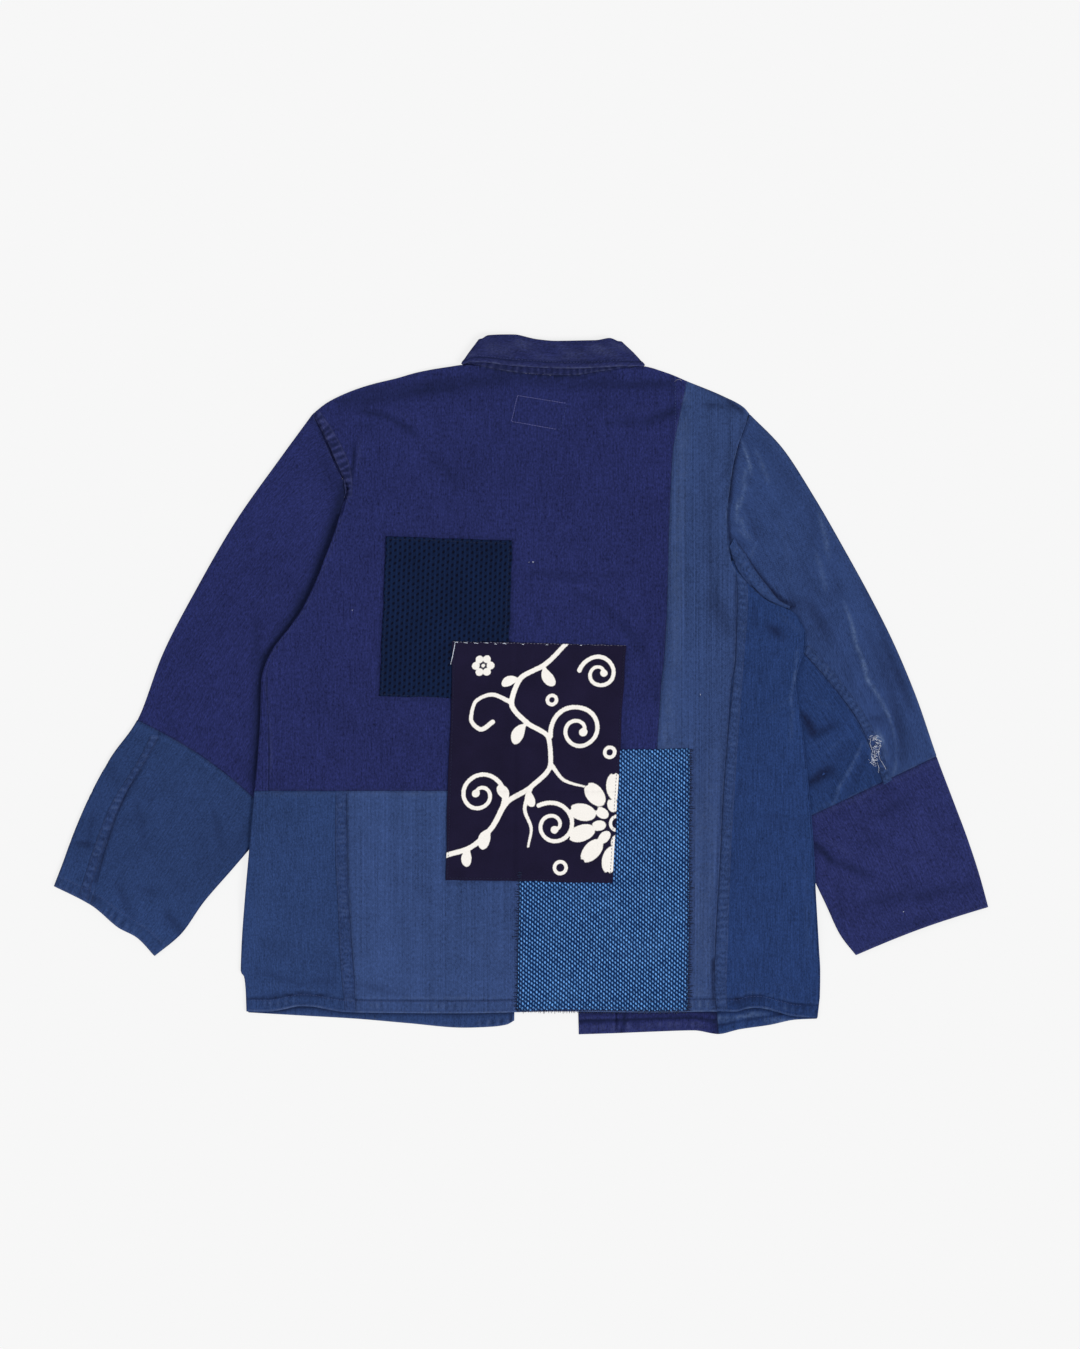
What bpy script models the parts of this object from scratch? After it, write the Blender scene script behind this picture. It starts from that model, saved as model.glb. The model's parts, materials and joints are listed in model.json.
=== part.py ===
"""Patched boro jacket, laid flat with its back up.

Units in the tables are millimetres.  X runs across the jacket, Y from hem to
collar, Z up from the surface that it lies on.  Every cloth piece is a wall of
WALL thickness on a mid surface.  The body is one grid of rows and columns,
shared by the front layer (below) and the back layer (above), so that stacked
layers keep their clearance.  Pieces are 0.3 mm apart at their seams.
"""
import bpy
import math
from mathutils import Vector

MM = 0.001
WALL = 1.2            # cotton drill and herringbone, with its felled seams
PATCH = 1.0           # patches
SEAM = 0.3            # clearance at a seam
REST = 0.35           # clearance of a patch on the cloth below it
LIFT = 3.6            # rise of the body over a sleeve tucked under it
COLLAR_LIFT = 1.6     # rise of the body over the collar's front fall
AIR = 3.0             # air between front and back in the middle
SIDE_AIR = 1.2        # air at the side folds and armholes
SHOULDER_AIR = 0.3    # at the shoulder seams
NECK_AIR = 1.1        # at the neck seam
HEM_AIR = 0.6         # at the hems
BUTTON_D, BUTTON_T = 17.0, 2.0
BUTTON_Y = (222.0, 117.0, 12.0, -93.0, -198.0)
PLACKET = 2.3         # rise of the right front over its buttons
ORIGIN = (-0.6, -0.4)  # middle of the footprint, subtracted at the end


def rows(columns, *data):
    """A table: one dict for each row, with the named columns."""
    return [dict(zip(columns, r)) for r in data]


# ---- the body's lengthwise lines: seams, folds and front edges at each height
BODY = rows(
    ("y", "left", "seam_inset", "low_seam", "neck_l", "front_l", "front_r",
     "neck_r", "strip", "side", "right"),
    (262, -214.1, 3, -140, -62, 20, 38, 128, 167, 238, 238),
    (214, -193.0, 3, -141, -65, 17, 40, 122, 164, 229.5, 229.5),
    (186, -200.0, 3, -144, -67, 15, 41, 120, 163, 226, 226),
    (162, -207.5, 3, -147, -69, 13, 42, 119, 162, 226.5, 226.5),
    (136, -217.5, 3, -150, -71, 11, 43, 117, 161.5, 230.6, 238),
    (100, -232, 3, -157, -73, 9, 45, 115, 160.5, 238, 263),
    (80, -243, 3, -162, -75, 8, 46, 114, 160, 237, 301),
    (43, -271, 3, -170, -77, 6, 47, 113, 158, 235.5, 313.5),
    (20, -284, 4, -175, -78, 5, 48, 112, 156, 234, 306),
    (5, -286.5, 5, -178, -79, 4, 48, 111, 154, 231, 302),
    (-34, -287.5, 9, -184, -80, 2, 50, 109, 151.5, 228, 307),
    (-75, -290, 12, -190, -81, 0, 51, 107, 149, 225.5, 312),
    (-117, -294, 15, -192.4, -82, -2, 53, 106, 147, 222, 316.5),
    (-150, -297, 15, -192, -82, -3, 54, 106, 146, 220.5, 319.5),
    (-185, -300, 15, -191.5, -82, -4, 56, 105, 145.5, 219, 322),
    (-230, -304, 15, -190, -82, -5, 57, 105, 144.5, 216.5, 324),
    (-290, -308.5, 15, -186.5, -82, -6.5, 60, 104, 143, 213, 327.5),
    (-345, -304, 15, -183.5, -82, -7.5, 62, 104, 141.5, 213, 328.5),
    (-368, -303, 15, -183, -82, -8, 63, 104, 141, 217, 326),
)
WAIST = -117
FOLD_TOP_L, FOLD_TOP_R = 186, 136      # the side folds start here

SHOULDERS = rows(("x", "y"),
    (-230, 298), (-213, 311), (-185, 324), (-163, 331), (-138, 337),
    (-113, 344), (-78, 350), (-62, 352), (131, 350.5), (160, 343),
    (182, 334), (223, 317), (245, 305), (251, 298))
NECK_BACK = rows(("x", "y"),
    (-62, 352), (-45, 350.5), (-15, 344.5), (20, 341), (38, 340.2), (54, 340),
    (68, 341.5), (83, 344), (131, 350.5))
NECK_FRONT = rows(("x", "y"),
    (-62, 352), (-45, 317), (-15, 291), (20, 278),
    (38, 278), (46, 279), (66, 283), (84, 291), (131, 350.5))
HEM_BACK = rows(("x", "y"),
    (-303, -360), (-279, -360), (-244, -354), (-216, -357), (-184, -361),
    (-71, -362), (43, -360), (141, -361), (214, -360), (236, -360),
    (249, -356.5), (266, -356.5), (280, -360), (299, -365), (326, -367))
HEM_FRONT = rows(("x", "y"),
    (-303, -361), (-235, -365), (-183, -368), (-125, -373), (-63, -378),
    (-20, -375), (-8, -370), (63, -385.3), (104, -384), (141, -382.5),
    (190, -381), (217, -385), (239, -380), (273, -375), (303, -369), (326, -368))

# ---- the sleeves: a section from the outer fold to the inner fold at each row.
# "seam" is how far across the felled seam lies, "cover" how far across the
# body's edge lies, "puff" the extra air outside it, and "bow" a curve up.
LEFT_SLEEVE = rows(
    ("out_x", "out_y", "in_x", "in_y", "seam", "cover", "puff", "bow"),
    (-230, 298, -164, 32, 0, .41, .4, 0),
    (-268, 246, -172, 10, 0, .48, 1.0, 0),
    (-314, 181, -190, -25, 0, .52, 1.4, 0),
    (-356, 109, -214, -64, 0, .50, 1.6, 0),
    (-395, 34, -240, -105, 0, .66, 1.7, 4),
    (-423, -39, -272, -147, .15, .84, 1.8, 9),
    (-452, -80, -290, -170, .18, .95, 1.9, 5),
    (-475, -122, -318, -203, .20, 1, 2.0, 3),
    (-494, -166, -350, -240, .24, 1, 2.0, 3),
    (-505, -196, -375, -275, .28, 1, 1.9, 4),
    (-515, -222, -404, -299, .33, 1, 1.6, 5),
)
LEFT_ELBOW = 5
RIGHT_SLEEVE = rows(
    ("out_x", "out_y", "in_x", "in_y", "seam", "cover", "puff", "bow"),
    (251, 298, 185, 32, .586, .586, .4, 0),
    (286, 262, 193, 16, .538, .53, .9, 0),
    (322, 207, 206, -14, .502, .48, 1.3, 0),
    (356, 148, 222, -48, .461, .37, 1.5, 0),
    (385, 95, 238, -76, .42, .50, 1.6, 0),
    (410, 45, 253, -102, .381, .63, 1.7, 0),
    (435, -15, 270, -130, .347, .72, 1.8, 0),
    (457, -79, 288, -159, .34, .80, 1.9, 0),
    (474, -124, 312, -196, .34, .92, 2.0, 0),
    (492, -172, 333, -238, .34, 1, 2.0, 0),
    (505, -212, 351, -276, .34, 1, 1.9, 0),
    (514, -245, 368, -298, .34, 1, 1.6, 3),
)
RIGHT_ELBOW = 7
# the armhole seams, from the shoulder to where the sleeve goes under the body
ARMHOLE_L = [(-230, 298), (-214.1, 262), (-193, 214), (-200, 186)]
ARMHOLE_R = [(251, 298), (238, 262), (229.5, 214), (226, 186),
             (226.5, 162), (230.6, 136)]

# ---- the collar: roll line, fall's edge and neck seam, from the left front
# edge round the back to the right front edge.  "side" is -1 below, +1 above.
COLLAR = rows(
    ("side", "roll_x", "roll_y", "edge_x", "edge_y", "neck_x", "neck_y"),
    (-1, 19, 303, -30, 245, 20, 278),
    (-1, 5, 327, -44, 282, -15, 291),
    (-1, -14, 353, -54, 320, -45, 317),
    (-1, -36, 380.5, -58, 356, -57, 357),
    (1, -36, 380.5, -58, 356, -57, 357),
    (1, -20, 383, -44, 354.5, -45, 350.5),
    (1, -8, 383, -15, 351, -15, 344.5),
    (1, 18, 378.5, 20, 348.5, 20, 341),
    (1, 38, 376.8, 38, 347.8, 38, 340.2),
    (1, 54, 377, 54, 347.6, 54, 340),
    (1, 68, 377.3, 70, 347.8, 68, 341.5),
    (1, 82, 377.6, 86, 348.5, 83, 344),
    (1, 103, 379.5, 127, 352.5, 126, 353.6),
    (-1, 103, 379.5, 127, 352.5, 126, 353.6),
    (-1, 84, 352, 119, 320, 108, 321.5),
    (-1, 62, 327, 108, 282, 84, 291),
    (-1, 39, 303, 92, 245, 38, 278),
)

# ---- patches: four corners each, top left, top right, bottom right, bottom left
KNIT = [(-148.6, 162.9), (-10.2, 158.0), (-15.5, -16), (-156.2, -13.2)]
PRINT = [(-76, 47.4), (115.3, 43), (99.6, -218), (-83.6, -215)]
BASKET = [(1, -72.5), (184.7, -70.5), (183, -359.6), (-4.5, -359.2)]


# ------------------------------------------------------------------ helpers
def smoothstep(t):
    t = max(0.0, min(1.0, t))
    return t * t * (3 - 2 * t)


def at(table, key, value, k):
    """Linear reading of column `value` at `key` = k, from a sorted table."""
    pts = sorted((r[key], r[value]) for r in table)
    if k <= pts[0][0]:
        return float(pts[0][1])
    for (a, va), (b, vb) in zip(pts, pts[1:]):
        if k <= b:
            return va + (vb - va) * (k - a) / (b - a)
    return float(pts[-1][1])


def seg_dist(p, a, b):
    ax, ay, bx, by = a[0], a[1], b[0], b[1]
    dx, dy = bx - ax, by - ay
    t = max(0, min(1, ((p[0] - ax) * dx + (p[1] - ay) * dy) / (dx * dx + dy * dy)))
    return math.hypot(p[0] - ax - t * dx, p[1] - ay - t * dy)


def poly_dist(p, poly):
    """Distance outside a polygon, 0 inside it."""
    inside = False
    n = len(poly)
    for i in range(n):
        (x1, y1), (x2, y2) = poly[i], poly[(i + 1) % n]
        if (y1 > p[1]) != (y2 > p[1]) and p[0] < x1 + (p[1] - y1) * (x2 - x1) / (y2 - y1):
            inside = not inside
    if inside:
        return 0.0
    return min(seg_dist(p, poly[i], poly[(i + 1) % n]) for i in range(n))


# ------------------------------------------------- heights of the two layers
TUCK_L = ([ARMHOLE_L[-1]] + [(r["in_x"], r["in_y"]) for r in LEFT_SLEEVE[:8]]
          + [(-420, -203), (-420, 186)])
TUCK_R = ([ARMHOLE_R[-1]] + [(r["in_x"], r["in_y"]) for r in RIGHT_SLEEVE[:10]]
          + [(420, -238), (420, 136)])
FALL_L = [(-64, 356), (-30, 245), (19, 303), (-36, 382)]
FALL_R = [(132, 352), (92, 245), (39, 303), (103, 381)]


def lift(x, y):
    """Rise of the body's front layer above the surface."""
    left = LIFT * (1 - smoothstep((poly_dist((x, y), TUCK_L) - 26) / 56))
    left *= 1 - smoothstep((y - FOLD_TOP_L) / 28)
    right = LIFT * (1 - smoothstep((poly_dist((x, y), TUCK_R) - 26) / 56))
    right *= 1 - smoothstep((y - FOLD_TOP_R) / 28)
    d = min(poly_dist((x, y), FALL_L), poly_dist((x, y), FALL_R))
    collar = COLLAR_LIFT * (1 - smoothstep((d - 24) / 36))
    return max(left, right, collar)


def placket(x, y):
    """The right front's rise over its buttons, as far in from its edge."""
    d = x - at(BODY, "y", "front_r", y)
    if d < 0 or d > 42:
        return 0.0
    ridge = min(1, d / 8, (42 - d) / 14)
    # none above the top button or below the lowest
    run = (1 - smoothstep((y - 240) / 22)) * smoothstep((y + 290) / 60)
    return PLACKET * max(0, ridge) * run


def air(x, y):
    """Air between the front layer and the back layer."""
    neck = min(smoothstep((x + 75) / 20), smoothstep((145 - x) / 20))
    top = at(NECK_BACK if -62 <= x <= 131 else SHOULDERS, "x", "y", x)
    e = SHOULDER_AIR + (NECK_AIR - SHOULDER_AIR) * neck
    g = e + (AIR - e) * smoothstep((top - y) / 45)
    d = min(x - at(BODY, "y", "left", min(y, 262)), at(BODY, "y", "right", min(y, 262)) - x)
    g = min(g, SIDE_AIR + (AIR - SIDE_AIR) * smoothstep((d - 4) / 60))
    hem = at(HEM_BACK, "x", "y", x)
    return min(g, HEM_AIR + (AIR - HEM_AIR) * smoothstep((y - hem) / 45))


def front_z(x, y):
    return lift(x, y) + WALL / 2


def back_z(x, y):
    return lift(x, y) + WALL + air(x, y) + WALL / 2


# ---------------------------------------------------- the body's shared grid
COLS = ("left", "seam", "c1", "c2", "c3", "low_seam", "c4", "c5", "neck_l",
        "c7", "c8", "front_l", "front_r", "p1", "p2", "p3", "neck_r", "c9",
        "strip", "c10", "c11", "side", "c12", "c13", "right")
COL = {name: i for i, name in enumerate(COLS)}
SPLITS = (("seam", "low_seam", 3), ("low_seam", "neck_l", 2), ("neck_l", "front_l", 2),
          ("neck_r", "strip", 1), ("strip", "side", 2), ("side", "right", 2))


def row_columns(r):
    """The x of every column on one row of the BODY table."""
    x = dict(r)
    x["seam"] = r["left"] + r["seam_inset"]
    x["p1"], x["p2"], x["p3"] = r["front_r"] + 8, r["front_r"] + 28, r["front_r"] + 42
    for a, b, n in SPLITS:
        ia = COL[a]
        for k in range(1, n + 1):
            x[COLS[ia + k]] = x[a] + (x[b] - x[a]) * k / (n + 1)
    return [x[c] for c in COLS]


TOP_X = {"left": -230, "seam": -227, "c1": -205, "c2": -185, "c3": -163,
         "low_seam": -138, "c4": -113, "c5": -78, "neck_l": -62,
         "c7": -45, "c8": -15, "front_l": 20, "front_r": 38, "p1": 46, "p2": 66,
         "p3": 84, "neck_r": 131, "c9": 160, "strip": 182, "c10": 203,
         "c11": 228, "side": 251, "c12": 251, "c13": 251, "right": 251}
TOP_BACK = dict(TOP_X, p1=54, p2=68, p3=83)


def body_grid(layer):
    """Plan points [row][column] of one layer: shoulders and neck to hem."""
    top_x = TOP_BACK if layer == "back" else TOP_X
    neck = NECK_BACK if layer == "back" else NECK_FRONT
    hem = HEM_BACK if layer == "back" else HEM_FRONT
    first = row_columns(BODY[0])
    top = []
    for c in COLS:
        x = top_x[c]
        top.append((x, at(neck if -62 <= x <= 131 else SHOULDERS, "x", "y", x)))
    grid = [top]
    grid.append([((a[0] + b) / 2, (a[1] + BODY[0]["y"]) / 2) for a, b in zip(top, first)])
    for r in BODY[:-1]:
        grid.append([(x, float(r["y"])) for x in row_columns(r)])
    last = row_columns(BODY[-1])
    grid.append([(x, at(hem, "x", "y", x)) for x in last])
    return grid


BACK, FRONT = body_grid("back"), body_grid("front")
ROW_Y = ["top", "mid"] + [r["y"] for r in BODY[:-1]] + ["hem"]
ROW = {y: i for i, y in enumerate(ROW_Y)}


def back_mid(i, j):
    x, y = BACK[i][j]
    return Vector((x, y, back_z(x, y)))


def front_mid(i, j):
    x, y = FRONT[i][j]
    rise = 0.0
    if COL["front_r"] < j < COL["p3"]:
        rise = placket(x, y) if i > 2 else 0.0
    return Vector((x, y, front_z(x, y) + rise))


def fold(i, j, outward_sign):
    """Mid points of a side fold on row i, from the back layer to the front."""
    r = min(max(i, 1), len(BACK) - 2)
    a, b = Vector(BACK[r - 1][j]), Vector(BACK[r + 1][j])
    t = (b - a).normalized()
    out = Vector((t.y, -t.x)) * (1 if t.y * outward_sign > 0 else -1)
    x, y = BACK[i][j]
    g = air(x, y)
    z0 = lift(x, y) + WALL + g / 2
    radius, reach = (g + WALL) / 2, g / 2 + WALL
    pts = []
    for k in range(5):
        a = math.pi * k / 4
        p = Vector((x, y)) + out * (radius * math.sin(a) - reach)
        pts.append(Vector((p.x, p.y, z0 + radius * math.cos(a))))
    return pts


# --------------------------------------------------------- cloth wall solids
MATERIALS = {
    "cotton_purple": ((0.0205, 0.0262, 0.1025), 0.9),
    "herringbone_blue": ((0.0340, 0.0610, 0.1700), 0.9),
    "twill_blue": ((0.0247, 0.0486, 0.1400), 0.9),
    "knit_navy": ((0.0071, 0.0135, 0.0416), 0.95),
    "print_navy": ((0.0084, 0.0066, 0.0239), 0.9),
    "basket_indigo": ((0.0379, 0.0974, 0.2406), 0.95),
    "button_navy": ((0.0120, 0.0150, 0.0400), 0.45),
}


def material(slot):
    m = bpy.data.materials.new(slot)
    m.use_nodes = True
    colour, rough = MATERIALS[slot]
    b = m.node_tree.nodes["Principled BSDF"]
    b.inputs["Base Color"].default_value = (*colour, 1)
    b.inputs["Roughness"].default_value = rough
    return m


def make(name, verts, faces, slot):
    """One object from points in millimetres, facing out."""
    volume = sum(verts[a].dot(verts[b].cross(verts[c])) for a, b, c in faces)
    if volume < 0:
        faces = [(a, c, b) for a, b, c in faces]
    mesh = bpy.data.meshes.new(name)
    shift = Vector((ORIGIN[0], ORIGIN[1], 0))
    verts = [Vector((v.x, v.y, max(v.z, 0.0))) - shift for v in verts]
    mesh.from_pydata([tuple(v * MM) for v in verts], [], faces)
    mesh.update()
    mesh.validate()
    ob = bpy.data.objects.new(name, mesh)
    bpy.context.collection.objects.link(ob)
    mesh.materials.append(material(slot))
    mesh.shade_smooth()
    mesh.set_sharp_from_angle(angle=math.radians(40))
    return ob


def wall(name, mid, slot, thick=WALL, closed=False, inset="all", mask=None, flip=None):
    """A closed wall of `thick` on the grid of points mid[i][j].

    closed joins the last column to the first.  inset pulls the free edges in
    by half a seam.  mask(i, j) leaves a cell out.  flip(i, j) turns a cell's
    diagonal, so that stacked layers are cut alike.
    """
    ni, nj = len(mid), len(mid[0])
    cj = nj if closed else nj - 1
    cells = [(i, j) for i in range(ni - 1) for j in range(cj)
             if mask is None or mask(i, j)]
    cellset = set(cells)
    P = {(i, j): mid[i][j].copy() for i in range(ni) for j in range(nj)}

    def corners(i, j):
        return [(i, j), (i, (j + 1) % nj), (i + 1, (j + 1) % nj), (i + 1, j)]

    def normals():
        N = {}
        for c in cells:
            q = corners(*c)
            n = (P[q[2]] - P[q[0]]).cross(P[q[3]] - P[q[1]])
            if n.length > 1e-12:
                n.normalize()
            for v in q:
                N[v] = N.get(v, Vector((0, 0, 0))) + n
        return {v: n.normalized() for v, n in N.items()}

    edges = {}
    for c in cells:
        q = corners(*c)
        for a, b in zip(q, q[1:] + q[:1]):
            edges[(a, b)] = c
    border = [(a, b) for (a, b) in edges if (b, a) not in edges]
    if inset:
        N = normals()
        move = {}
        for a, b in border:
            t = (P[b] - P[a]).normalized()
            inward = N[a].cross(t)
            for v in (a, b):
                move.setdefault(v, []).append(inward)
        for v, dirs in move.items():
            d = dirs[0].normalized()
            if len(dirs) > 1:
                e = dirs[1].normalized()
                s = 1 + d.dot(e)
                d = (d + e) / max(s, 0.4)
            P[v] += d * SEAM / 2
    N = normals()
    used = sorted(N)
    index = {v: k for k, v in enumerate(used)}
    n = len(used)
    verts = [P[v] + N[v] * thick / 2 for v in used] + [P[v] - N[v] * thick / 2 for v in used]
    faces = []
    for c in cells:
        q = [index[v] for v in corners(*c)]
        if flip and flip(*c):
            tri = [(q[0], q[1], q[3]), (q[1], q[2], q[3])]
        else:
            tri = [(q[0], q[1], q[2]), (q[0], q[2], q[3])]
        for a, b, d in tri:
            faces.append((a, b, d))
            faces.append((a + n, d + n, b + n))
    for a, b in border:
        a, b = index[a], index[b]
        faces.append((a, a + n, b + n))
        faces.append((a, b + n, b))
    return make(name, verts, faces, slot)


def layer_block(layer, i0, i1, j0, j1):
    f = back_mid if layer == "back" else front_mid
    return [[f(i, j) for j in range(j0, j1 + 1)] for i in range(i0, i1 + 1)]


def build_body():
    last = len(BACK) - 1
    waist = ROW[WAIST]
    wall("back_main", layer_block("back", 0, waist, COL["seam"], COL["strip"]), "cotton_purple")
    wall("back_lower", layer_block("back", waist, last, COL["low_seam"], COL["strip"]),
         "herringbone_blue")
    wall("back_right", layer_block("back", 0, last, COL["strip"], COL["side"]),
         "herringbone_blue")
    wall("front_right_centre", layer_block("front", 0, last, COL["front_r"], COL["side"]),
         "cotton_purple")
    # left front, upper: from the side seam on the back, round the fold, to the
    # front edge; above the fold it has only its front layer
    top_l = ROW[FOLD_TOP_L]
    grid = []
    for i in range(0, waist + 1):
        f = fold(i, 0, -1) if i >= top_l else [front_mid(i, 0)] * 5
        back = [back_mid(i, j) for j in range(COL["seam"], 0, -1)]
        if i >= top_l:
            # the fold's first point replaces the outermost point of each layer
            grid.append(back + f + [front_mid(i, j) for j in range(1, COL["front_l"] + 1)])
        else:
            grid.append(back + f[:4] + [front_mid(i, j) for j in range(0, COL["front_l"] + 1)])
    nb = COL["seam"]
    wall("front_left_upper", grid, "cotton_purple",
         mask=lambda i, j: i >= top_l or j >= nb + 4,
         flip=lambda i, j: j < nb)
    # left front, lower: from the felled seam on the back round to the front edge
    grid = []
    for i in range(waist, last + 1):
        grid.append([back_mid(i, j) for j in range(COL["low_seam"], 0, -1)] + fold(i, 0, -1)
                    + [front_mid(i, j) for j in range(1, COL["front_l"] + 1)])
    nb = COL["low_seam"]
    wall("front_left_lower", grid, "twill_blue", flip=lambda i, j: j < nb)
    # right side: from the felled seam on the back round the fold to the seam below
    grid = []
    for i in range(ROW[FOLD_TOP_R], last + 1):
        R = COL["right"]
        grid.append([back_mid(i, j) for j in range(COL["side"], R)] + fold(i, R, 1)
                    + [front_mid(i, j) for j in range(R - 1, COL["side"] - 1, -1)])
    nb = COL["right"] - COL["side"]
    wall("front_right_side", grid, "twill_blue", flip=lambda i, j: j >= nb + 4)
    for k, y in enumerate(BUTTON_Y):
        button("button_%d" % (k + 1), at(BODY, "y", "front_r", y) + 18, y)


def button(name, x, y):
    """A plain flat button with a softened rim."""
    n = 16
    profile = ((BUTTON_D / 2 - 0.5, 0.0), (BUTTON_D / 2, 0.5),
               (BUTTON_D / 2, BUTTON_T - 0.5), (BUTTON_D / 2 - 0.5, BUTTON_T))
    verts, faces = [], []
    for r, z in profile:
        for k in range(n):
            a = 2 * math.pi * k / n
            verts.append(Vector((x + r * math.cos(a), y + r * math.sin(a), z)))
    for p in range(len(profile) - 1):
        for k in range(n):
            a, b = p * n + k, p * n + (k + 1) % n
            faces += [(a, b, b + n), (a, b + n, a + n)]
    low, high = len(verts), len(verts) + 1
    verts += [Vector((x, y, 0)), Vector((x, y, BUTTON_T))]
    base = (len(profile) - 1) * n
    for k in range(n):
        faces.append((low, (k + 1) % n, k))
        faces.append((high, base + k, base + (k + 1) % n))
    make(name, verts, faces, "button_navy")


# --------------------------------------------------------------- the sleeves
def sleeve_ring(table, armhole, i, top_w, low_n=4):
    """One section of a sleeve: the upper layer from the outer fold to the
    inner fold, the inner fold, the lower layer back, and the outer fold."""
    r = table[i]
    o, q = Vector((r["out_x"], r["out_y"])), Vector((r["in_x"], r["in_y"]))
    axis = q - o
    up = Vector((-axis.y, axis.x)).normalized()
    if up.y < 0:
        up = -up
    n_arm = len(armhole)
    end = Vector(armhole[-1]) if armhole else None

    def plan(w, k):
        if i == 0:
            # along the armhole seam, then straight to the underarm
            if k < n_arm:
                return Vector(armhole[k])
            s = (k - n_arm + 1) / (len(top_w) - n_arm)
            return end + (q - end) * s
        return o + axis * w + up * (r["bow"] * math.sin(math.pi * w))

    def gap(w):
        c = max(r["cover"], 0.05)
        base = 0.8
        if i == 0:
            base = SIDE_AIR if 0 < w < c - 0.02 else 0.8
            if w <= 0:
                base = SHOULDER_AIR
            return base
        return base + r["puff"] * math.sin(math.pi * min(1, w / (c - 0.07 if c < 1 else c)))

    length = axis.length
    ws = top_w[i]
    upper, lower = [], []
    pts = [plan(w, k) for k, w in enumerate(ws)]
    d_out = (pts[0] - pts[1]).normalized()
    d_in = (pts[-1] - pts[-2]).normalized()
    g0, g1 = gap(0), gap(1)
    out, top, inner, low = [], [], [], []
    for k in range(5):
        a = math.pi * k / 4
        for arr, p, d, g, sgn in ((out, pts[0], d_out, g0, -1), (inner, pts[-1], d_in, g1, 1)):
            rad, reach = (g + WALL) / 2, g / 2 + WALL
            b = a if sgn == 1 else math.pi - a
            c = p + d * (rad * math.sin(b) - reach)
            arr.append(Vector((c.x, c.y, WALL + g / 2 + rad * math.cos(b))))
    for k in range(1, len(ws) - 1):
        top.append(Vector((pts[k].x, pts[k].y, WALL * 1.5 + gap(ws[k]))))
        low.append(Vector((pts[k].x, pts[k].y, WALL / 2)))
    # out: lower -> upper; top; inner: upper -> lower; low reversed
    return out, top, inner, low[::-1]


def widths(table, armhole, seams=True):
    """How far across each upper point lies, with a point on the felled seam."""
    o, q = Vector((table[0]["out_x"], table[0]["out_y"])), Vector((table[0]["in_x"], table[0]["in_y"]))
    ax = q - o
    first = [(Vector(p) - o).dot(ax) / ax.length_squared for p in armhole]
    n = len(armhole)
    rest = 2
    first += [first[-1] + (1 - first[-1]) * k / rest for k in range(1, rest + 1)]
    out = [first]
    for r in table[1:]:
        c = first[n - 1]
        ws = []
        for w in first:
            if seams == "right":
                s = r["seam"]
                ws.append(w / c * s if w <= c else s + (w - c) / (1 - c) * (1 - s))
            else:
                ws.append(w)
        out.append(ws)
    return out


def build_left_sleeve():
    W = widths(LEFT_SLEEVE, ARMHOLE_L)
    for i in range(LEFT_ELBOW, len(LEFT_SLEEVE)):
        s = LEFT_SLEEVE[i]["seam"]
        W[i] = [0, s, s + (1 - s) * .28, s + (1 - s) * .52, s + (1 - s) * .76, 1]
    ring = []
    for i in range(len(LEFT_SLEEVE)):
        ring.append(sleeve_ring(LEFT_SLEEVE, ARMHOLE_L if i == 0 else [], i, W))
    upper = [o + t + n + l for o, t, n, l in ring[:LEFT_ELBOW + 1]]
    wall("sleeve_left_upper", upper, "cotton_purple", closed=True)
    rest = ring[LEFT_ELBOW:]
    wall("sleeve_left_lower_top", [t + n + l[:1] for o, t, n, l in rest], "twill_blue")
    wall("sleeve_left_lower_under", [l + o + t[:1] for o, t, n, l in rest], "twill_blue")


def build_right_sleeve():
    W = widths(RIGHT_SLEEVE, ARMHOLE_R, "right")
    for i in range(RIGHT_ELBOW, len(RIGHT_SLEEVE)):
        W[i] = W[RIGHT_ELBOW]
    ring = []
    for i in range(len(RIGHT_SLEEVE)):
        ring.append(sleeve_ring(RIGHT_SLEEVE, ARMHOLE_R if i == 0 else [], i, W))
    k = len(ARMHOLE_R) - 2          # the felled seam's place among the upper points
    part = ring[:RIGHT_ELBOW + 1]
    wall("sleeve_right_upper", [l[1:] + o + t[:k + 1] for o, t, n, l in part],
         "herringbone_blue")
    wall("sleeve_right_under", [t[k:] + n + l[:2] for o, t, n, l in part], "twill_blue")
    wall("sleeve_right_cuff", [o + t + n + l for o, t, n, l in ring[RIGHT_ELBOW:]],
         "cotton_purple", closed=True)


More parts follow.
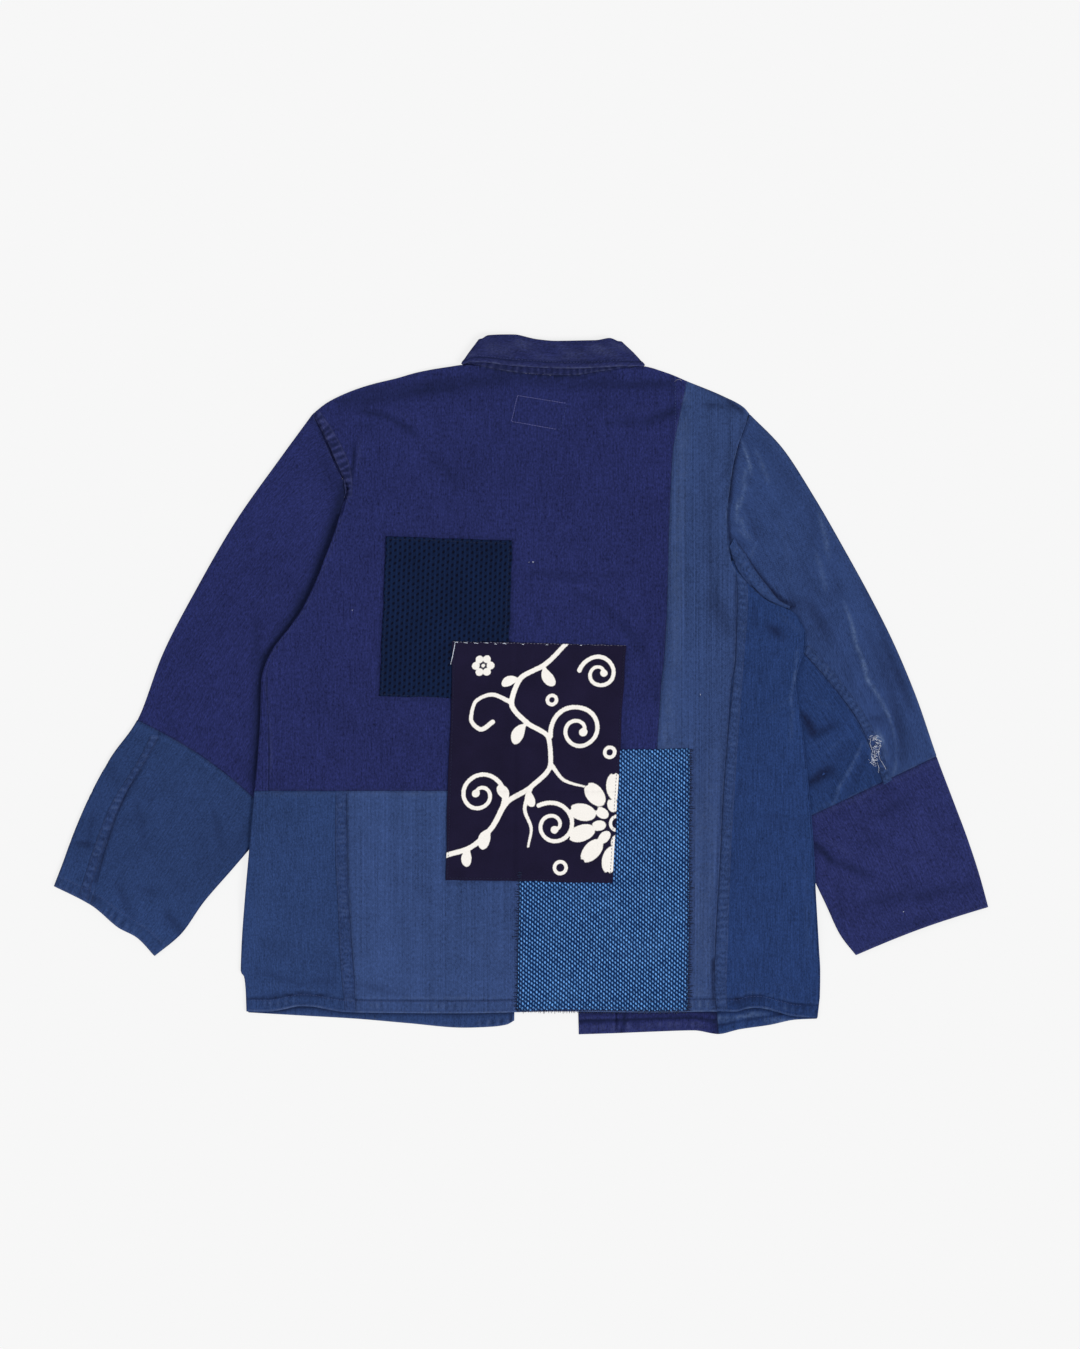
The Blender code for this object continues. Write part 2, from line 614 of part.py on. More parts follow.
# ---------------------------------------------------------------- the collar
def build_collar():
    low, high, half = 1.4, 5.3, 0.8
    mid_z, radius = (low + high) / 2, (high - low) / 2
    fall, stand = [], []

    def station(roll, edge, neck, z, normal):
        out = (roll - edge).normalized()
        R = Vector((roll.x, roll.y, z))
        E = Vector((edge.x, edge.y, z))
        K = Vector((neck.x, neck.y, z))
        o3 = Vector((out.x, out.y, 0))
        line = [E + normal * half, (E + R) / 2 + normal * half]
        for k in range(4):
            a = math.pi * k / 3
            line.append(R + normal * half * math.cos(a) + o3 * half * math.sin(a))
        # the fall turns over the roll line and meets the stand just inside it
        inside = R - o3 * 3 - normal * half
        line.append(inside)
        fall.append(line)
        stand.append([inside, (inside + K - normal * half) / 2, K - normal * half])

    for a, b in zip(COLLAR, COLLAR[1:] + [None]):
        V = [Vector((a[k + "_x"], a[k + "_y"])) for k in ("roll", "edge", "neck")]
        z = high if a["side"] > 0 else low
        station(*V, z, Vector((0, 0, 1 if a["side"] > 0 else -1)))
        if b and b["side"] != a["side"]:
            # the crease where the collar turns from below to above, or back
            line = (V[0] - V[1]).normalized()
            out = Vector((-line.y, line.x)) if V[0].x < 30 else Vector((line.y, -line.x))
            start = math.pi if a["side"] < 0 else 0
            end = math.pi - start
            for k in range(1, 4):
                t = start + (end - start) * k / 4
                shift = out * radius * math.sin(t)
                n = Vector((out.x * math.sin(t), out.y * math.sin(t), math.cos(t)))
                station(*[v + shift for v in V], mid_z + radius * math.cos(t), n)
    wall("collar_fall", fall, "cotton_purple")
    wall("collar_stand", stand, "cotton_purple")


# --------------------------------------------------------------- the patches
def split(faces, a, b):
    """Cut convex plan polygons along the line a-b, keeping both sides."""
    out = []
    nx, ny = b[1] - a[1], -(b[0] - a[0])
    length = math.hypot(nx, ny)
    nx, ny = nx / length, ny / length
    for f in faces:
        d = [(p[0] - a[0]) * nx + (p[1] - a[1]) * ny for p in f]
        if max(d) < 0.05 or min(d) > -0.05:
            out.append((f, sum(d) > 0))
            continue
        pos, neg = [], []
        for k in range(len(f)):
            p, q, dp, dq = f[k], f[(k + 1) % len(f)], d[k], d[(k + 1) % len(f)]
            near = abs(dp) < 1e-6
            if dp >= 0 or near:
                pos.append(p)
            if dp <= 0 or near:
                neg.append(p)
            if dp * dq < 0 and not near and abs(dq) >= 1e-6:
                t = dp / (dp - dq)
                m = tuple(u + (v - u) * t for u, v in zip(p, q))
                pos.append(m)
                neg.append(m)
        if len(pos) > 2:
            out.append((pos, True))
        if len(neg) > 2:
            out.append((neg, False))
    return out


def edges_of(quad, grow):
    """The quad's edges moved out by `grow`, with its inside on the left."""
    cx, cy = sum(p[0] for p in quad) / 4, sum(p[1] for p in quad) / 4
    res = []
    for k in range(4):
        a, b = quad[k], quad[(k + 1) % 4]
        nx, ny = b[1] - a[1], -(b[0] - a[0])
        length = math.hypot(nx, ny)
        nx, ny = nx / length, ny / length
        if (cx - a[0]) * nx + (cy - a[1]) * ny > 0:
            nx, ny = -nx, -ny
        A = (a[0] + nx * grow, a[1] + ny * grow)
        B = (b[0] + nx * grow, b[1] + ny * grow)
        res.append((A, B, (nx, ny)))
    return res


def quad_dist(p, quad):
    return max((p[0] - A[0]) * n[0] + (p[1] - A[1]) * n[1] for A, B, n in edges_of(quad, 0))


def cuts_quad(a, b, quad):
    side = [(b[0] - a[0]) * (q[1] - a[1]) - (b[1] - a[1]) * (q[0] - a[0]) for q in quad]
    return min(side) < 0 < max(side)


def build_patch(name, quad, slot, over=()):
    """A patch cut from the back layer's own facets and moved up."""
    tris = []
    for i in range(len(BACK) - 1):
        for j in range(COL["seam"], COL["side"]):
            a, b, c, d = (tuple(back_mid(*k)) for k in
                          ((i, j), (i, j + 1), (i + 1, j + 1), (i + 1, j)))
            tris += [[a, b, c], [a, c, d]]
    lo = [min(p[k] for p in quad) - 1 for k in (0, 1)]
    hi = [max(p[k] for p in quad) + 1 for k in (0, 1)]
    tris = [t for t in tris if all(min(p[k] for p in t) < hi[k] and max(p[k] for p in t) > lo[k]
                                   for k in (0, 1))]
    for A, B, n in edges_of(quad, 0):
        keep = []
        for f, side in split(tris, A, B):
            cx, cy = sum(p[0] for p in f) / len(f), sum(p[1] for p in f) / len(f)
            if (cx - A[0]) * n[0] + (cy - A[1]) * n[1] < 0:
                keep.append(f)
        tris = keep
    for other in over:
        for grow in (1.2, 11.0):
            for A, B, n in edges_of(other, grow):
                if cuts_quad(A, B, quad):
                    tris = [f for f, side in split(tris, A, B)]
    index, verts = {}, []

    def vid(p):
        key = (round(p[0], 2), round(p[1], 2))
        if key not in index:
            index[key] = len(verts)
            rise = WALL / 2 + REST + PATCH / 2
            for other in over:
                d = quad_dist(p, other)
                rise = max(rise, WALL / 2 + REST + PATCH / 2 + (PATCH + REST)
                           * max(0, min(1, (11.0 - d) / 9.8)))
            verts.append(Vector((p[0], p[1], p[2] + rise)))
        return index[key]

    cells = []
    for f in tris:
        ids = []
        for p in f:
            v = vid(p)
            if v not in ids:
                ids.append(v)
        for k in range(1, len(ids) - 1):
            cells.append((ids[0], ids[k], ids[k + 1]))
    faces, edges = [], {}
    n = len(verts)
    up = Vector((0, 0, PATCH / 2))
    for a, b, c in cells:
        faces += [(a, b, c), (a + n, c + n, b + n)]
        for e in ((a, b), (b, c), (c, a)):
            edges[e] = True
    for a, b in edges:
        if (b, a) not in edges:
            faces += [(a, a + n, b + n), (a, b + n, b)]
    make(name, [v + up for v in verts] + [v - up for v in verts], faces, slot)


def main():
    for ob in list(bpy.data.objects):
        bpy.data.objects.remove(ob)
    build_body()
    build_left_sleeve()
    build_right_sleeve()
    build_collar()
    build_patch("patch_knit", KNIT, "knit_navy")
    build_patch("patch_basket", BASKET, "basket_indigo")
    build_patch("patch_print", PRINT, "print_navy", over=(KNIT, BASKET))


main()
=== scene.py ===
import bpy
import json
import math
import numpy as np
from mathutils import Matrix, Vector
from mathutils.bvhtree import BVHTree

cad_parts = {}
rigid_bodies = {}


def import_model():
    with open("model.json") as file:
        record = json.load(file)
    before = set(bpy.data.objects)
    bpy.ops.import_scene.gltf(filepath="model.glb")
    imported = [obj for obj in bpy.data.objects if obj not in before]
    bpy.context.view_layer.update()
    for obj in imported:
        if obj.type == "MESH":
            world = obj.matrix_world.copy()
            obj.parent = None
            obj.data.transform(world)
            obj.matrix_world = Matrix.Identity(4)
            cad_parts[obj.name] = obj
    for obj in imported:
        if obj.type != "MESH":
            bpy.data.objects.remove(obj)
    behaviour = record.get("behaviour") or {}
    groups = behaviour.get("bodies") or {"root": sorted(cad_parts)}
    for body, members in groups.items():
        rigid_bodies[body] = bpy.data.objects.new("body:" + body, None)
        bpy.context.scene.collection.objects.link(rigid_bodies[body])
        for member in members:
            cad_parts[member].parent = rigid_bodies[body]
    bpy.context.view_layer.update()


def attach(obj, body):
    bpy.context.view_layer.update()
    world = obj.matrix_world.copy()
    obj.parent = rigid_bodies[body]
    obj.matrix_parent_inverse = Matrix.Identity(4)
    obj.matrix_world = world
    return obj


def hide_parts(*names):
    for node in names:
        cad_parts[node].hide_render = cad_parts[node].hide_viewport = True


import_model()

# Sizes in millimetres, in the jacket's own frame before ORIGIN is taken off.
MM = 0.001
WALL, PATCH, REST = 1.2, 1.0, 0.35
LIFT, COLLAR_LIFT = 3.6, 1.6
AIR, SIDE_AIR, SHOULDER_AIR, NECK_AIR, HEM_AIR = 3.0, 1.2, 0.3, 1.1, 0.6
PLACKET = 2.3
ORIGIN = (-0.6, -0.4)
BUTTON_Y = (222.0, 117.0, 12.0, -93.0, -198.0)
CLOTH = 1.1           # thickness of the thin shells
STEP = 3.0            # grid on the cloth that shows from above
STEP_LOW = 7.0        # grid on the hidden layer
CREASE_HIGH = 1.35     # all creases, against the heights in their table
# scale of the painted shade and highlight that the creases put in the colour
CREASE_TINT = 1.25


def rows(columns, *data):
    return {c: np.array([r[k] for r in data], float) for k, c in enumerate(columns)}


BODY = rows(
    ("y", "left", "inset", "low", "neck_l", "front_l", "front_r", "neck_r", "strip", "side", "right"),
    (262, -214.1, 3, -140, -62, 20, 38, 128, 167, 238, 238),
    (240, -204.5, 3, -140, -63, 19, 39, 125, 165.5, 233, 233),
    (214, -193.0, 3, -141, -65, 17, 40, 122, 164, 229.5, 229.5),
    (200, -196.5, 3, -142, -66, 16, 41, 121, 163.5, 227.5, 227.5),
    (186, -200.0, 3, -144, -67, 15, 41, 120, 163, 226, 226),
    (162, -207.5, 3, -147, -69, 13, 42, 119, 162, 226.5, 226.5),
    (136, -217.5, 3, -150, -71, 11, 43, 117, 161.5, 230.6, 235.5),
    (126, -221, 3, -152, -72, 10.5, 43, 117, 161.2, 235, 240.5),
    (115, -226, 3, -153, -72, 10, 44, 116, 161, 238.5, 247),
    (105, -230, 3, -155, -73, 9.5, 44, 116, 160.8, 238.3, 255.5),
    (97, -234, 3, -157, -73, 9, 45, 115, 160.5, 238, 264),
    (90, -237.5, 3, -159, -74, 8.7, 45, 115, 160.2, 237.7, 275),
    (85, -240, 3, -161, -74, 8.4, 45, 115, 160, 237.3, 288),
    (80, -243, 3, -162, -75, 8, 46, 114, 160, 237, 300),
    (70, -250, 3, -164, -76, 7.5, 46, 114, 159.5, 236.5, 307),
    (55, -261.5, 3, -167, -76, 7, 47, 114, 158.6, 236, 312.5),
    (43, -271, 3, -170, -77, 6, 47, 113, 158, 235.5, 312.5),
    (20, -283, 4, -175, -78, 5, 48, 112, 156, 234, 305.5),
    (5, -286.5, 5, -178, -79, 4, 48, 111, 154, 231, 302),
    (-34, -287.5, 9, -184, -80, 2, 50, 109, 151.5, 228, 307),
    (-75, -290, 12, -190, -81, 0, 51, 107, 149, 225.5, 312),
    (-117, -294, 15, -192.4, -82, -2, 53, 106, 147, 222, 316.5),
    (-150, -297, 15, -192, -82, -3, 54, 106, 146, 220.5, 319.5),
    (-185, -300, 15, -191.5, -82, -4, 56, 105, 145.5, 219, 322),
    (-230, -304, 15, -190, -82, -5, 57, 105, 144.5, 216.5, 324),
    (-290, -308.5, 15, -186.5, -82, -6.5, 60, 104, 143, 213, 327.5),
    (-316, -309.3, 15, -184.5, -82, -7, 61, 104, 142, 212.5, 329),
    (-322, -305.5, 15, -184, -82, -7.2, 61, 104, 142, 212.7, 329),
    (-345, -303.5, 15, -183.5, -82, -7.5, 62, 104, 141.5, 214, 328.5),
    (-368, -303, 15, -183, -82, -8, 63, 104, 141, 217, 326),
)
WAIST = -117.0
FOLD_TOP_L, FOLD_TOP_R = 186.0, 136.0

SHOULDERS = rows(("x", "y"),
    (-230, 298), (-213, 311), (-185, 324), (-163, 331), (-138, 337),
    (-113, 344), (-78, 350), (-62, 352), (131, 350.5), (160, 343),
    (182, 334), (223, 317), (245, 305), (251, 298))
NECK_BACK = rows(("x", "y"),
    (-62, 352), (-45, 350.5), (-15, 344.5), (20, 341), (38, 340.2), (54, 340),
    (68, 341.5), (83, 344), (131, 350.5))
NECK_FRONT = rows(("x", "y"),
    (-62, 352), (-45, 317), (-15, 291), (20, 278),
    (38, 278), (46, 279), (66, 283), (84, 291), (131, 350.5))
HEM_BACK = rows(("x", "y"),
    (-303, -360), (-279, -360), (-262, -357.5), (-244, -354), (-230, -354.5), (-216, -357),
    (-200, -360), (-184, -361), (-71, -362), (43, -360), (141, -361), (214, -360),
    (236, -360), (249, -356.5), (258, -355.6), (266, -356.5), (280, -360), (299, -365),
    (326, -367))
HEM_FRONT = rows(("x", "y"),
    (-303, -361), (-235, -365), (-183, -368), (-125, -373), (-63, -378),
    (-34, -377), (-16, -374.5), (-8, -370), (63, -385.3), (104, -384), (141, -382.5),
    (190, -381), (217, -385), (239, -380), (273, -375), (303, -369), (326, -368))

LEFT_SLEEVE = rows(
    ("out_x", "out_y", "in_x", "in_y", "seam", "cover", "puff", "bow"),
    (-230, 298, -164, 32, 0, .41, .4, 0),
    (-268, 246, -172, 10, 0, .48, 1.0, 0),
    (-314, 181, -190, -25, 0, .52, 1.4, 0),
    (-356, 109, -214, -64, 0, .50, 1.6, 0),
    (-395, 34, -240, -105, 0, .66, 1.7, 4),
    (-423, -39, -272, -147, .15, .84, 1.8, 9),
    (-452, -80, -290, -170, .18, .95, 1.9, 5),
    (-475, -122, -318, -203, .20, 1, 2.0, 3),
    (-494, -166, -350, -240, .24, 1, 2.0, 3),
    (-505, -196, -375, -275, .28, 1, 1.9, 4),
    (-515, -222, -404, -299, .33, 1, 1.6, 5),
)
RIGHT_SLEEVE = rows(
    ("out_x", "out_y", "in_x", "in_y", "seam", "cover", "puff", "bow"),
    (251, 298, 185, 32, .586, .586, .4, 0),
    (286, 262, 193, 16, .538, .53, .9, 0),
    (322, 207, 206, -14, .502, .48, 1.3, 0),
    (356, 148, 222, -48, .461, .37, 1.5, 0),
    (385, 95, 238, -76, .42, .50, 1.6, 0),
    (410, 45, 253, -102, .381, .63, 1.7, 0),
    (435, -15, 270, -130, .347, .72, 1.8, 0),
    (457, -79, 288, -159, .34, .80, 1.9, 0),
    (474, -124, 312, -196, .34, .92, 2.0, 0),
    (492, -172, 333, -238, .34, 1, 2.0, 0),
    (505, -212, 351, -276, .34, 1, 1.9, 0),
    (514, -245, 368, -298, .34, 1, 1.6, 3),
)
ARMHOLE_L = [(-230, 298), (-214.1, 262), (-193, 214), (-200, 186)]
ARMHOLE_R = [(251, 298), (238, 262), (229.5, 214), (226, 186), (226.5, 162), (230.6, 136)]

COLLAR = rows(
    ("side", "roll_x", "roll_y", "edge_x", "edge_y", "neck_x", "neck_y"),
    (-1, 19, 303, -30, 245, 20, 278),
    (-1, 5, 327, -44, 282, -15, 291),
    (-1, -14, 353, -54, 320, -45, 317),
    (-1, -43.2, 379.8, -64.5, 351.8, -62, 354.0),
    (1, -43.2, 379.8, -64.5, 351.8, -62, 354.0),
    (1, -37, 383.2, -57, 354.4, -56, 352.9),
    (1, -20, 384.0, -42, 354.3, -45, 350.5),
    (1, -8, 383.8, -15, 351, -15, 344.5),
    (1, 18, 378.5, 20, 348.5, 20, 341),
    (1, 38, 376.8, 38, 347.8, 38, 340.2),
    (1, 54, 377, 54, 347.6, 54, 340),
    (1, 68, 377.3, 70, 347.8, 68, 341.5),
    (1, 82, 377.6, 86, 348.5, 83, 344),
    (1, 97, 380.0, 112, 350.0, 106, 346.8),
    (1, 106.5, 376.8, 134.2, 350.0, 131.5, 351.8),
    (-1, 106.5, 376.8, 134.2, 350.0, 131.5, 351.8),
    (-1, 84, 352, 119, 320, 108, 321.5),
    (-1, 62, 327, 108, 282, 84, 291),
    (-1, 39, 303, 92, 245, 38, 278),
)
KNIT = [(-148.6, 162.9), (-10.2, 158.0), (-15.5, -16), (-156.2, -13.2)]
PRINT = [(-76, 47.4), (115.3, 43), (99.6, -218), (-83.6, -215)]
BASKET = [(1, -72.5), (184.7, -70.5), (183, -359.6), (-4.5, -359.2)]

# Creases on the layout grid of 1.1 mm units (u to the right, v down from the
# collar): each is a soft ridge (height above 0) or trough (below 0).  The last
# number is its tint, painted light and shade: above 0 the crest is painted
# lighter, as wear and as highlight; below 0 the fold is painted dark as shade.
CREASES = [
    # on, u0, v0, u1, v1, half width mm, height mm, tint
    # hollow below the shoulder seams
    ("back", 338, 406, 402, 394, 8.0, -1.3, -0.42), ("back", 396, 395, 454, 387, 8.0, -1.6, -0.55),
    ("back", 446, 388, 508, 380, 7.0, -1.4, -0.48), ("back", 500, 380, 572, 386, 7.0, -0.7, -0.15),
    ("back", 566, 387, 628, 384, 6.0, -1.0, -0.38), ("back", 618, 385, 684, 386, 6.0, -1.3, -0.48),
    ("back", 350, 396, 440, 378, 7.0, 0.6, 0.0),
    # drags from the left armhole
    ("back", 356, 411, 389, 417, 4.0, -1.3, -0.55), ("back", 386, 416, 418, 436, 4.0, -1.3, -0.52),
    ("back", 354, 424, 378, 426, 3.5, -0.8, -0.28), ("back", 424, 449, 458, 487, 7.0, -0.9, -0.26),
    ("back", 376, 406, 420, 424, 5.0, 0.7, 0.08), ("back", 408, 432, 444, 462, 7.0, 0.5, 0.05),
    ("back", 360, 437, 354.5, 472, 4.0, 1.6, 0.30), ("back", 354.5, 444, 349, 486, 2.6, -1.0, -0.60),
    ("back", 353.5, 468, 344, 500, 4.0, 1.0, 0.2),
    # right of the neck
    ("back", 602, 423, 654, 423, 4.5, -1.0, -0.36), ("back", 646, 422, 684, 408, 7.0, -1.3, -0.48),
    ("back", 600, 414, 660, 410, 6.0, 0.6, 0.06), ("back", 568, 410, 612, 402, 5.0, -0.6, -0.12),
    ("back", 452, 458, 548, 500, 11.0, -0.45, -0.06), ("back", 500, 428, 560, 470, 11.0, 0.4, 0.0),
    # across the middle
    ("back", 524, 573, 582, 578, 4.5, -0.8, -0.28), ("back", 576, 578, 626, 574, 5.0, -0.5, -0.10),
    ("back", 530, 584, 600, 590, 6.0, 0.6, 0.06), ("back", 568, 590, 612, 612, 5.5, -0.9, -0.26),
    ("back", 606, 610, 641, 650, 6.0, -1.1, -0.30), ("back", 638, 645, 655, 702, 7.0, -0.9, -0.18),
    ("back", 596, 596, 640, 628, 6.0, 0.7, 0.05), ("back", 666, 612, 656, 704, 7.0, -0.6, -0.15),
    ("back", 500, 520, 566, 545, 10.0, 0.4, 0.0), ("back", 372, 720, 440, 708, 9.0, 0.4, 0.0),
    ("back", 300, 620, 350, 560, 12.0, 0.5, 0.0), ("back", 290, 700, 360, 730, 12.0, -0.4, -0.05),
    ("back", 300, 660, 370, 640, 12.0, -0.4, 0.0), ("back", 380, 480, 470, 520, 14.0, 0.4, 0.0),
    # herringbone strip down the right
    ("back", 700, 404, 744, 409, 5.0, -0.9, -0.35), ("back", 703, 420, 742, 424, 6.0, 0.6, 0.05),
    ("back", 702, 468, 707, 560, 5.0, -0.8, -0.22), ("back", 706, 556, 716, 606, 5.0, -0.9, -0.22),
    ("back", 708, 590, 728, 634, 10.0, -1.0, -0.30), ("back", 690, 470, 694, 600, 7.0, 0.5, 0.05),
    ("back", 718, 480, 722, 560, 4.5, 0.6, 0.06), ("back", 728, 468, 716, 482, 4.0, -0.7, -0.25),
    ("back", 729, 488, 717, 504, 4.0, -0.5, -0.18), ("back", 690, 640, 680, 740, 8.0, 0.4, 0.0),
    ("back", 706, 660, 696, 800, 7.0, -0.4, -0.05),
    # right side panel
    ("back", 764, 624, 786, 640, 5.5, -1.0, -0.45), ("back", 752, 600, 755, 628, 3.5, -0.7, -0.35),
    ("back", 778, 614, 802, 634, 5.0, 0.7, 0.1), ("back", 797, 648, 790, 700, 3.0, 1.0, 0.45),
    ("back", 791, 695, 790, 740, 3.0, 0.8, 0.35), ("back", 768, 800, 788, 834, 8.0, -0.5, -0.10),
    ("back", 760, 716, 792, 700, 6.0, 0.5, 0.08), ("back", 752, 690, 766, 760, 8.0, -0.5, -0.06),
    ("back", 784, 840, 790, 930, 9.0, 0.5, 0.0), ("back", 760, 900, 764, 990, 9.0, -0.4, -0.04),
    ("back", 803, 860, 806, 960, 5.0, 0.6, 0.08),
    # left edge: the old side seam, pressed to one side
    ("back", 264.4, 671, 268.3, 716, 2.0, 0.8, 0.45), ("back", 268.3, 712, 269, 790, 1.8, 0.8, 0.45),
    ("back", 262.0, 676, 265.5, 788, 1.8, -0.5, -0.30), ("back", 273, 716, 280, 719, 2.5, -0.5, -0.2),
    ("back", 272, 738, 282, 741, 2.5, -0.5, -0.2), ("back", 272, 758, 280, 760, 2.5, -0.4, -0.2),
    ("back", 340, 500, 312, 590, 6.0, 0.6, 0.08),
    # lower left
    ("back", 258, 972, 302, 986, 4.5, -0.8, -0.22), ("back", 298, 985, 338, 981, 4.5, -0.9, -0.25),
    ("back", 354, 984, 400, 996, 4.5, -0.9, -0.25), ("back", 262, 984, 320, 992, 4.5, 0.7, 0.08),
    ("back", 252, 998, 330, 996, 3.0, -0.8, -0.45), ("back", 270, 1009, 336, 1008, 4.0, 1.5, 0.30),
    ("back", 256, 940, 290, 956, 7.0, -0.5, -0.10), ("back", 262, 820, 258, 930, 6.0, 0.5, 0.03),
    ("back", 300, 850, 306, 960, 12.0, 0.4, 0.0), ("back", 392, 880, 440, 905, 12.0, -0.5, -0.08),
    ("back", 470, 930, 500, 960, 12.0, 0.4, 0.03), ("back", 322, 940, 330, 984, 6.0, -0.5, -0.10),
    # lower right
    ("back", 736, 1000, 766, 999, 3.0, -0.8, -0.40), ("back", 742, 1008, 786, 1010, 4.0, 1.4, 0.34),
    ("back", 726, 1004, 752, 1003, 4.0, -0.8, -0.30), ("back", 786, 1004, 812, 1008, 4.0, -0.6, -0.22),
    ("back", 730, 984, 812, 990, 5.0, 0.5, 0.04),
    # left sleeve
    ("left", 316, 448, 332, 492, 7.0, -0.7, -0.22), ("left", 300, 470, 310, 530, 9.0, 0.5, 0.03),
    ("left", 256, 612, 251, 668, 5.5, -0.9, -0.28), ("left", 272, 578, 250, 632, 7.0, 0.5, 0.05),
    ("left", 240, 640, 236, 720, 9.0, 0.5, 0.0), ("left", 164, 706, 172, 732, 6.0, -0.6, -0.18),
    ("left", 270, 460, 200, 600, 12.0, 0.5, 0.0), ("left", 230, 560, 180, 660, 12.0, -0.5, -0.04),
    ("left", 226, 740, 250, 780, 6.0, -0.5, -0.10), ("left", 180, 660, 200, 740, 10.0, 0.5, 0.0),
    ("left", 200, 796, 236, 832, 8.0, 0.6, 0.10), ("left", 256, 812, 232, 852, 7.0, -0.7, -0.14),
    ("left", 114, 878, 132, 924, 5.5, -0.9, -0.28), ("left", 160, 876, 176, 912, 6.0, 0.6, 0.12),
    ("left", 163, 912, 184, 936, 5.5, -0.9, -0.35), ("left", 122, 862, 142, 912, 6.0, 0.6, 0.08),
    ("left", 71, 843, 96, 846, 2.6, -0.8, -0.36), ("left", 71, 849, 92, 851, 4.0, 0.9, 0.12),
    ("left", 150, 800, 176, 870, 11.0, 0.5, 0.04), ("left", 134, 800, 146, 852, 5.0, -0.6, -0.22),
    ("left", 180, 770, 204, 806, 6.0, 0.6, 0.10), ("left", 210, 800, 222, 856, 5.0, -0.7, -0.20),
    ("left", 92, 812, 84, 852, 5.0, -0.6, -0.20), ("left", 130, 886, 160, 896, 4.5, -0.6, -0.18),
    ("left", 104, 760, 116, 782, 5.0, -0.5, -0.16), ("left", 244, 770, 262, 800, 4.0, -0.7, -0.25), ("left", 190, 830, 214, 876, 9.0, -0.5, -0.08),
    # right sleeve
    ("right", 741.0, 438, 751.5, 474, 2.8, 0.35, 0.72), ("right", 745.5, 470, 738.5, 508, 2.6, 0.30, 0.66),
    ("right", 737.5, 496, 735.5, 524, 2.4, 0.25, 0.42), ("right", 754, 448, 769, 484, 4.5, 0.4, 0.22),
    ("right", 752, 500, 760, 560, 7.0, -0.6, -0.14),
    ("right", 818, 512, 829, 562, 5.0, 0.9, 0.32), ("right", 811, 540, 826, 592, 5.0, 0.8, 0.26),
    ("right", 806, 500, 814, 556, 6.0, -0.7, -0.16), ("right", 794, 560, 818, 604, 7.0, -0.7, -0.18),
    ("right", 804, 598, 832, 642, 9.0, -1.2, -0.40), ("right", 842, 584, 824, 606, 8.0, -0.4, -0.16), ("right", 828, 560, 842, 600, 6.0, -0.6, -0.14),
    ("right", 843, 600, 857, 648, 3.8, 0.9, 0.55), ("right", 855, 642, 869, 684, 3.8, 1.0, 0.65),
    ("right", 867, 679, 890, 718, 3.8, 1.0, 0.60), ("right", 888, 712, 897, 750, 4.0, 1.2, 0.50),
    ("right", 897, 745, 893, 780, 4.0, 0.8, 0.30), ("right", 866, 630, 893, 694, 7.5, -1.0, -0.30),
    ("right", 890, 690, 904, 764, 7.5, -1.2, -0.42), ("right", 868, 716, 884, 722, 6.0, -1.0, -0.35),
    ("right", 876, 726, 888, 760, 5.0, 0.7, 0.18), ("right", 836, 640, 850, 690, 6.0, -0.7, -0.14),
    ("right", 802, 711, 814, 737, 5.5, -1.9, -0.88), ("right", 812, 736, 838, 724, 5.5, -1.2, -0.38),
    ("right", 806, 750, 834, 733, 4.5, 1.2, 0.22), ("right", 807, 786, 834, 768, 6.5, -1.9, -0.85),
    ("right", 806, 768, 822, 756, 4.5, 0.9, 0.12), ("right", 832, 768, 850, 742, 6.0, -0.7, -0.2),
    ("right", 863, 741, 837, 790, 3.5, 1.6, 0.60), ("right", 840, 786, 832, 808, 3.5, 1.1, 0.40),
    ("right", 866, 752, 848, 792, 5.0, -0.8, -0.20), ("right", 808, 800, 840, 796, 6.0, 0.8, 0.10),
    ("right", 812, 842, 832, 862, 4.5, -1.9, -0.85), ("right", 828, 860, 872, 878, 4.5, -1.3, -0.50),
    ("right", 770, 455, 800, 500, 9.0, -0.6, -0.16), ("right", 880, 640, 908, 700, 6.0, -0.8, -0.22),
    ("right", 786, 590, 802, 612, 6.0, -0.8, -0.30), ("right", 812, 700, 840, 712, 8.0, 0.5, 0.16),
    ("right", 820, 756, 852, 736, 6.0, 0.5, 0.20), ("right", 812, 812, 838, 800, 5.0, 0.6, 0.22),
    ("right", 814, 834, 852, 856, 5.0, 0.9, 0.12), ("right", 830, 872, 868, 888, 6.0, 0.6, 0.06),
    ("right", 878, 816, 912, 798, 6.0, -0.9, -0.30), ("right", 852, 906, 930, 894, 7.0, -1.0, -0.34),
    ("right", 918, 898, 980, 886, 6.0, -0.9, -0.28), ("right", 836, 880, 842, 918, 5.0, -0.7, -0.20),
    ("right", 824, 806, 862, 796, 4.0, 0.6, 0.12), ("right", 850, 846, 890, 838, 6.0, -0.6, -0.16),
    ("right", 900, 866, 950, 850, 7.0, 0.6, 0.08), ("right", 884, 932, 940, 916, 4.0, -0.6, -0.20),
    ("right", 872, 770, 894, 792, 4.0, -0.8, -0.30), ("right", 858, 806, 874, 784, 4.5, 0.7, 0.12),
    ("right", 862, 924, 930, 906, 7.0, 0.6, 0.05), ("right", 928, 796, 942, 866, 7.0, -0.5, -0.08),
    ("right", 912, 790, 918, 850, 8.0, 0.5, 0.04), ("right", 760, 430, 806, 500, 9.0, 0.6, 0.05),
    ("right", 780, 520, 790, 580, 8.0, 0.5, 0.04),
    # hidden fronts
    ("low", 340, 457, 385, 520, 12.0, 0.3, 0.0), ("low", 412, 575, 430, 720, 16.0, 0.3, 0.0),
    ("low", 649, 503, 676, 630, 14.0, 0.3, 0.0),
]
